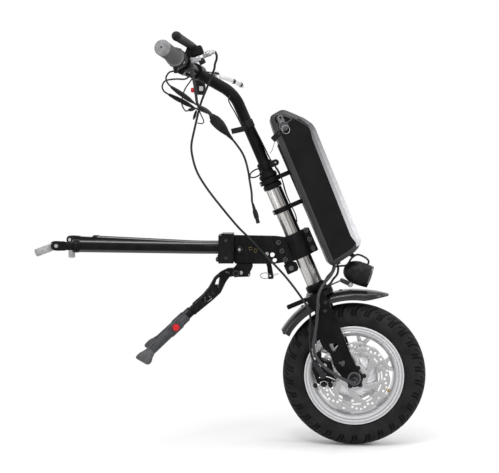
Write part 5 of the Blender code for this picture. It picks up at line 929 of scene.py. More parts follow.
def make_battery(look):
    """Case with a flat chamfer and a seam in the middle, panels on both sides darkened as painted shade,
    strips along the front edges that pale downwards as a painted highlight, the handle pocket as a black
    sheet of painted shade with a pale rim of painted highlight, the lock and two rubber feet."""
    half = BATTERY_HALF
    bevel = look.battery_chamfer
    insets = [bevel + 0.0012, bevel + 0.0004, bevel - 0.0006, bevel * 0.5, 0.0012, 0.0003, 0.0]
    levels = [-half, -half + 0.0003, -half + 0.0012, -half + bevel * 0.5, -half + bevel - 0.001, -half + bevel,
        -half + bevel + 0.0014]
    seam = tenths((0, -12), (7, -6), (7, 6), (0, 12))
    insets = insets + [i for i, z in seam] + insets[::-1]
    levels = levels + [z for i, z in seam] + [-z for z in levels[::-1]]
    case = lofted(battery_outline(), insets, levels, BATTERY_SIDE)
    finished("battery_shell", [case], "battery_skin", "column", "battery_case", crease=25)

    # The side panels are a darker copy of the case's plastic: painted shade.
    panel = drawn_in(battery_outline(), bevel + 0.003)
    levels = [half + rise for rise in (-0.0004, -0.0002, 0.00035, 0.00055)]
    faces = [lofted(panel, [0.001, 0.0, 0.0, 0.001], sorted(side * z for z in levels), BATTERY_SIDE)
        for side in (1, -1)]
    finished("battery_side_panels", faces, "battery_panel_painted_shade", "column", crease=25)

    # Strips over the front chamfers; their finish pales downwards as a painted highlight.
    s = np.linspace(0.264, 0.574, 70)
    front = np.interp(s, [0.2625, 0.273, 0.5382, 0.5505, 0.567, 0.581],
        [0.124, 0.1298, 0.135, 0.1326, 0.1225, 0.111])
    wide = np.interp(s, [0.264, 0.29, 0.52, 0.574], [0.01, 0.0175, 0.015, 0.006])
    trims = []
    for side in (1, -1):
        out = [half + 0.0009, half + 0.0009, half - bevel + 0.0008, half - bevel - 0.001, half - 0.0004,
            half - 0.0004]
        reach = [-wide, 0 * s - bevel, 0 * s + 0.0006, 0 * s - 0.001, 0 * s - bevel - 0.001, -wide]
        grid = np.stack([np.stack([front + x, np.full(len(s), -side * y), s], -1) for x, y in zip(reach, out)],
            1)
        trims.append(moved(skin(grid), COLUMN))
    finished("battery_front_strips", trims, "battery_strip_painted_highlight", "column", crease=25)

    pocket = softened(tenths((590, 5800), (610, 5960), (700, 6000), (900, 5850), (960, 5765),
        (800, 5740))[::-1], [0.004, 0.003, 0.006, 0.006, 0.005, 0.006], 7)
    # A pale rim round the pocket: a painted highlight on its edge.
    path = raised(pocket, -half - 0.0006)[:, [0, 2, 1]]
    finished("battery_handle_highlight_rim", [moved(carried(path, 8, 0.0011, closed=True), COLUMN)], "battery_rim_painted_highlight",
        "column")
    # A near-black sheet over the side stands for the pocket's hollow: painted shade.
    dark = lofted(drawn_in(pocket, 0.0004), [0.0, 0.0], [half + 0.0004, half + 0.0009], BATTERY_SIDE)
    finished("battery_handle_pocket_shade", [dark], "painted_shade_black", "column")

    lock = side_on(COLUMN, *LOCK_AT, half)
    ring = turned(tenths((72, 2), (112, 2), (112, 22), (104, 34), (78, 34), (72, 24)), 40, closed=True)
    plug = turned(tenths((0, 5), (72, 5), (70, 26), (38, 30), (0, 30)), 32)
    finished("battery_lock", [moved(ring, lock), moved(plug, lock)], "dark_steel", "column")
    feet = [block((0.06 + 0.036 * k, -0.03, 0.242 + 0.0035 * k), (0.07 + 0.036 * k, 0.03, 0.25), 0.0015, COLUMN)
        for k in range(2)]
    finished("battery_feet", feet, "soft_rubber", "column")


def make_key(look):
    """Key in the lock: a flat bow with a hole, its shank, the wire ring, the tag and the string on it."""
    at = COLUMN @ shift(LOCK_AT[0], -KEY_OUT, LOCK_AT[1])
    bow = softened(tenths((-90, 65), (-35, 92), (35, 92), (90, 65), (90, 230), (35, 262), (-35, 262),
        (-90, 230)), 0.003, 4)
    flat = at @ turn("Z", 28.0) @ turn("X", 90.0)
    bow_at = plate(bow, -0.0011, 0.0011, 0.0004, [circle((0, 0.0195), 0.0026)], flat)
    shank = turned(tenths((0, -40), (26, -40), (26, 75), (40, 85), (40, 100), (0, 100)), 20)
    parts = [bow_at, moved(shank, side_on(COLUMN, *LOCK_AT, KEY_OUT))]
    finished("key_with_bow", parts, "dark_steel", "key", "battery_key")
    hung = COLUMN @ shift(LOCK_AT[0], -RING_OUT, 0.5602)
    ring = ringed((0, 0, 0), 0.0088, 0.0006, hung @ turn("Z", 15.0))
    finished("key_ring", [ring], "dull_steel", "key")
    tag = softened(tenths((-60, 0), (60, 0), (72, -240), (-72, -240)), 0.0035, 5)
    down = COLUMN @ shift(0.06, -RING_OUT, 0.56) @ turn("Y", 67.0) @ turn("Z", 20.0) @ turn("X", 90.0)
    leaf = plate(tag, -0.001, 0.001, 0.0004, [circle((0, -0.0045), 0.0018)], down)
    finished("key_tag", [leaf], "moulded", "key")
    string = tenths((578, -716, 5634), (406, -690, 5458), (300, -640, 5330), (218, -600, 5269))
    finished("key_string", [line(string, 30, 8, 0.0006, COLUMN)], "sheath", "key")


# Fender, lamp and fork.

def fender_surface(look):
    """Mudguard: for an angle round the wheel the section is half an ellipse-like arch,
    side = w cos t and height = R - drop (1 - sin t)^1.4, where width and drop shrink to the
    nose and the sheet has an even thickness."""
    steps, across = 110, 30
    turn_by = np.linspace(math.radians(-35.2), math.radians(46.5), steps)
    share = np.linspace(0, 1, steps)
    nose = np.clip((share - 0.8) / 0.2, 0, 1)
    tail = np.clip((0.06 - share) / 0.06, 0, 1)
    width = 0.0348 * (1 - 0.8 * nose ** 2.2)
    drop = 0.02 * (1 - 0.8 * nose ** 1.6) + 0.0015 * tail
    base = 0.191 + 0.006 * nose
    t = np.linspace(0, math.pi, across)

    def side_of(thick):
        y = -(width[:, None] - thick) * np.cos(t)
        r = base[:, None] - thick - (drop[:, None] - 0.4 * thick) * (1 - np.sin(t)) ** 1.4
        return y, r

    outer, inner = side_of(0.0), side_of(0.0021)
    y = np.concatenate([outer[0], inner[0][:, ::-1]], 1)
    r = np.concatenate([outer[1], inner[1][:, ::-1]], 1)
    a = turn_by[:, None]
    grid = np.stack([r * np.sin(a), y, r * np.cos(a)], -1)
    return moved(skin(grid), STEER)


def make_fender(look):
    """Mudguard with a bead along each edge, its rear flap and two screws."""
    surfaces = [fender_surface(look)]
    turn_by = np.radians(np.linspace(-35.0, 42.0, 90))
    for side in (1, -1):
        nose = np.clip((np.linspace(0, 1, 90) - 0.84) / 0.16, 0, 1)
        r = 0.191 + 0.0057 * nose - 0.0196 * (1 - 0.7 * nose ** 1.6)
        path = np.stack([r * np.sin(turn_by), side * 0.0343 * (1 - 0.66 * nose ** 2.2), r * np.cos(turn_by)],
            -1)
        surfaces.append(moved(carried(path, 8, 0.0013), STEER))
    finished("fender_shell", surfaces, "fender_gloss", "steering", "fender", crease=40)
    tail = STEER @ turn("Y", -35.2) @ shift(0, 0, 0.18) @ turn("Y", 12.0)
    flap = softened(tenths((-35, -10), (160, -30), (160, 60), (-35, 60)), 0.002, 4)
    finished("fender_flap", [side_plate(flap, 0.03, -0.03, 0.0012, [], tail)], "grey_sheath", "steering")
    screws = [cap_bolt(0.0036, 0.0022, STEER @ turn("Y", lean) @ shift(0, 0, 0.1905)) for lean in (-14.0, 14.4)]
    finished("fender_screws", screws, "black_steel", "steering")


LAMP = STEER @ shift(0.0737, 0, 0.2279) @ turn("Y", 132.5)  # z from the lamp's back to its front


def make_lamp(look):
    """Head lamp: a domed shell with a rolled bezel, the reflector bowl with its bulb, the fluted lens, a
    bright rim, the pivot and the lead."""
    dome = tenths((0, 0), (60, 4), (110, 21), (152, 50), (186, 88), (215, 136), (238, 190), (254, 246),
        (264, 300), (266, 336), (258, 346), (258, 358), (265, 368), (262, 450), (252, 560), (246, 596),
        (250, 604), (249, 618), (238, 622), (226, 612), (222, 500), (225, 400), (200, 200), (0, 100))
    finished("lamp_body", [moved(turned(dome, 72), LAMP)], "moulded", "lamp", "lamp_shell", crease=40)
    bowl = tenths((0, 300), (80, 312), (140, 350), (185, 420), (212, 520), (218, 585), (205, 585), (170, 440),
        (125, 370), (70, 328), (30, 322), (0, 322))
    bulb = tenths((0, 300), (30, 320), (42, 380), (30, 430), (0, 445))
    finished("lamp_reflector", [moved(turned(bowl, 60), LAMP), moved(turned(bulb, 24), LAMP)], "reflector",
        "lamp")
    glass = tenths((0, 596), (120, 594), (218, 584), (224, 604), (200, 622), (130, 640), (0, 648))
    rim = turned(tenths((228, 560), (243, 562), (247, 600), (240, 612), (228, 612)), 60, closed=True)
    finished("lamp_rim", [moved(rim, LAMP)], "bright_steel", "lamp")
    finished("lamp_glass", [moved(turned(glass, 60), LAMP)], "lens_clear", "lamp", "lamp_lens")
    pivot = side_on(STEER, 0.0724, 0.1888, 0.0075)
    hub = tenths((0, -150), (60, -150), (60, 0), (52, 12), (0, 12))
    finished("lamp_pivot", [moved(turned(hub, 28), pivot), nut(0.0042, 0.003, pivot @ shift(0, 0, 0.001))],
        "dull_steel", "steering")
    lead = tenths((560, -100, 2440), (600, -110, 2385), (700, -120, 2360), (828, -128, 2330), (980, -90, 2420),
        (1130, -40, 2441), (1253, -11, 2330), (1303, 14, 2202), (1221, 6, 2120), (1130, 4, 2080))
    finished("lamp_lead", [line(lead, 70, 12, 0.0022, STEER)], "sheath", "steering")


def make_fork_trim(look):
    """Bolts of the crown and the legs, and the washers of the axle nuts."""
    heads, ends = [], []
    washer = turned(tenths((65, 0), (152, 0), (152, 16), (148, 20), (65, 20)), 40, closed=True)
    for face in (1, -1):
        heads += [cap_bolt(0.0044, 0.003, STEER @ shift(x, -face * 0.058, z) @ outwards(face))
            for x, z in ((-0.008, 0.18), (0.008, 0.18), (0.0, 0.163))]
        ends.append(moved(washer, STEER @ shift(0, -face * 0.0582, 0) @ outwards(face)))
    finished("crown_bolts", heads, "black_steel", "steering")
    finished("axle_washers", ends, "dark_steel", "steering")


# Column, stem and bar.

def make_head_tube(look):
    """Brushed tube with shallow grooves down its length, r = R - 0.7 mm exp(-(a / 0.045)^2)
    for the angle a past each of them, painted dark reflections in bands round it and painted shade in its bore,
    and the stepped cups at its two ends."""
    t = TAU * np.arange(96) / 96
    r = 0.018 - 0.0007 * np.exp(-((t[:, None] - np.radians([-118, -62, 62, 118]) % TAU) / 0.045) ** 2).sum(1)
    z = np.array([0.2223, 0.2228, 0.4532, 0.4537])
    ring = np.stack([r * np.cos(t), r * np.sin(t)], -1)
    rings = [raised(ring * size, height) for size, height in zip((0.985, 1.0, 1.0, 0.985), z)]
    bore = circle((0, 0), 0.0152, 96)
    tube = skin(np.stack(rings + [raised(bore, z[3]), raised(bore, z[0])]), True)
    # Painted reflection: bands round the tube, set by the cosine of the angle round it, darken as if mirroring
    # dark surroundings; the bore is painted fully dark as shade.
    dark = np.interp(np.cos(t), [-1, -0.9, -0.8, -0.4, -0.1, -0.04, 0.02, 0.06, 0.3, 0.62, 0.74, 1],
        [0.85, 0.55, 0.1, 0.05, 0.35, 0.92, 0.92, 0.62, 0.5, 0.68, 0.96, 0.98])
    dark = np.concatenate([np.tile(dark, 4), np.ones(2 * 96)])
    finished("head_tube_brushed", [moved(tube, COLUMN)], "brushed_tube_painted_reflection", "column", "head_tube", painted_light_and_tone_values=dark)
    low = turned(tenths((148, 2060), (205, 2060), (222, 2075), (235, 2100), (235, 2140), (226, 2144),
        (226, 2152), (235, 2156), (235, 2185), (212, 2205), (205, 2217), (148, 2217)), 64, closed=True)
    finished("cup_lower", [moved(low, COLUMN)], "anodised_edge", "column", "headset_lower")
    top = turned(tenths((148, 4543), (195, 4543), (208, 4555), (213, 4570), (213, 4625), (206, 4640),
        (190, 4655), (186, 4665), (186, 4700), (180, 4706), (180, 4722), (186, 4728), (188, 4795), (196, 4808),
        (206, 4822), (208, 4840), (208, 4870), (196, 4895), (168, 4915), (160, 4955), (158, 4984), (148, 4984)),
        64, closed=True)
    finished("cup_upper", [moved(top, COLUMN)], "anodised_edge", "column", "headset_upper")


def make_collar(look):
    """Split clamp on the steerer: ring, two lugs in front, the bolt across them and its barrel nut."""
    ring = turned(tenths((124, 4992), (142, 4992), (149, 5000), (149, 5168), (142, 5178), (124, 5178)), 64,
        closed=True)
    parts = [moved(ring, STEER @ shift(STEM_AHEAD))]
    for side in (1, -1):
        ear = long_round((0.017, 0.5055), (0.0275, 0.5055), 0.0072)
        parts.append(side_plate(ear, side * 0.0012, side * 0.0112, 0.001, [], STEER))
    finished("collar_clamp", parts, "anodised_edge", "steering", "stem_collar")
    at = side_on(STEER, 0.0275, 0.5055, 0.0112)
    barrel = turned(tenths((16, 0), (44, 0), (44, 30), (38, 36), (16, 36)), 28, closed=True)
    bolt = cap_bolt(0.0044, 0.0036, STEER @ shift(0.0275, 0.0112, 0.5055) @ AWAY)
    finished("collar_bolt", [moved(barrel, at), bolt], "black_steel", "steering")
    core = turned(tenths((0, 0), (26, 0), (26, 34), (0, 40)), 20)
    finished("collar_pin", [moved(core, at)], "dull_steel", "steering")


TUBE = 0.0127  # radius of the stem's and the arms' tubes
BAR = 0.0111  # radius of the handlebar
GRIP_FROM = 0.189  # distance out at which the grips begin
STEM_AHEAD = 0.0034  # the stem's foot stands this far in front of the steering axis
BAR_AT = np.array([-0.05565, 0, 0.76227])


def stem_line(count):
    """Stem centre line: straight up, an arc of radius .085 through 34.4 degrees, straight to the bar."""
    bend, radius, ahead = math.radians(34.4), 0.085, STEM_AHEAD
    low = 0.681 - radius * math.tan(bend / 2)
    a = np.linspace(0, bend, count)
    arc = np.stack([ahead - radius + radius * np.cos(a), 0 * a, low + radius * np.sin(a)], -1)
    end = BAR_AT + 0.015 * np.array([math.sin(bend), 0, -math.cos(bend)])
    first = np.stack([np.full(8, ahead), np.zeros(8), np.linspace(0.4988, low, 9)[:-1]], -1)
    last = arc[-1] + (end - arc[-1]) * np.linspace(0, 1, 7)[1:, None]
    return np.vstack([first, arc, last])


def bar_line(out):
    """Bar centre at signed distances to the near side: straight, swept up by the square of the distance
    over 55 mm, then straight to the end."""
    straight, sweep, full = 0.045, 0.055, 0.2065
    back, rise = 0.01978, 0.03477  # of the bar's end
    beyond = np.maximum(np.abs(out) - straight, 0.0)
    share = np.where(beyond < sweep, beyond ** 2 / (2 * sweep), beyond - sweep / 2) / full
    return np.stack([BAR_AT[0] - back * share, -np.asarray(out, float), BAR_AT[2] + rise * share], -1)


def on_bar(out, clock=0.0):
    """Frame on the bar: z along it to the near side, x to the front turned up by an angle."""
    near = bar_line(out + 1e-4) - bar_line(out - 1e-4)
    near /= np.linalg.norm(near)
    front = np.array([0.91706, 0, -0.39875])
    front -= near * (front @ near)
    front /= np.linalg.norm(front)
    made = np.eye(4)
    made[:3, :3] = np.stack([front, np.cross(near, front), near], -1)
    made[:3, 3] = bar_line(out)
    return STEER @ made @ turn("Z", clock)


def make_stem_and_bar(look):
    """Bent stem, the bar's split clamp with four bolts, the handlebar and the strap round the stem."""
    finished("stem_bent_tube", [moved(carried(stem_line(36), 48, TUBE), STEER)], "powder_coat", "bar",
        "stem_tube", crease=40)
    eye = on_bar(0.0)
    clamp = hoop(0.0112, 0.0178, 0.022, (0.0006, 0.0008), eye)
    back = [block((-0.025, 0.001, -0.019), (-0.015, 0.006, 0.019), 0.0012, eye),
        block((-0.025, -0.006, -0.019), (-0.015, -0.001, 0.019), 0.0012, eye)]
    bolts = [cap_bolt(radius, height, eye @ shift(-0.0205, -face * 0.006, z) @ outwards(face))
        for radius, height, face in ((0.004, 0.0036, 1), (0.0038, 0.0026, -1)) for z in (-0.012, 0.012)]
    finished("bar_clamp", [clamp] + back, "anodised_edge", "bar")
    finished("bar_clamp_bolts", bolts, "black_steel", "bar")
    out = np.concatenate([np.linspace(-0.274, -0.11, 6), np.linspace(-0.1, -0.045, 10),
        np.linspace(0.045, 0.1, 10), np.linspace(0.11, 0.274, 6)])
    finished("bar_tube", [moved(carried(bar_line(out), 40, BAR), STEER)], "powder_coat", "bar", "handlebar",
        crease=40)
    strap = hoop(TUBE, 0.0146, 0.0085, (0.0005, 0.0006), STEER @ shift(STEM_AHEAD, 0, 0.608))
    finished("stem_strap", [strap], "moulded", "bar")


def grip_surface(side_lines, rows):
    """Grip from z = 0 outwards: a flange, a waisted barrel with raised lozenges between two smooth
    collars, r = R - .9 mm (1 - 1.9 |sin(nt/2 + az) sin(nt/2 - az)|), and a round end. Gives the surface
    and how much darker each point's colour is."""
    z = np.concatenate([[0, 0, 0.0006, 0.003, 0.0036, 0.0042, 0.006], np.linspace(0.008, 0.082, rows),
        [0.0835, 0.085, 0.087, 0.0885, 0.0896, 0.09]])
    r = np.concatenate([[0.0112, 0.019, 0.0196, 0.0196, 0.019, 0.0172, 0.0164], np.full(rows, 0.0163),
        [0.0164, 0.016, 0.0153, 0.0142, 0.0124, 0.008]])
    t = TAU * np.arange(144) / 144
    body = np.zeros(len(z))
    body[7:-6] = np.clip(np.minimum(z[7:-6] - 0.0085, 0.0815 - z[7:-6]) / 0.003, 0, 1)
    wave = np.abs(np.sin(side_lines / 2 * t[None, :] + TAU * z[:, None] / 0.012))
    wave *= np.abs(np.sin(side_lines / 2 * t[None, :] - TAU * z[:, None] / 0.012))
    radius = r[:, None] - 0.0009 * body[:, None] * (1 - np.minimum(1, 1.9 * wave))
    radius[7:-6] -= 0.0005 * np.sin(math.pi * (z[7:-6] - 0.008) / 0.074)[:, None]
    grid = np.stack([radius * np.cos(t), radius * np.sin(t), np.repeat(z[:, None], 144, 1)], -1)
    painted_light_and_tone_values = np.repeat(np.interp(z, [0.004, 0.006, 0.0815, 0.083], [0.55, 1.0, 1.0, 0.0]), 144)
    return skin(grid), np.concatenate([painted_light_and_tone_values, [0.55, 0.0]])


def make_grips(look):
    """Both grips with a near-black disc of painted shade for the hole in their ends, and the throttle's case
    with its lug, spout and screws.
    """
    grip, painted_light_and_tone_values = grip_surface(24, 90)
    near, far = on_bar(GRIP_FROM), on_bar(-GRIP_FROM) @ turn("Y", 180)
    finished("throttle_grip_rubber", [moved(grip, near)], "grip_rubber", "throttle", "throttle_grip", crease=50,
        painted_light_and_tone_values=painted_light_and_tone_values)
    finished("fixed_grip_rubber", [moved(grip, far)], "grip_rubber", "bar", "fixed_grip", crease=50, painted_light_and_tone_values=painted_light_and_tone_values)
    # A near-black disc on each grip's end stands for its hole: painted shade.
    dot = turned(tenths((0, 900), (18, 900), (18, 903), (0, 903)), 20)
    for name, end, body in (("near", near, "throttle"), ("far", far, "bar")):
        finished(f"grip_{name}_hole", [moved(dot, end)], "painted_shade_black", body)
    case = turned(tenths((113, -258), (180, -258), (196, -246), (200, -232), (200, -150), (196, -147),
        (196, -137), (200, -134), (200, -40), (192, -26), (113, -24)), 60, closed=True)
    lug = block((-0.023, -0.005, -0.022), (-0.015, 0.005, -0.006), 0.0015, near)
    spout = near @ shift(-0.004, 0, -0.0152) @ turn("X", 98)
    tip = turned(tenths((0, 150), (56, 150), (56, 215), (46, 222), (46, 240), (50, 244), (50, 262), (42, 266),
        (42, 282), (34, 300), (0, 300)), 28)
    finished("throttle_case", [moved(case, near), lug, moved(tip, spout)], "moulded_edge", "bar",
        "throttle_housing")
    screws = [cap_bolt(0.0024, 0.0014, near @ shift(0.0199 * math.cos(a), 0.0199 * math.sin(a), -0.008)
        @ turn("Z", math.degrees(a)) @ AHEAD) for a in (-2.2, -0.6, 1.1)]
    finished("throttle_screws", screws, "dull_steel", "bar")


# Of each brake lever: (distance out along the bar, degrees round it).
PERCHES = {"near": (0.12, 65.0), "far": (-0.12, -8.0)}


def make_perches(look):
    """Lever perches: split ring, clamp lugs and bolt, two cheeks for the lever, and a barrel adjuster."""
    body = along((-0.0876, -0.1153, 0.865), (-0.064, -0.106, 0.8743), np.eye(4))
    for name, place, inwards in (("near", on_bar(*PERCHES["near"]), 180), ("far", on_bar(*PERCHES["far"]), 0)):
        ring = hoop(0.0113, 0.0156, 0.011, (0.0006, 0.0007), place)
        parts = [ring, block((0.012, -0.0085, -0.009), (0.03, 0.0085, 0.009), 0.002, place)]
        if name == "near":
            parts.append(block((-0.0105, -0.0085, -0.015), (0.0105, 0.0085, 0.015), 0.007, body))
        cheek = softened(tenths((270, -85), (395, -80), (460, -40), (460, 50), (400, 88), (270, 90)), 0.004, 5)
        parts += [side_plate(cheek, s * 0.0049, s * 0.0085, 0.0008, [circle((0.04, 0), 0.0026, 16)], place)
            for s in (1, -1)]
        parts += [block((-0.0235, s * 0.0035 - 0.0025, -0.007), (-0.0135, s * 0.0035 + 0.0025, 0.007), 0.001,
            place) for s in (1, -1)]
        finished(f"perch_{name}_body", parts, "anodised_edge", "bar", f"brake_perch_{name}")
        barrel = turned(tenths((0, 85), (66, 85), (68, 92), (68, 112), (62, 118), (44, 120), (44, 138),
            (60, 141), (63, 146), (63, 235), (58, 245), (46, 248), (44, 300), (34, 346), (0, 350)), 40)
        at = place @ shift(0.026, 0, 0) @ turn("Y", inwards)
        if name == "near":
            at = along((-0.0743, -0.11, 0.8569), (-0.0486, -0.1, 0.867), np.eye(4)) @ shift(0, 0, -0.006)
        bits = [moved(barrel, at)]
        bits += [cap_bolt(radius, height, place @ shift(x, -s * out, 0) @ outwards(s))
            for radius, height, x, out in ((0.0036, 0.003, -0.019, 0.006), (0.0042, 0.0022, 0.04, 0.0085))
            for s in (1, -1)]
        finished(f"perch_{name}_metal", bits, "dull_steel", "bar")
    pinch = [block((-0.0135, -0.008, -0.006), (0.0135, 0.008, 0.005), 0.003,
        shift(-0.0912, -0.116, 0.847) @ turn("Y", -14.0)),
        cap_bolt(0.0038, 0.003, shift(-0.096, -0.124, 0.848) @ SIDEWAYS)]
    finished("perch_near_pinch", pinch, "dull_steel", "bar")
    knob = turned(tenths((0, -70), (56, -70), (64, -60), (66, 50), (56, 66), (0, 70)), 30)
    finished("perch_near_knob", [moved(knob, shift(-0.0755, -0.113, 0.8445) @ turn("Y", 60.0))], "moulded",
        "bar")


def lever_place(side):
    """Frame on a brake lever's pivot."""
    return on_bar(*PERCHES[side]) @ shift(0.04)


def make_levers(look):
    """Near lever in a thick rubber sleeve with a ball end; far lever a thin polished blade with two
    bands, bowed by a sine of its length and drooping with the length's power 1.5."""
    near = lever_place("near")
    side, out = math.sin(math.radians(-2)), math.cos(math.radians(-2))
    s = np.concatenate([np.linspace(0.004, 0.1, 40), 0.1
        + np.array([0.004, 0.008, 0.012, 0.016, 0.0185, 0.0205, 0.0212])])
    r = np.interp(s, [0.004, 0.009, 0.011, 0.06, 0.1], [0.005, 0.0062, 0.0085, 0.0087, 0.0091])
    r[40:] = [0.0096, 0.0099, 0.0098, 0.0088, 0.0072, 0.0044, 0.0012]
    blade = carried(np.stack([side * s, 0 * s, out * s], -1), 28, r)
    eye = hoop(0.0027, 0.0075, 0.0041, (0.0005, 0.0005), SIDEWAYS, 36)
    finished("lever_near_sleeve", [moved(blade, near), moved(eye, near)], "moulded", "lever_near",
        "brake_lever_near", crease=40)

    far = lever_place("far")
    aim = math.radians(38)
    reach, droop = 0.118, 0.018
    s = np.linspace(0.003, reach, 60)
    half = np.interp(s, [0.003, 0.02, 0.04, 0.08, 0.104, 0.11, 0.114, 0.118],
        [0.006, 0.005, 0.0046, 0.0054, 0.0056, 0.0064, 0.0058, 0.002])
    deep = np.interp(s, [0.003, 0.02, 0.1, 0.109, 0.115, 0.118],
        [0.0036, 0.0026, 0.0022, 0.005, 0.0048, 0.0015])
    t = TAU * np.arange(24) / 24
    grid = np.zeros((60, 24, 3))
    ahead = np.array([math.sin(aim), 0, -math.cos(aim)])
    square = np.array([math.cos(aim), 0, math.sin(aim)])
    arch = 0.003 * np.sin(math.pi * s / reach)
    grid += ahead * s[:, None, None] + square * (arch[:, None, None] + (deep[:, None] * np.cos(t))[..., None])
    grid[..., 1] += half[:, None] * np.sin(t) - droop * (s[:, None] / reach) ** 1.5
    finished("lever_far_blade", [moved(skin(grid), far), moved(eye, far)], "cast_silver", "lever_far",
        "brake_lever_far", crease=40)
    bands = []
    for at in (0.07, 0.104):
        path = np.array([ahead * (at + d) + square * 0.003
            * math.sin(math.pi * at / reach) - np.array([0, droop, 0]) * ((at + d) / reach) ** 1.5
            for d in (-0.0014, -0.001, 0.001, 0.0014)])
        bands.append(carried(path, 24, np.array([0.0056, 0.006, 0.006, 0.0056])))
    finished("lever_far_bands", [moved(s, far) for s in bands], "moulded", "lever_far")


def make_switch(look):
    """Thumb switch: clamp ring, pod of two halves with a seam, its red button, a pale rocker and slide."""
    at = on_bar(-0.09)
    ring = hoop(0.0113, 0.0151, 0.008, (0.0006, 0.0007), at)
    pod = softened(tenths((-140, -470), (120, -470), (120, -140), (-140, -140)), 0.0042, 7)
    shell = [plate(pod, -0.008, -0.0006, 0.0016, (), at), plate(pod, 0.0006, 0.008, 0.0016, (), at),
        plate(drawn_in(pod, 0.0008), -0.001, 0.001, 0.0002, (), at)]
    finished("switch_case", [ring] + shell, "moulded_edge", "bar", "switch_pod")
    cap = turned(tenths((0, -30), (54, -30), (56, -26), (56, 46), (50, 66), (36, 75), (0, 77)), 36)
    well = at @ shift(-0.014, -0.036, 0) @ turn("Y", -90)
    finished("horn_button_cap", [moved(cap, well)], "signal_red", "horn", "horn_button")
    rocker = softened(tenths((100, -420), (136, -410), (145, -330), (136, -250), (100, -240)), 0.0015, 4)
    slide = softened(tenths((-20, -380), (70, -380), (70, -270), (-20, -270)), 0.002, 4)
    finished("switch_rocker", [plate(rocker, -0.0048, 0.0048, 0.0008, (), at),
        plate(slide, 0.007, 0.0098, 0.0008, (), at)], "pale_plastic", "bar")


# Leads.

# Name: (radius, finish, CAD node replaced, points in the steering frame).
LEADS = {"brake_line": (0.0025, "sheath", "brake_cable",
    tenths((73, -997, 7716), (80, -988, 7641), (40, -945, 7560), (-40, -860, 7490), (-120, -730, 7400),
    (-399, -690, 7134), (-688, -703, 6844), (-1033, -713, 6393), (-1229, -710, 6111), (-1315, -697, 5839),
    (-1354, -640, 5522), (-1311, -576, 5143), (-1206, -507, 4687), (-1042, -463, 4109), (-919, -452, 3791),
    (-723, -465, 3259), (-505, -476, 2655), (-360, -560, 2105), (-310, -680, 1780), (-396, -700, 1498),
    (-560, -660, 1150), (-655, -640, 850), (-660, -638, 720))),
    "motor_line": (0.00325, "grey_sheath", "motor_cable",
    tenths((560, -200, 2432), (540, -210, 2370), (400, -300, 2260), (180, -480, 2160), (20, -660, 2020),
    (-100, -740, 1800), (-220, -760, 1550), (-380, -770, 1280), (-520, -780, 1050), (-560, -800, 820),
    (-500, -840, 580), (-340, -910, 330), (-190, -1000, 160), (-80, -1050, 60), (-15, -1035, 10), (0, -960, 0),
    (0, -866, 0))),
    "throttle_line": (0.0018, "sheath", "throttle_lead",
    tenths((-800, -1885, 7565), (-906, -1860, 7585), (-1004, -1820, 7536), (-1040, -1777, 7467),
    (-1033, -1720, 7380), (-1000, -1640, 7310), (-880, -1300, 7120), (-771, -1021, 6888), (-690, -820, 6760),
    (-600, -600, 6580))),
    "switch_line": (0.0018, "sheath", "", tenths((-500, -1000, 7600), (-608, -1057, 7466), (-730, -1168, 7419),
    (-899, -1283, 7484), (-1094, -1381, 7527), (-1198, -1410, 7465), (-1226, -1392, 7372), (-1173, -1307, 7256),
    (-819, -925, 6810), (-600, -620, 6590))),
    "horn_line": (0.0016, "sheath", "", tenths((-760, 880, 7640), (-850, 779, 7572), (-1016, 513, 7412),
    (-1151, 200, 7143), (-1116, -98, 6922), (-1026, -311, 6877), (-839, -575, 6827), (-640, -620, 6620))),
    "bar_sleeve": (0.003, "braid", "", tenths((-469, -1549, 7530), (-530, -1455, 7355), (-606, -1260, 7124),
    (-724, -917, 6862), (-680, -770, 6740), (-600, -640, 6600))),
    "node_sleeve": (0.0042, "braid", "", [(-0.0737, -0.0817, 0.6815), (-0.0621, -0.069, 0.6675),
    (-0.0565, -0.056, 0.652)]),
    "spare_loop": (0.0013, "grey_sheath", "", tenths((-765, -680, 6779), (-774, -650, 6665), (-772, -650, 6500),
    (-809, -653, 6457), (-859, -657, 6469), (-915, -662, 6508))),
    "stem_line_rear": (0.0014, "sheath", "", tenths((-50, -100, 6830), (-130, -171, 6715), (-105, -179, 6425),
    (-85, -180, 6140))),
    "stem_line_front": (0.0013, "sheath", "", tenths((145, -80, 5980), (175, -106, 5659), (186, -115, 5434),
    (205, -123, 5117), (265, -120, 4866), (255, -122, 4591), (220, -122, 4323), (215, -122, 4087),
    (225, -125, 3827), (190, -127, 3646))),
    "stem_line_inner": (0.0013, "sheath", "", tenths((150, 10, 5980), (172, -6, 5493), (186, -16, 5247),
    (225, -24, 4968), (255, -22, 4668), (215, -24, 4406), (205, -25, 4160))),
    "lamp_feed": (0.0024, "braid", "", tenths((560, -134, 2440), (476, -199, 2335), (325, -273, 2264),
    (183, -305, 2149), (82, -354, 2060), (-53, -426, 1950))),
    "battery_feed": (0.0026, "sheath", "", tenths((640, -66, 2445), (620, -66, 2332), (548, -113, 2222),
    (424, -180, 2160), (300, -250, 2090), (100, -330, 2060))),
    "disc_line": (0.0026, "grey_sheath", "", tenths((-19, -480, 1890), (-92, -640, 1771), (-200, -720, 1600),
    (-300, -735, 1420), (-400, -720, 1240), (-455, -690, 1060))),}


def lead(name, body):
    """One lead as a round tube on a smooth curve through its points."""
    radius, look, node, points = LEADS[name]
    tube = line(points, 8 * len(points), 12, radius, STEER)
    finished(name, [tube], look, body, node, crease=60)


def along(first, last, matrix=STEER):
    """Frame at one point whose z points to another."""
    a, b = np.array(first, float), np.array(last, float)
    z = (b - a) / np.linalg.norm(b - a)
    x = np.cross([0.0, 1.0, 0.0], z)
    x /= np.linalg.norm(x)
    made = np.eye(4)
    made[:3, :3] = np.stack([x, np.cross(z, x), z], -1)
    made[:3, 3] = a
    return matrix @ made


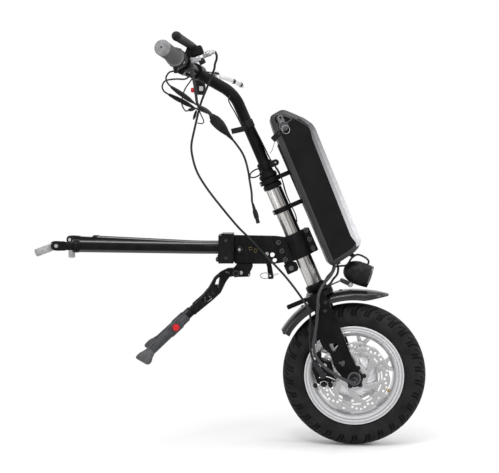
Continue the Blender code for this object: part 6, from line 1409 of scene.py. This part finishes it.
def make_hanging_cord(look):
    """The free charging lead: it leaves the junction's tip and hangs to its plug."""
    start, corner = np.array((-0.058, -0.054, 0.65)), np.array((-0.0391, -0.04, 0.5919))
    ahead = (corner - start) / np.linalg.norm(corner - start)
    top, end = np.array((-0.0536, -0.0388, 0.4393)), np.array((-0.0593, -0.0393, 0.3969))
    back = (top - end) / np.linalg.norm(top - end)
    route = [corner + ahead * 0.0003, corner + ahead * 0.012, (-0.0304, -0.0368, 0.5568),
        (-0.03, -0.0368, 0.5365), (-0.034, -0.0372, 0.5113), (-0.0388, -0.0375, 0.493),
        (-0.0457, -0.0381, 0.4659), top + back * 0.008, top + back * 0.0003]
    path = flowing(route, 38)
    size = look.cord_diameter
    cord = finished("charging_cord", [moved(carried(path, 14, size / 2), STEER)], "sheath", "bar",
        "hanging_cord", crease=60)
    length = float(np.linalg.norm(top - end))
    profile = [(0, -0.001), (0.0028, -0.001), (0.003, 0.003), (0.0034, 0.0035), (0.003, 0.004), (0.0036, 0.008),
        (0.0032, 0.0085), (0.0044, 0.013), (0.0054, 0.016), (0.0056, 0.024), (0.0053, length - 0.0125),
        (0.0042, length - 0.0115), (0.0042, length), (0.0024, length), (0.0024, length - 0.008),
        (0, length - 0.008)]
    made = finished("charging_plug", [moved(turned(profile, 36), along(top, end))], "moulded", "bar",
        "cord_plug")


def connector(first, last, radius, ribs=0):
    """In-line connector: a tapered body with a parting groove; ribs are grooves along its length."""
    length = float(np.linalg.norm(np.array(last) - np.array(first)))
    share = np.concatenate([np.linspace(0, 0.46, 14), [0.47, 0.48, 0.5, 0.51], np.linspace(0.53, 1, 14)])
    r = radius * np.interp(share, [0, 0.05, 0.3, 0.46, 0.48, 0.5, 0.53, 0.75, 0.95, 1],
        [0.35, 0.62, 0.95, 1.0, 0.84, 0.84, 1.08, 0.95, 0.5, 0.35])
    if ribs:
        r *= 1 - 0.16 * (np.sin(ribs * TAU * share) > 0)
    profile = [(0, 0)] + list(zip(r, share * length)) + [(0, length)]
    return moved(turned(profile, 24), along(first, last))


def make_leads(look):
    """Every lead that is held at both ends, their connectors, the junction moulding, strap and tie."""
    on_bar_side = ("throttle_line", "switch_line", "horn_line", "bar_sleeve", "node_sleeve", "spare_loop",
        "stem_line_rear")
    for name in LEADS:
        lead(name, "bar" if name in on_bar_side else "steering")
    joins = [connector((-0.1017, -0.168, 0.733), (-0.0771, -0.1021, 0.6888), 0.0052),
        connector((-0.1173, -0.1307, 0.7256), (-0.0819, -0.0925, 0.681), 0.005),
        connector((-0.0818, -0.0714, 0.6765), (-0.0962, -0.0726, 0.6601), 0.003)]
    finished("line_connectors", joins, "moulded_edge", "bar", crease=40)
    ribbed = [connector((-0.1026, -0.0311, 0.6877), (-0.0839, -0.0575, 0.6827), 0.004, 7)]
    finished("ribbed_connector", ribbed, "moulded", "bar", crease=40)
    top, end = np.array((-0.059, -0.058, 0.657)), np.array((-0.0378, -0.0412, 0.5895))
    length = float(np.linalg.norm(end - top))
    share = np.linspace(0, 1, 30)
    half = 0.012 * np.interp(share, [0, 0.06, 0.22, 0.42, 0.6, 0.8, 1.0],
        [0.3, 0.55, 0.92, 1.0, 0.8, 0.42, 0.24])
    moulding = turned([(0, 0)] + list(zip(half, share * length)) + [(0, length)], 32)
    lobe = turned(tenths((0, 80), (58, 100), (72, 180), (66, 300), (30, 380), (0, 385)), 24)
    at = along(top, end)
    flat = np.diag([1.0, 0.62, 1.0, 1.0])
    finished("lead_junction_moulding", [moved(moulding, at @ flat), moved(lobe, at @ shift(0.0055, 0, 0))],
        "moulded_edge", "bar", "lead_junction", crease=50)
    strap = flowing(tenths((-324, -430, 6055), (-220, -400, 6035), (-64, -320, 6007), (10, -150, 5990)), 20)
    band = tenths((10, -60), (10, 60), (-10, 60), (-10, -60))
    finished("junction_strap", [moved(carried(strap, 4, 1.0, False, band), STEER)], "moulded", "bar")
    tie = ringed((0, 0, 0), 0.015, 0.0016, STEER @ shift(-0.0205, -0.029, 0.5004) @ turn("Y", -8)
        @ turn("X", 62))
    finished("cord_tie", [tie], "moulded", "bar")


# Coupling, arms and stand.

def on_two_sides(matrix, out):
    """Frames at both sides of the middle plane whose z points outwards."""
    return [matrix @ shift(0, -face * out, 0) @ outwards(face) for face in (1, -1)]


def ring_bolt(radius, height, matrix):
    """A low button bolt with a broad bright-edged rim round its socket."""
    r, h = radius, height
    profile = [(0, -0.001), (r, -0.001), (r, h * 0.55), (r * 0.93, h * 0.82), (r * 0.8, h), (r * 0.62, h),
        (r * 0.54, h * 0.5), (0, h * 0.45)]
    return moved(turned(profile, 30, (6,)), matrix)


def painted_highlight_ring(radius, matrix):
    """A thin ring on a bolt's edge that stands for the light caught there: a painted highlight, r^2 = (rho -
    R)^2 + h^2.
    """
    return ringed((0, 0, 0), radius, 0.0006, matrix @ turn("X", 90))


PIVOT_AT = GROUND @ shift(-0.0227, 0, 0.44)
LOCK_PIN_AT = GROUND @ shift(0.039, 0, 0.4303)
PLATE_OUT = 0.014  # outer face of the coupling plates
CLAMP_OUT = 0.0138  # outer face of the half clamps' flanges


def make_coupling(look):
    """Two coupling plates with their half clamps, six ring bolts with heads on both sides and a painted
    highlight ring on each, the pivot bolt and the small screws, drawn as bronze rings of painted highlight."""
    outline = softened(tenths((600, 4700), (-347, 4720), (-347, 4120), (-307, 4080), (560, 4080), (740, 4110),
        (1013, 4154), (786, 4676)), 0.002, 4)
    holes = [circle((-0.0227, 0.44), 0.0053, 20), circle((0.0512, 0.4277), 0.0056, 20),
        circle((0.0566, 0.4156), 0.005, 20), circle((0.039, 0.4303), 0.005, 20)]
    low, high, edge = 0.2875, 0.3445, 0.0565
    a = np.linspace(edge, math.pi - edge, 24)
    for name, s in (("near", 1), ("far", -1)):
        parts = [side_plate(outline, s * 0.0064, s * PLATE_OUT, 0.001, holes, GROUND)]
        outer = np.stack([0.0262 * np.cos(a), -s * 0.0262 * np.sin(a)], -1)
        inner = np.stack([0.0184 * np.cos(a[::-1]), -s * 0.0184 * np.sin(a[::-1])], -1)
        parts.append(plate(np.vstack([outer, inner]), low, high, 0.001, (), COLUMN))
        for first, last in ((-0.045, -0.0195), (0.0195, 0.0372)):
            corners = [(first, low + 0.0006), (last, low + 0.0006), (last, high - 0.0006),
                (first, high - 0.0006)]
            parts.append(side_plate(softened(corners, 0.003, 5), s * 0.001, s * CLAMP_OUT, 0.0012, [], COLUMN))
        finished(f"coupling_{name}", parts, "anodised_edge", "column", f"coupling_plate_{name}")
    # A lighter ring on each bolt's edge: a painted highlight.
    bolts, rims = [], []
    for x, z in tenths((291, 3399), (281, 3186), (271, 2975), (-384, 3395), (-390, 3190), (-398, 2985)):
        for at in on_two_sides(COLUMN @ shift(x, 0, z), CLAMP_OUT):
            bolts.append(ring_bolt(0.0055, 0.0036, at))
            rims.append(painted_highlight_ring(0.0047, at @ shift(0, 0, 0.0032)))
    finished("clamp_bolts", bolts, "black_steel", "column")
    finished("clamp_bolt_highlight_rims", rims, "dark_steel", "column")
    # The small screws are only bronze rings: the bronze is their own colour, the ring is a painted highlight.
    brassy = [painted_highlight_ring(0.0036, at @ shift(0, 0, 0.0003)) for x, z in ((0.0022, 0.442), (0.0134, 0.4375))
        for at in on_two_sides(GROUND @ shift(x, 0, z), PLATE_OUT)]
    finished("plate_screws", brassy, "bronze", "column")
    pivot = [ring_bolt(0.0085, 0.0036, at) for at in on_two_sides(PIVOT_AT, 0.0143)]
    shank = turned(tenths((0, -150), (49, -150), (49, 150), (0, 150)), 28)
    pivot.append(moved(shank, PIVOT_AT @ SIDEWAYS))
    finished("pivot_bolt", pivot, "black_steel", "wheelchair_side", "tilt_bolt")
    studs = [cap_bolt(0.0034, 0.0022, at) for at in on_two_sides(PIVOT_AT, 0.0168)]
    finished("pivot_studs", studs, "dull_steel", "wheelchair_side")


def make_release(look):
    """Lock lever with its pin, the wire ring, the link chain and the block that anchors it."""
    lock = LOCK_PIN_AT
    head = softened(tenths((-195, -40), (-195, 100), (0, 125), (70, 40), (105, -300), (0, -300), (-40, -120)),
        0.003, 5)
    blade = softened(tenths((0, -240), (105, -240), (155, -520), (145, -570), (30, -575)), 0.0025, 5)
    pin = turned(tenths((0, -152), (40, -152), (45, -146), (45, 146), (40, 152), (0, 152)), 30)
    parts = [side_plate(head, 0.0056, -0.0056, 0.0012, [], lock),
        side_plate(blade, 0.0026, -0.0026, 0.001, [circle((0.007, -0.05), 0.0024, 16)], lock)]
    finished("lock_lever", parts, "powder_coat_edge", "release", "release_lever")
    finished("lock_pin", [moved(pin, lock @ SIDEWAYS)], "dull_steel", "release")
    ring = ringed((0, 0, 0), 0.0108, 0.001, lock @ shift(-0.0038, 0, -0.0497) @ turn("X", 50))
    finished("lock_ring", [ring], "dull_steel", "release", "release_ring")
    links = [ringed((0, 0, 0), 0.0019, 0.0004, lock @ shift(x, 0, z) @ turn("Y", 10) @ turn("X", tip), 14)
        for x, z, tip in ((0.016, -0.048, 0), (0.019, -0.0472, 80), (0.022, -0.0464, 0), (0.025, -0.0456, 80))]
    finished("lock_links", links, "dull_steel", "column")
    base = COLUMN @ shift(0, 0, 0.264)
    body = softened(tenths((-480, 0), (-235, 0), (-190, 60), (-190, 180), (-260, 232), (-480, 232)), 0.002, 4)
    finished("anchor_block", [side_plate(body, 0.008, -0.008, 0.001, [], base)], "anodised_edge", "column",
        "wire_anchor")
    at = side_on(base, -0.035, 0.0105, 0.008)
    face = turned(tenths((0, -10), (58, -10), (58, 16), (52, 22), (34, 22), (32, 14), (0, 14)), 30, (4, 5))
    finished("anchor_bolt", [moved(face, at)], "dark_steel", "column")


ARM_OUT, ARM_UP = 0.048, 0.445  # where the arms leave the cross block
# For each side: the arm's frame, its face, how far its insert is out and how far its peg hangs down.
ARMS = {side: (GROUND @ shift(-0.115, -face * ARM_OUT, ARM_UP) @ turn("Z", 180.0 + face * 21.0)
    @ turn("Y", -1.8), face, out, drop) for side, face, out, drop in (("near", 1, 0.0371, 21.8),
    ("far", -1, 0.061, 91.8))}


def tube_at(profile, matrix, sides=40, closed=True):
    """A turned surface whose axis lies along x."""
    return moved(turned(profile, sides, (), closed), matrix @ AHEAD)


def make_arms(look):
    """Arm tubes with their mouths and painted highlight lines, inserts with slotted knuckles, and the sleeved
    pegs.
    """
    for side, (arm, face, out, drop) in ARMS.items():
        bent = [put(np.array([x, -face * ARM_OUT, ARM_UP]), GROUND) for x in (-0.044, -0.071, -0.098)]
        bent += [put(np.array([x, 0.0, 0.0]), arm) for x in (0.017, 0.05, 0.12, 0.2, 0.2735)]
        tube = carried(flowing(bent, 60), 40, TUBE)
        mouth = tube_at(tenths((94, 2620), (128, 2620), (137, 2628), (137, 2738), (128, 2752), (94, 2752)), arm)
        rings = tube[0][:-2].reshape(-1, 40, 3)
        # Painted highlights: a pale line near the top of each tube and a fainter stripe low down, where lamps
        # reflect.
        up = ((rings[..., 2] - rings[..., 2].mean(1, keepdims=True)) / TUBE).ravel()
        painted_highlight = np.interp(up, [-0.95, -0.88, -0.62, -0.5, 0.7, 0.78, 0.84, 0.9], [0, 0.26, 0.2, 0, 0, 1, 1, 0])
        painted_highlight = np.concatenate([painted_highlight, np.zeros(2 + len(mouth[0]))])
        finished(f"arm_{side}", [tube, mouth], "arm_coat_painted_highlights", "wheelchair_side", f"arm_tube_{side}", crease=40,
            painted_light_and_tone_values=painted_highlight)
        end = 0.2745 + out
        bar = tube_at([(0, 0.145), (0.009, 0.145), (0.009, end - 0.015), (0.0086, end - 0.013),
            (0, end - 0.013)], arm, 36, False)
        cheeks = [side_plate(long_round((end - 0.01, 0), (end, 0), 0.01), s * 0.004, s * 0.0095, 0.0016, [],
            arm) for s in (1, -1)]
        root = [side_plate(softened([(end - 0.02, -0.0098), (end - 0.0128, -0.0098), (end - 0.0128, 0.0098),
            (end - 0.02, 0.0098)], 0.002, 4), 0.0094, -0.0094, 0.0016, [], arm)]
        finished(f"insert_{side}", [bar] + cheeks + root, "powder_coat", f"insert_{side}", f"arm_insert_{side}")
        pins = [cap_bolt(0.004, 0.0012, at) for at in on_two_sides(arm @ shift(end, 0, 0), 0.0094)]
        finished(f"knuckle_pin_{side}", pins, "dull_steel", f"insert_{side}")
        peg = arm @ shift(end, 0, 0) @ turn("Y", drop)
        tang = side_plate(long_round((0, 0), (0.015, 0), 0.0076), 0.0034, -0.0034, 0.0008,
            [circle((0, 0), 0.003, 16)], peg)
        z = np.linspace(0.0125, 0.04, 34)
        rib = 0.0082 - 0.0005 * (np.sin(TAU * (z - 0.0125) / 0.0031) > 0.2)
        sleeve = tube_at([(0, 0.0125)] + list(zip(rib, z)) + tenths((78, 418), (66, 432), (40, 440), (0, 440)),
            peg, 36, False)
        finished(f"peg_{side}_tang", [tang], "dull_steel", f"peg_{side}")
        finished(f"peg_{side}_sleeve", [sleeve], "peg_sleeve", f"peg_{side}", f"support_peg_{side}")
    lid = block((-0.062, -0.056, 0.4725), (-0.0352, 0.056, 0.4762), 0.0012, GROUND)
    finished("carrier_lid", [lid], "powder_coat_edge", "wheelchair_side")
    heads = [nut(0.0062, 0.0046, GROUND @ shift(-0.068, s * 0.06, 0.421) @ turn("Y", -90)) for s in (1, -1)]
    heads += [cap_bolt(0.004, 0.002, GROUND @ shift(-0.0515, s * 0.068, z) @ turn("X", -s * 90))
        for s in (1, -1) for z in (0.424, 0.462)]
    finished("carrier_bolts", heads, "black_steel", "wheelchair_side")


STAND = GROUND @ shift(-0.03, 0, 0.388) @ turn("Y", -133.0)
STAND_LEGS = {side: (STAND @ shift(0, -face * 0.026, 0) @ turn("X", face * 15.0), face)
    for side, face in (("near", 1), ("far", -1))}


def make_stand(look):
    """Lower stand tubes with their sleeves and bosses, red buttons, shoes, and the legs' screws."""
    for side, (leg, face) in STAND_LEGS.items():
        axis = leg @ shift(0.005, 0, 0)
        tube = turned(tenths((79, 1460), (92, 1460), (98, 1468), (98, 1640), (110, 1662), (114, 1680),
            (114, 1970), (110, 1988), (98, 2010), (98, 2575), (79, 2575)), 40, closed=True)
        boss = axis @ shift(0, -face * 0.0085, 0.182) @ outwards(face)
        cup = turned(tenths((79, 0), (105, 0), (102, 66), (94, 75), (84, 75), (79, 70)), 36, closed=True)
        finished(f"stand_{side}_lower", [moved(tube, axis), moved(cup, boss)], "stand_metal",
            f"stand_slide_{side}", f"stand_tube_{side}")
        cap = turned(tenths((0, 27), (74, 27), (75, 80), (70, 87), (50, 90), (0, 91)), 36)
        finished(f"stand_{side}_button", [moved(cap, boss)], "signal_red", f"stand_catch_{side}",
            f"stand_button_{side}")
        sole = softened(tenths((185, 2890), (30, 2846), (-138, 2795), (-128, 2690), (-70, 2620), (-50, 2530),
            (150, 2530), (160, 2640), (196, 2750)), 0.0066, 6)
        shoe = side_plate(sole, 0.0148, -0.0148, 0.006, [], leg)
        finished(f"stand_{side}_shoe", [shoe], "stand_rubber", f"stand_slide_{side}", f"stand_foot_{side}")
        screw = turned(tenths((0, -50), (26, -50), (26, 50), (0, 50)), 20)
        head = [moved(screw, leg @ shift(0.003, 0, 0.069) @ SIDEWAYS)]
        eye = turned(tenths((44, 0), (74, 0), (74, 12), (68, 18), (44, 18)), 32, closed=True)
        head.append(moved(eye, STAND @ shift(0, -face * 0.032, 0) @ outwards(face)))
        finished(f"stand_{side}_screws", head, "black_steel", "stand")
    disc = cap_bolt(0.005, 0.01, shift(-0.0596, -0.0385, 0.3445) @ SIDEWAYS)
    finished("stand_near_disc", [disc], "dull_steel", "stand")
    bolts = [nut(0.0046, 0.004, at) for at in on_two_sides(GROUND @ shift(-0.019, 0, 0.389), 0.02)]
    hook = tenths((-10, -180, 3930), (10, -180, 3880), (5, -180, 3830), (-35, -180, 3795))
    finished("stand_mount_bolts", bolts, "dull_steel", "column")
    finished("stand_hook", [line(hook, 24, 10, 0.0011, GROUND)], "black_steel", "column")


def make_cradle(look):
    """Battery rail with its edges turned in, and two bands round the column with their arms."""
    channel = tenths((462, -280), (520, -280), (520, 280), (462, 280), (462, 200), (490, 185), (490, -185),
        (462, -200))
    parts = [plate(softened(channel, 0.001, 4), 0.2705, 0.5398, 0.001, (), COLUMN)]
    bands = ((0.4035, 0.018), (0.4733, 0.0195))  # (height, radius of its seat)
    for at, seat in bands:
        parts.append(hoop(seat + 0.0002, seat + 0.004, 0.0055, (0.001, 0.0008), COLUMN @ shift(0, 0, at), 64))
        parts.append(block((seat + 0.0012, -0.0105, at - 0.005), (0.0475, 0.0105, at + 0.005), 0.0016, COLUMN))
        parts += [block((-seat - 0.005, s * 0.0038 - 0.0026, at - 0.005),
            (-seat - 0.0012, s * 0.0038 + 0.0026, at + 0.005), 0.0012, COLUMN) for s in (1, -1)]
    finished("cradle", parts, "anodised_edge", "column", "battery_cradle")
    bolts = [cap_bolt(0.0024, 0.0022, here) for at, seat in bands
        for here in on_two_sides(COLUMN @ shift(-seat - 0.0034, 0, at), 0.0064)]
    finished("cradle_bolts", bolts, "dull_steel", "column")


CALLIPER_OUT = 0.0565  # near face of the calliper


def make_calliper_trim(look):
    """Knobs, cable clip and pad screws on the brake calliper, and its lever arm."""
    knobs = []
    knob = turned(tenths((0, 0), (50, 0), (52, 10), (48, 18), (52, 26), (50, 46), (30, 52), (0, 52)), 30)
    for x, z in ((-0.085, 0.0189), (-0.0669, 0.0129), (-0.0537, 0.0066)):
        knobs.append(moved(knob, side_on(STEER, x, z, CALLIPER_OUT)))
    finished("calliper_knobs", knobs, "moulded", "steering")
    clip = tenths((-700, -625, 330), (-620, -630, 300), (-540, -630, 285), (-470, -630, 230), (-400, -625, 150))
    bits = [line(clip, 40, 12, 0.0014, STEER)]
    bits += [cap_bolt(0.0046, 0.0024, side_on(STEER, x, z, CALLIPER_OUT))
        for x, z in ((-0.06, 0.056), (-0.048, 0.052))]
    bits += [cap_bolt(0.0036, 0.003, side_on(STEER, x, z, 0.0598))
        for x, z in ((-0.064, 0.075), (-0.0675, 0.066))]
    bits.append(ringed((-0.0669, -0.059, 0.0129), 0.0084, 0.0009, STEER))
    finished("calliper_metal", bits, "bright_steel", "steering")
    at = STEER @ shift(-0.06, -0.0608, 0.034)
    arm = side_plate(long_round((0, 0), (-0.006, 0.03), 0.0058), 0.0, 0.0032, 0.0008, [], at)
    hub = turned(tenths((0, 2), (74, 2), (75, 46), (68, 54), (30, 54), (28, 44), (0, 44)), 32)
    clamp = turned(tenths((0, 20), (36, 20), (36, 68), (30, 74), (0, 74)), 24)
    finished("calliper_lever_arm", [arm, moved(hub, at @ SIDEWAYS),
        moved(clamp, at @ shift(-0.006, 0, 0.03) @ SIDEWAYS)], "black_steel", "calliper_lever", "calliper_arm")
    bridge = softened(tenths((-760, 640), (-640, 780), (-500, 860), (-430, 820), (-480, 700), (-600, 600)),
        0.004, 5)
    finished("calliper_bridge", [side_plate(bridge, 0.06, 0.047, 0.0012, [], STEER)], "anodised_edge",
        "steering")


# Settings, operators and panel.

def colour_setting(name, description, default):
    """A setting that holds a colour."""
    return bpy.props.FloatVectorProperty(name=name, description=description, default=default, size=3, min=0,
        max=1, subtype="COLOR")


def length_setting(name, description, default, high=1.0):
    """A setting that holds a length."""
    return bpy.props.FloatProperty(name=name, description=description, default=default, min=0.0, max=high,
        unit="LENGTH", precision=4)


class AttachmentLooks(bpy.types.PropertyGroup):
    """Colours of the finishes and sizes of the detail that a user would change."""
    paint: colour_setting("Paint", "Black powder coat of the fork, bar and arms", (0.006, 0.006, 0.0066))
    silver: colour_setting("Silver", "Bare and cast metal of the head tube, rim and disc", (0.6, 0.6, 0.61))
    rubber: colour_setting("Rubber", "Tyre and other rubber", (0.01, 0.01, 0.0108))
    grip: colour_setting("Grips", "Rubber of the two handlebar grips", (0.2, 0.2, 0.205))
    peg: colour_setting("Pegs", "Sleeves of the support pegs", (0.3, 0.3, 0.305))
    battery: colour_setting("Battery", "Grained plastic of the battery case", (0.022, 0.0225, 0.024))
    stand: colour_setting("Stand", "Tubes of the parking stand", (0.045, 0.046, 0.05))
    signal: colour_setting("Signal", "Horn button and release buttons", (0.5, 0.018, 0.022))
    tread_depth: length_setting("Tread depth", "Depth of the tyre's grooves", 0.0026, 0.004)
    battery_chamfer: length_setting("Battery edge", "Width of the bevel round the battery's side", 0.0085,
        0.012)
    cord_diameter: length_setting("Cord", "Diameter of the hanging lead", 0.0048, 0.006)
    tread_pitches: bpy.props.IntProperty(name="Tread pitches", description="Tread blocks round the tyre",
        default=30, min=12, max=48)
    cover_ribs: bpy.props.IntProperty(name="Cover ribs", description="Ribs on the motor cover", default=12,
        min=4, max=24)
    disc_holes: bpy.props.IntProperty(name="Disc holes", description="Holes in the disc's track", default=48,
        min=12, max=72)


class AttachmentStage(bpy.types.PropertyGroup):
    """Floor, lights and camera."""
    floor: colour_setting("Floor", "Colour of the floor", (0.97, 0.97, 0.97))
    shadow_reach: length_setting("Shadow reach", "Distance at which the floor has faded to white", 0.4, 5.0)
    fill: bpy.props.FloatProperty(name="Fill", description="Strength of the light from all round", default=0.55,
        min=0, max=2)
    key: bpy.props.FloatProperty(name="Key", description="Strength of the soft lamps", default=1.0, min=0,
        max=4)
    distance: length_setting("Distance", "From the camera to the attachment's middle plane", 2.3, 10.0)
    eye_height: length_setting("Eye height", "Height of the camera above the ground", 0.549, 3.0)


def built(context, *makes):
    """Runs the functions of one operator with the scene's settings."""
    for make in makes:
        make(context.scene.attachment_looks)
    return {"FINISHED"}


class ATTACHMENT_OT_stage(bpy.types.Operator):
    """Add the camera, the floor, the white surround and the lamps"""
    bl_idname = "attachment.stage"
    bl_label = "Stage"

    def execute(self, context):
        make_stage(context.scene.attachment_stage)
        return {"FINISHED"}


class ATTACHMENT_OT_cord(bpy.types.Operator):
    """Hang the free lead with its plug"""
    bl_idname = "attachment.cord"
    bl_label = "Hanging lead"

    def execute(self, context):
        return built(context, make_finishes, make_hanging_cord)


class ATTACHMENT_OT_frame(bpy.types.Operator):
    """Dress the frame's own solids in their finishes"""
    bl_idname = "attachment.frame"
    bl_label = "Frame finishes"

    def execute(self, context):
        dress_frame()
        return {"FINISHED"}


class ATTACHMENT_OT_wheel(bpy.types.Operator):
    """Build the tyre, rim, motor cover, brake disc and valve"""
    bl_idname = "attachment.wheel"
    bl_label = "Wheel"

    def execute(self, context):
        return built(context, make_tyre, make_rim_and_cover, make_disc, make_valve)


class ATTACHMENT_OT_battery(bpy.types.Operator):
    """Build the battery, its lock and key, and the cradle behind it"""
    bl_idname = "attachment.battery"
    bl_label = "Battery"

    def execute(self, context):
        return built(context, make_battery, make_key, make_cradle)


class ATTACHMENT_OT_fork(bpy.types.Operator):
    """Build the fender, the lamp, the fork's trim and the calliper's"""
    bl_idname = "attachment.fork"
    bl_label = "Fork and fender"

    def execute(self, context):
        return built(context, make_fender, make_lamp, make_fork_trim, make_calliper_trim)


class ATTACHMENT_OT_column(bpy.types.Operator):
    """Build the head tube, the collar, the stem and the handlebar"""
    bl_idname = "attachment.column"
    bl_label = "Column and bar"

    def execute(self, context):
        return built(context, make_head_tube, make_collar, make_stem_and_bar)


class ATTACHMENT_OT_controls(bpy.types.Operator):
    """Build the grips, perches, brake levers and thumb switch"""
    bl_idname = "attachment.controls"
    bl_label = "Controls"

    def execute(self, context):
        return built(context, make_grips, make_perches, make_levers, make_switch)


class ATTACHMENT_OT_leads(bpy.types.Operator):
    """Build the brake line, the motor lead and the other leads with their connectors"""
    bl_idname = "attachment.leads"
    bl_label = "Leads"

    def execute(self, context):
        return built(context, make_leads)


class ATTACHMENT_OT_coupling(bpy.types.Operator):
    """Build the coupling plates with their bolts, and the release lever"""
    bl_idname = "attachment.coupling"
    bl_label = "Coupling"

    def execute(self, context):
        return built(context, make_coupling, make_release)


class ATTACHMENT_OT_arms(bpy.types.Operator):
    """Build the wheelchair arms, their inserts and the support pegs"""
    bl_idname = "attachment.arms"
    bl_label = "Arms and pegs"

    def execute(self, context):
        return built(context, make_arms)


class ATTACHMENT_OT_stand(bpy.types.Operator):
    """Build the parking stand's lower tubes, shoes, red buttons and bolts"""
    bl_idname = "attachment.stand"
    bl_label = "Stand"

    def execute(self, context):
        return built(context, make_stand)


OPERATORS = (ATTACHMENT_OT_stage, ATTACHMENT_OT_cord, ATTACHMENT_OT_frame, ATTACHMENT_OT_wheel,
    ATTACHMENT_OT_battery, ATTACHMENT_OT_fork, ATTACHMENT_OT_column, ATTACHMENT_OT_controls,
    ATTACHMENT_OT_leads, ATTACHMENT_OT_coupling, ATTACHMENT_OT_arms, ATTACHMENT_OT_stand)


class ATTACHMENT_PT_panel(bpy.types.Panel):
    """Settings of the attachment, and a button for each operator"""
    bl_label = "Attachment"
    bl_idname = "ATTACHMENT_PT_panel"
    bl_space_type = "VIEW_3D"
    bl_region_type = "UI"
    bl_category = "Attachment"

    def draw(self, context):
        for group in (context.scene.attachment_looks, context.scene.attachment_stage):
            box = self.layout.box()
            for name in group.__annotations__:
                box.prop(group, name)
        for each in OPERATORS:
            self.layout.operator(each.bl_idname)


CLASSES = (AttachmentLooks, AttachmentStage, *OPERATORS, ATTACHMENT_PT_panel)


def register():
    """Makes the operators, the settings and the panel known to Blender."""
    for each in CLASSES:
        bpy.utils.register_class(each)
    bpy.types.Scene.attachment_looks = bpy.props.PointerProperty(type=AttachmentLooks)
    bpy.types.Scene.attachment_stage = bpy.props.PointerProperty(type=AttachmentStage)


def unregister():
    """Takes them out again."""
    del bpy.types.Scene.attachment_looks
    del bpy.types.Scene.attachment_stage
    for each in reversed(CLASSES):
        bpy.utils.unregister_class(each)


def main():
    """Registers the add-on and runs every operator in the panel's order."""
    register()
    for each in OPERATORS:
        getattr(bpy.ops.attachment, each.bl_idname.split(".")[1])()


if __name__ == "__main__":
    main()
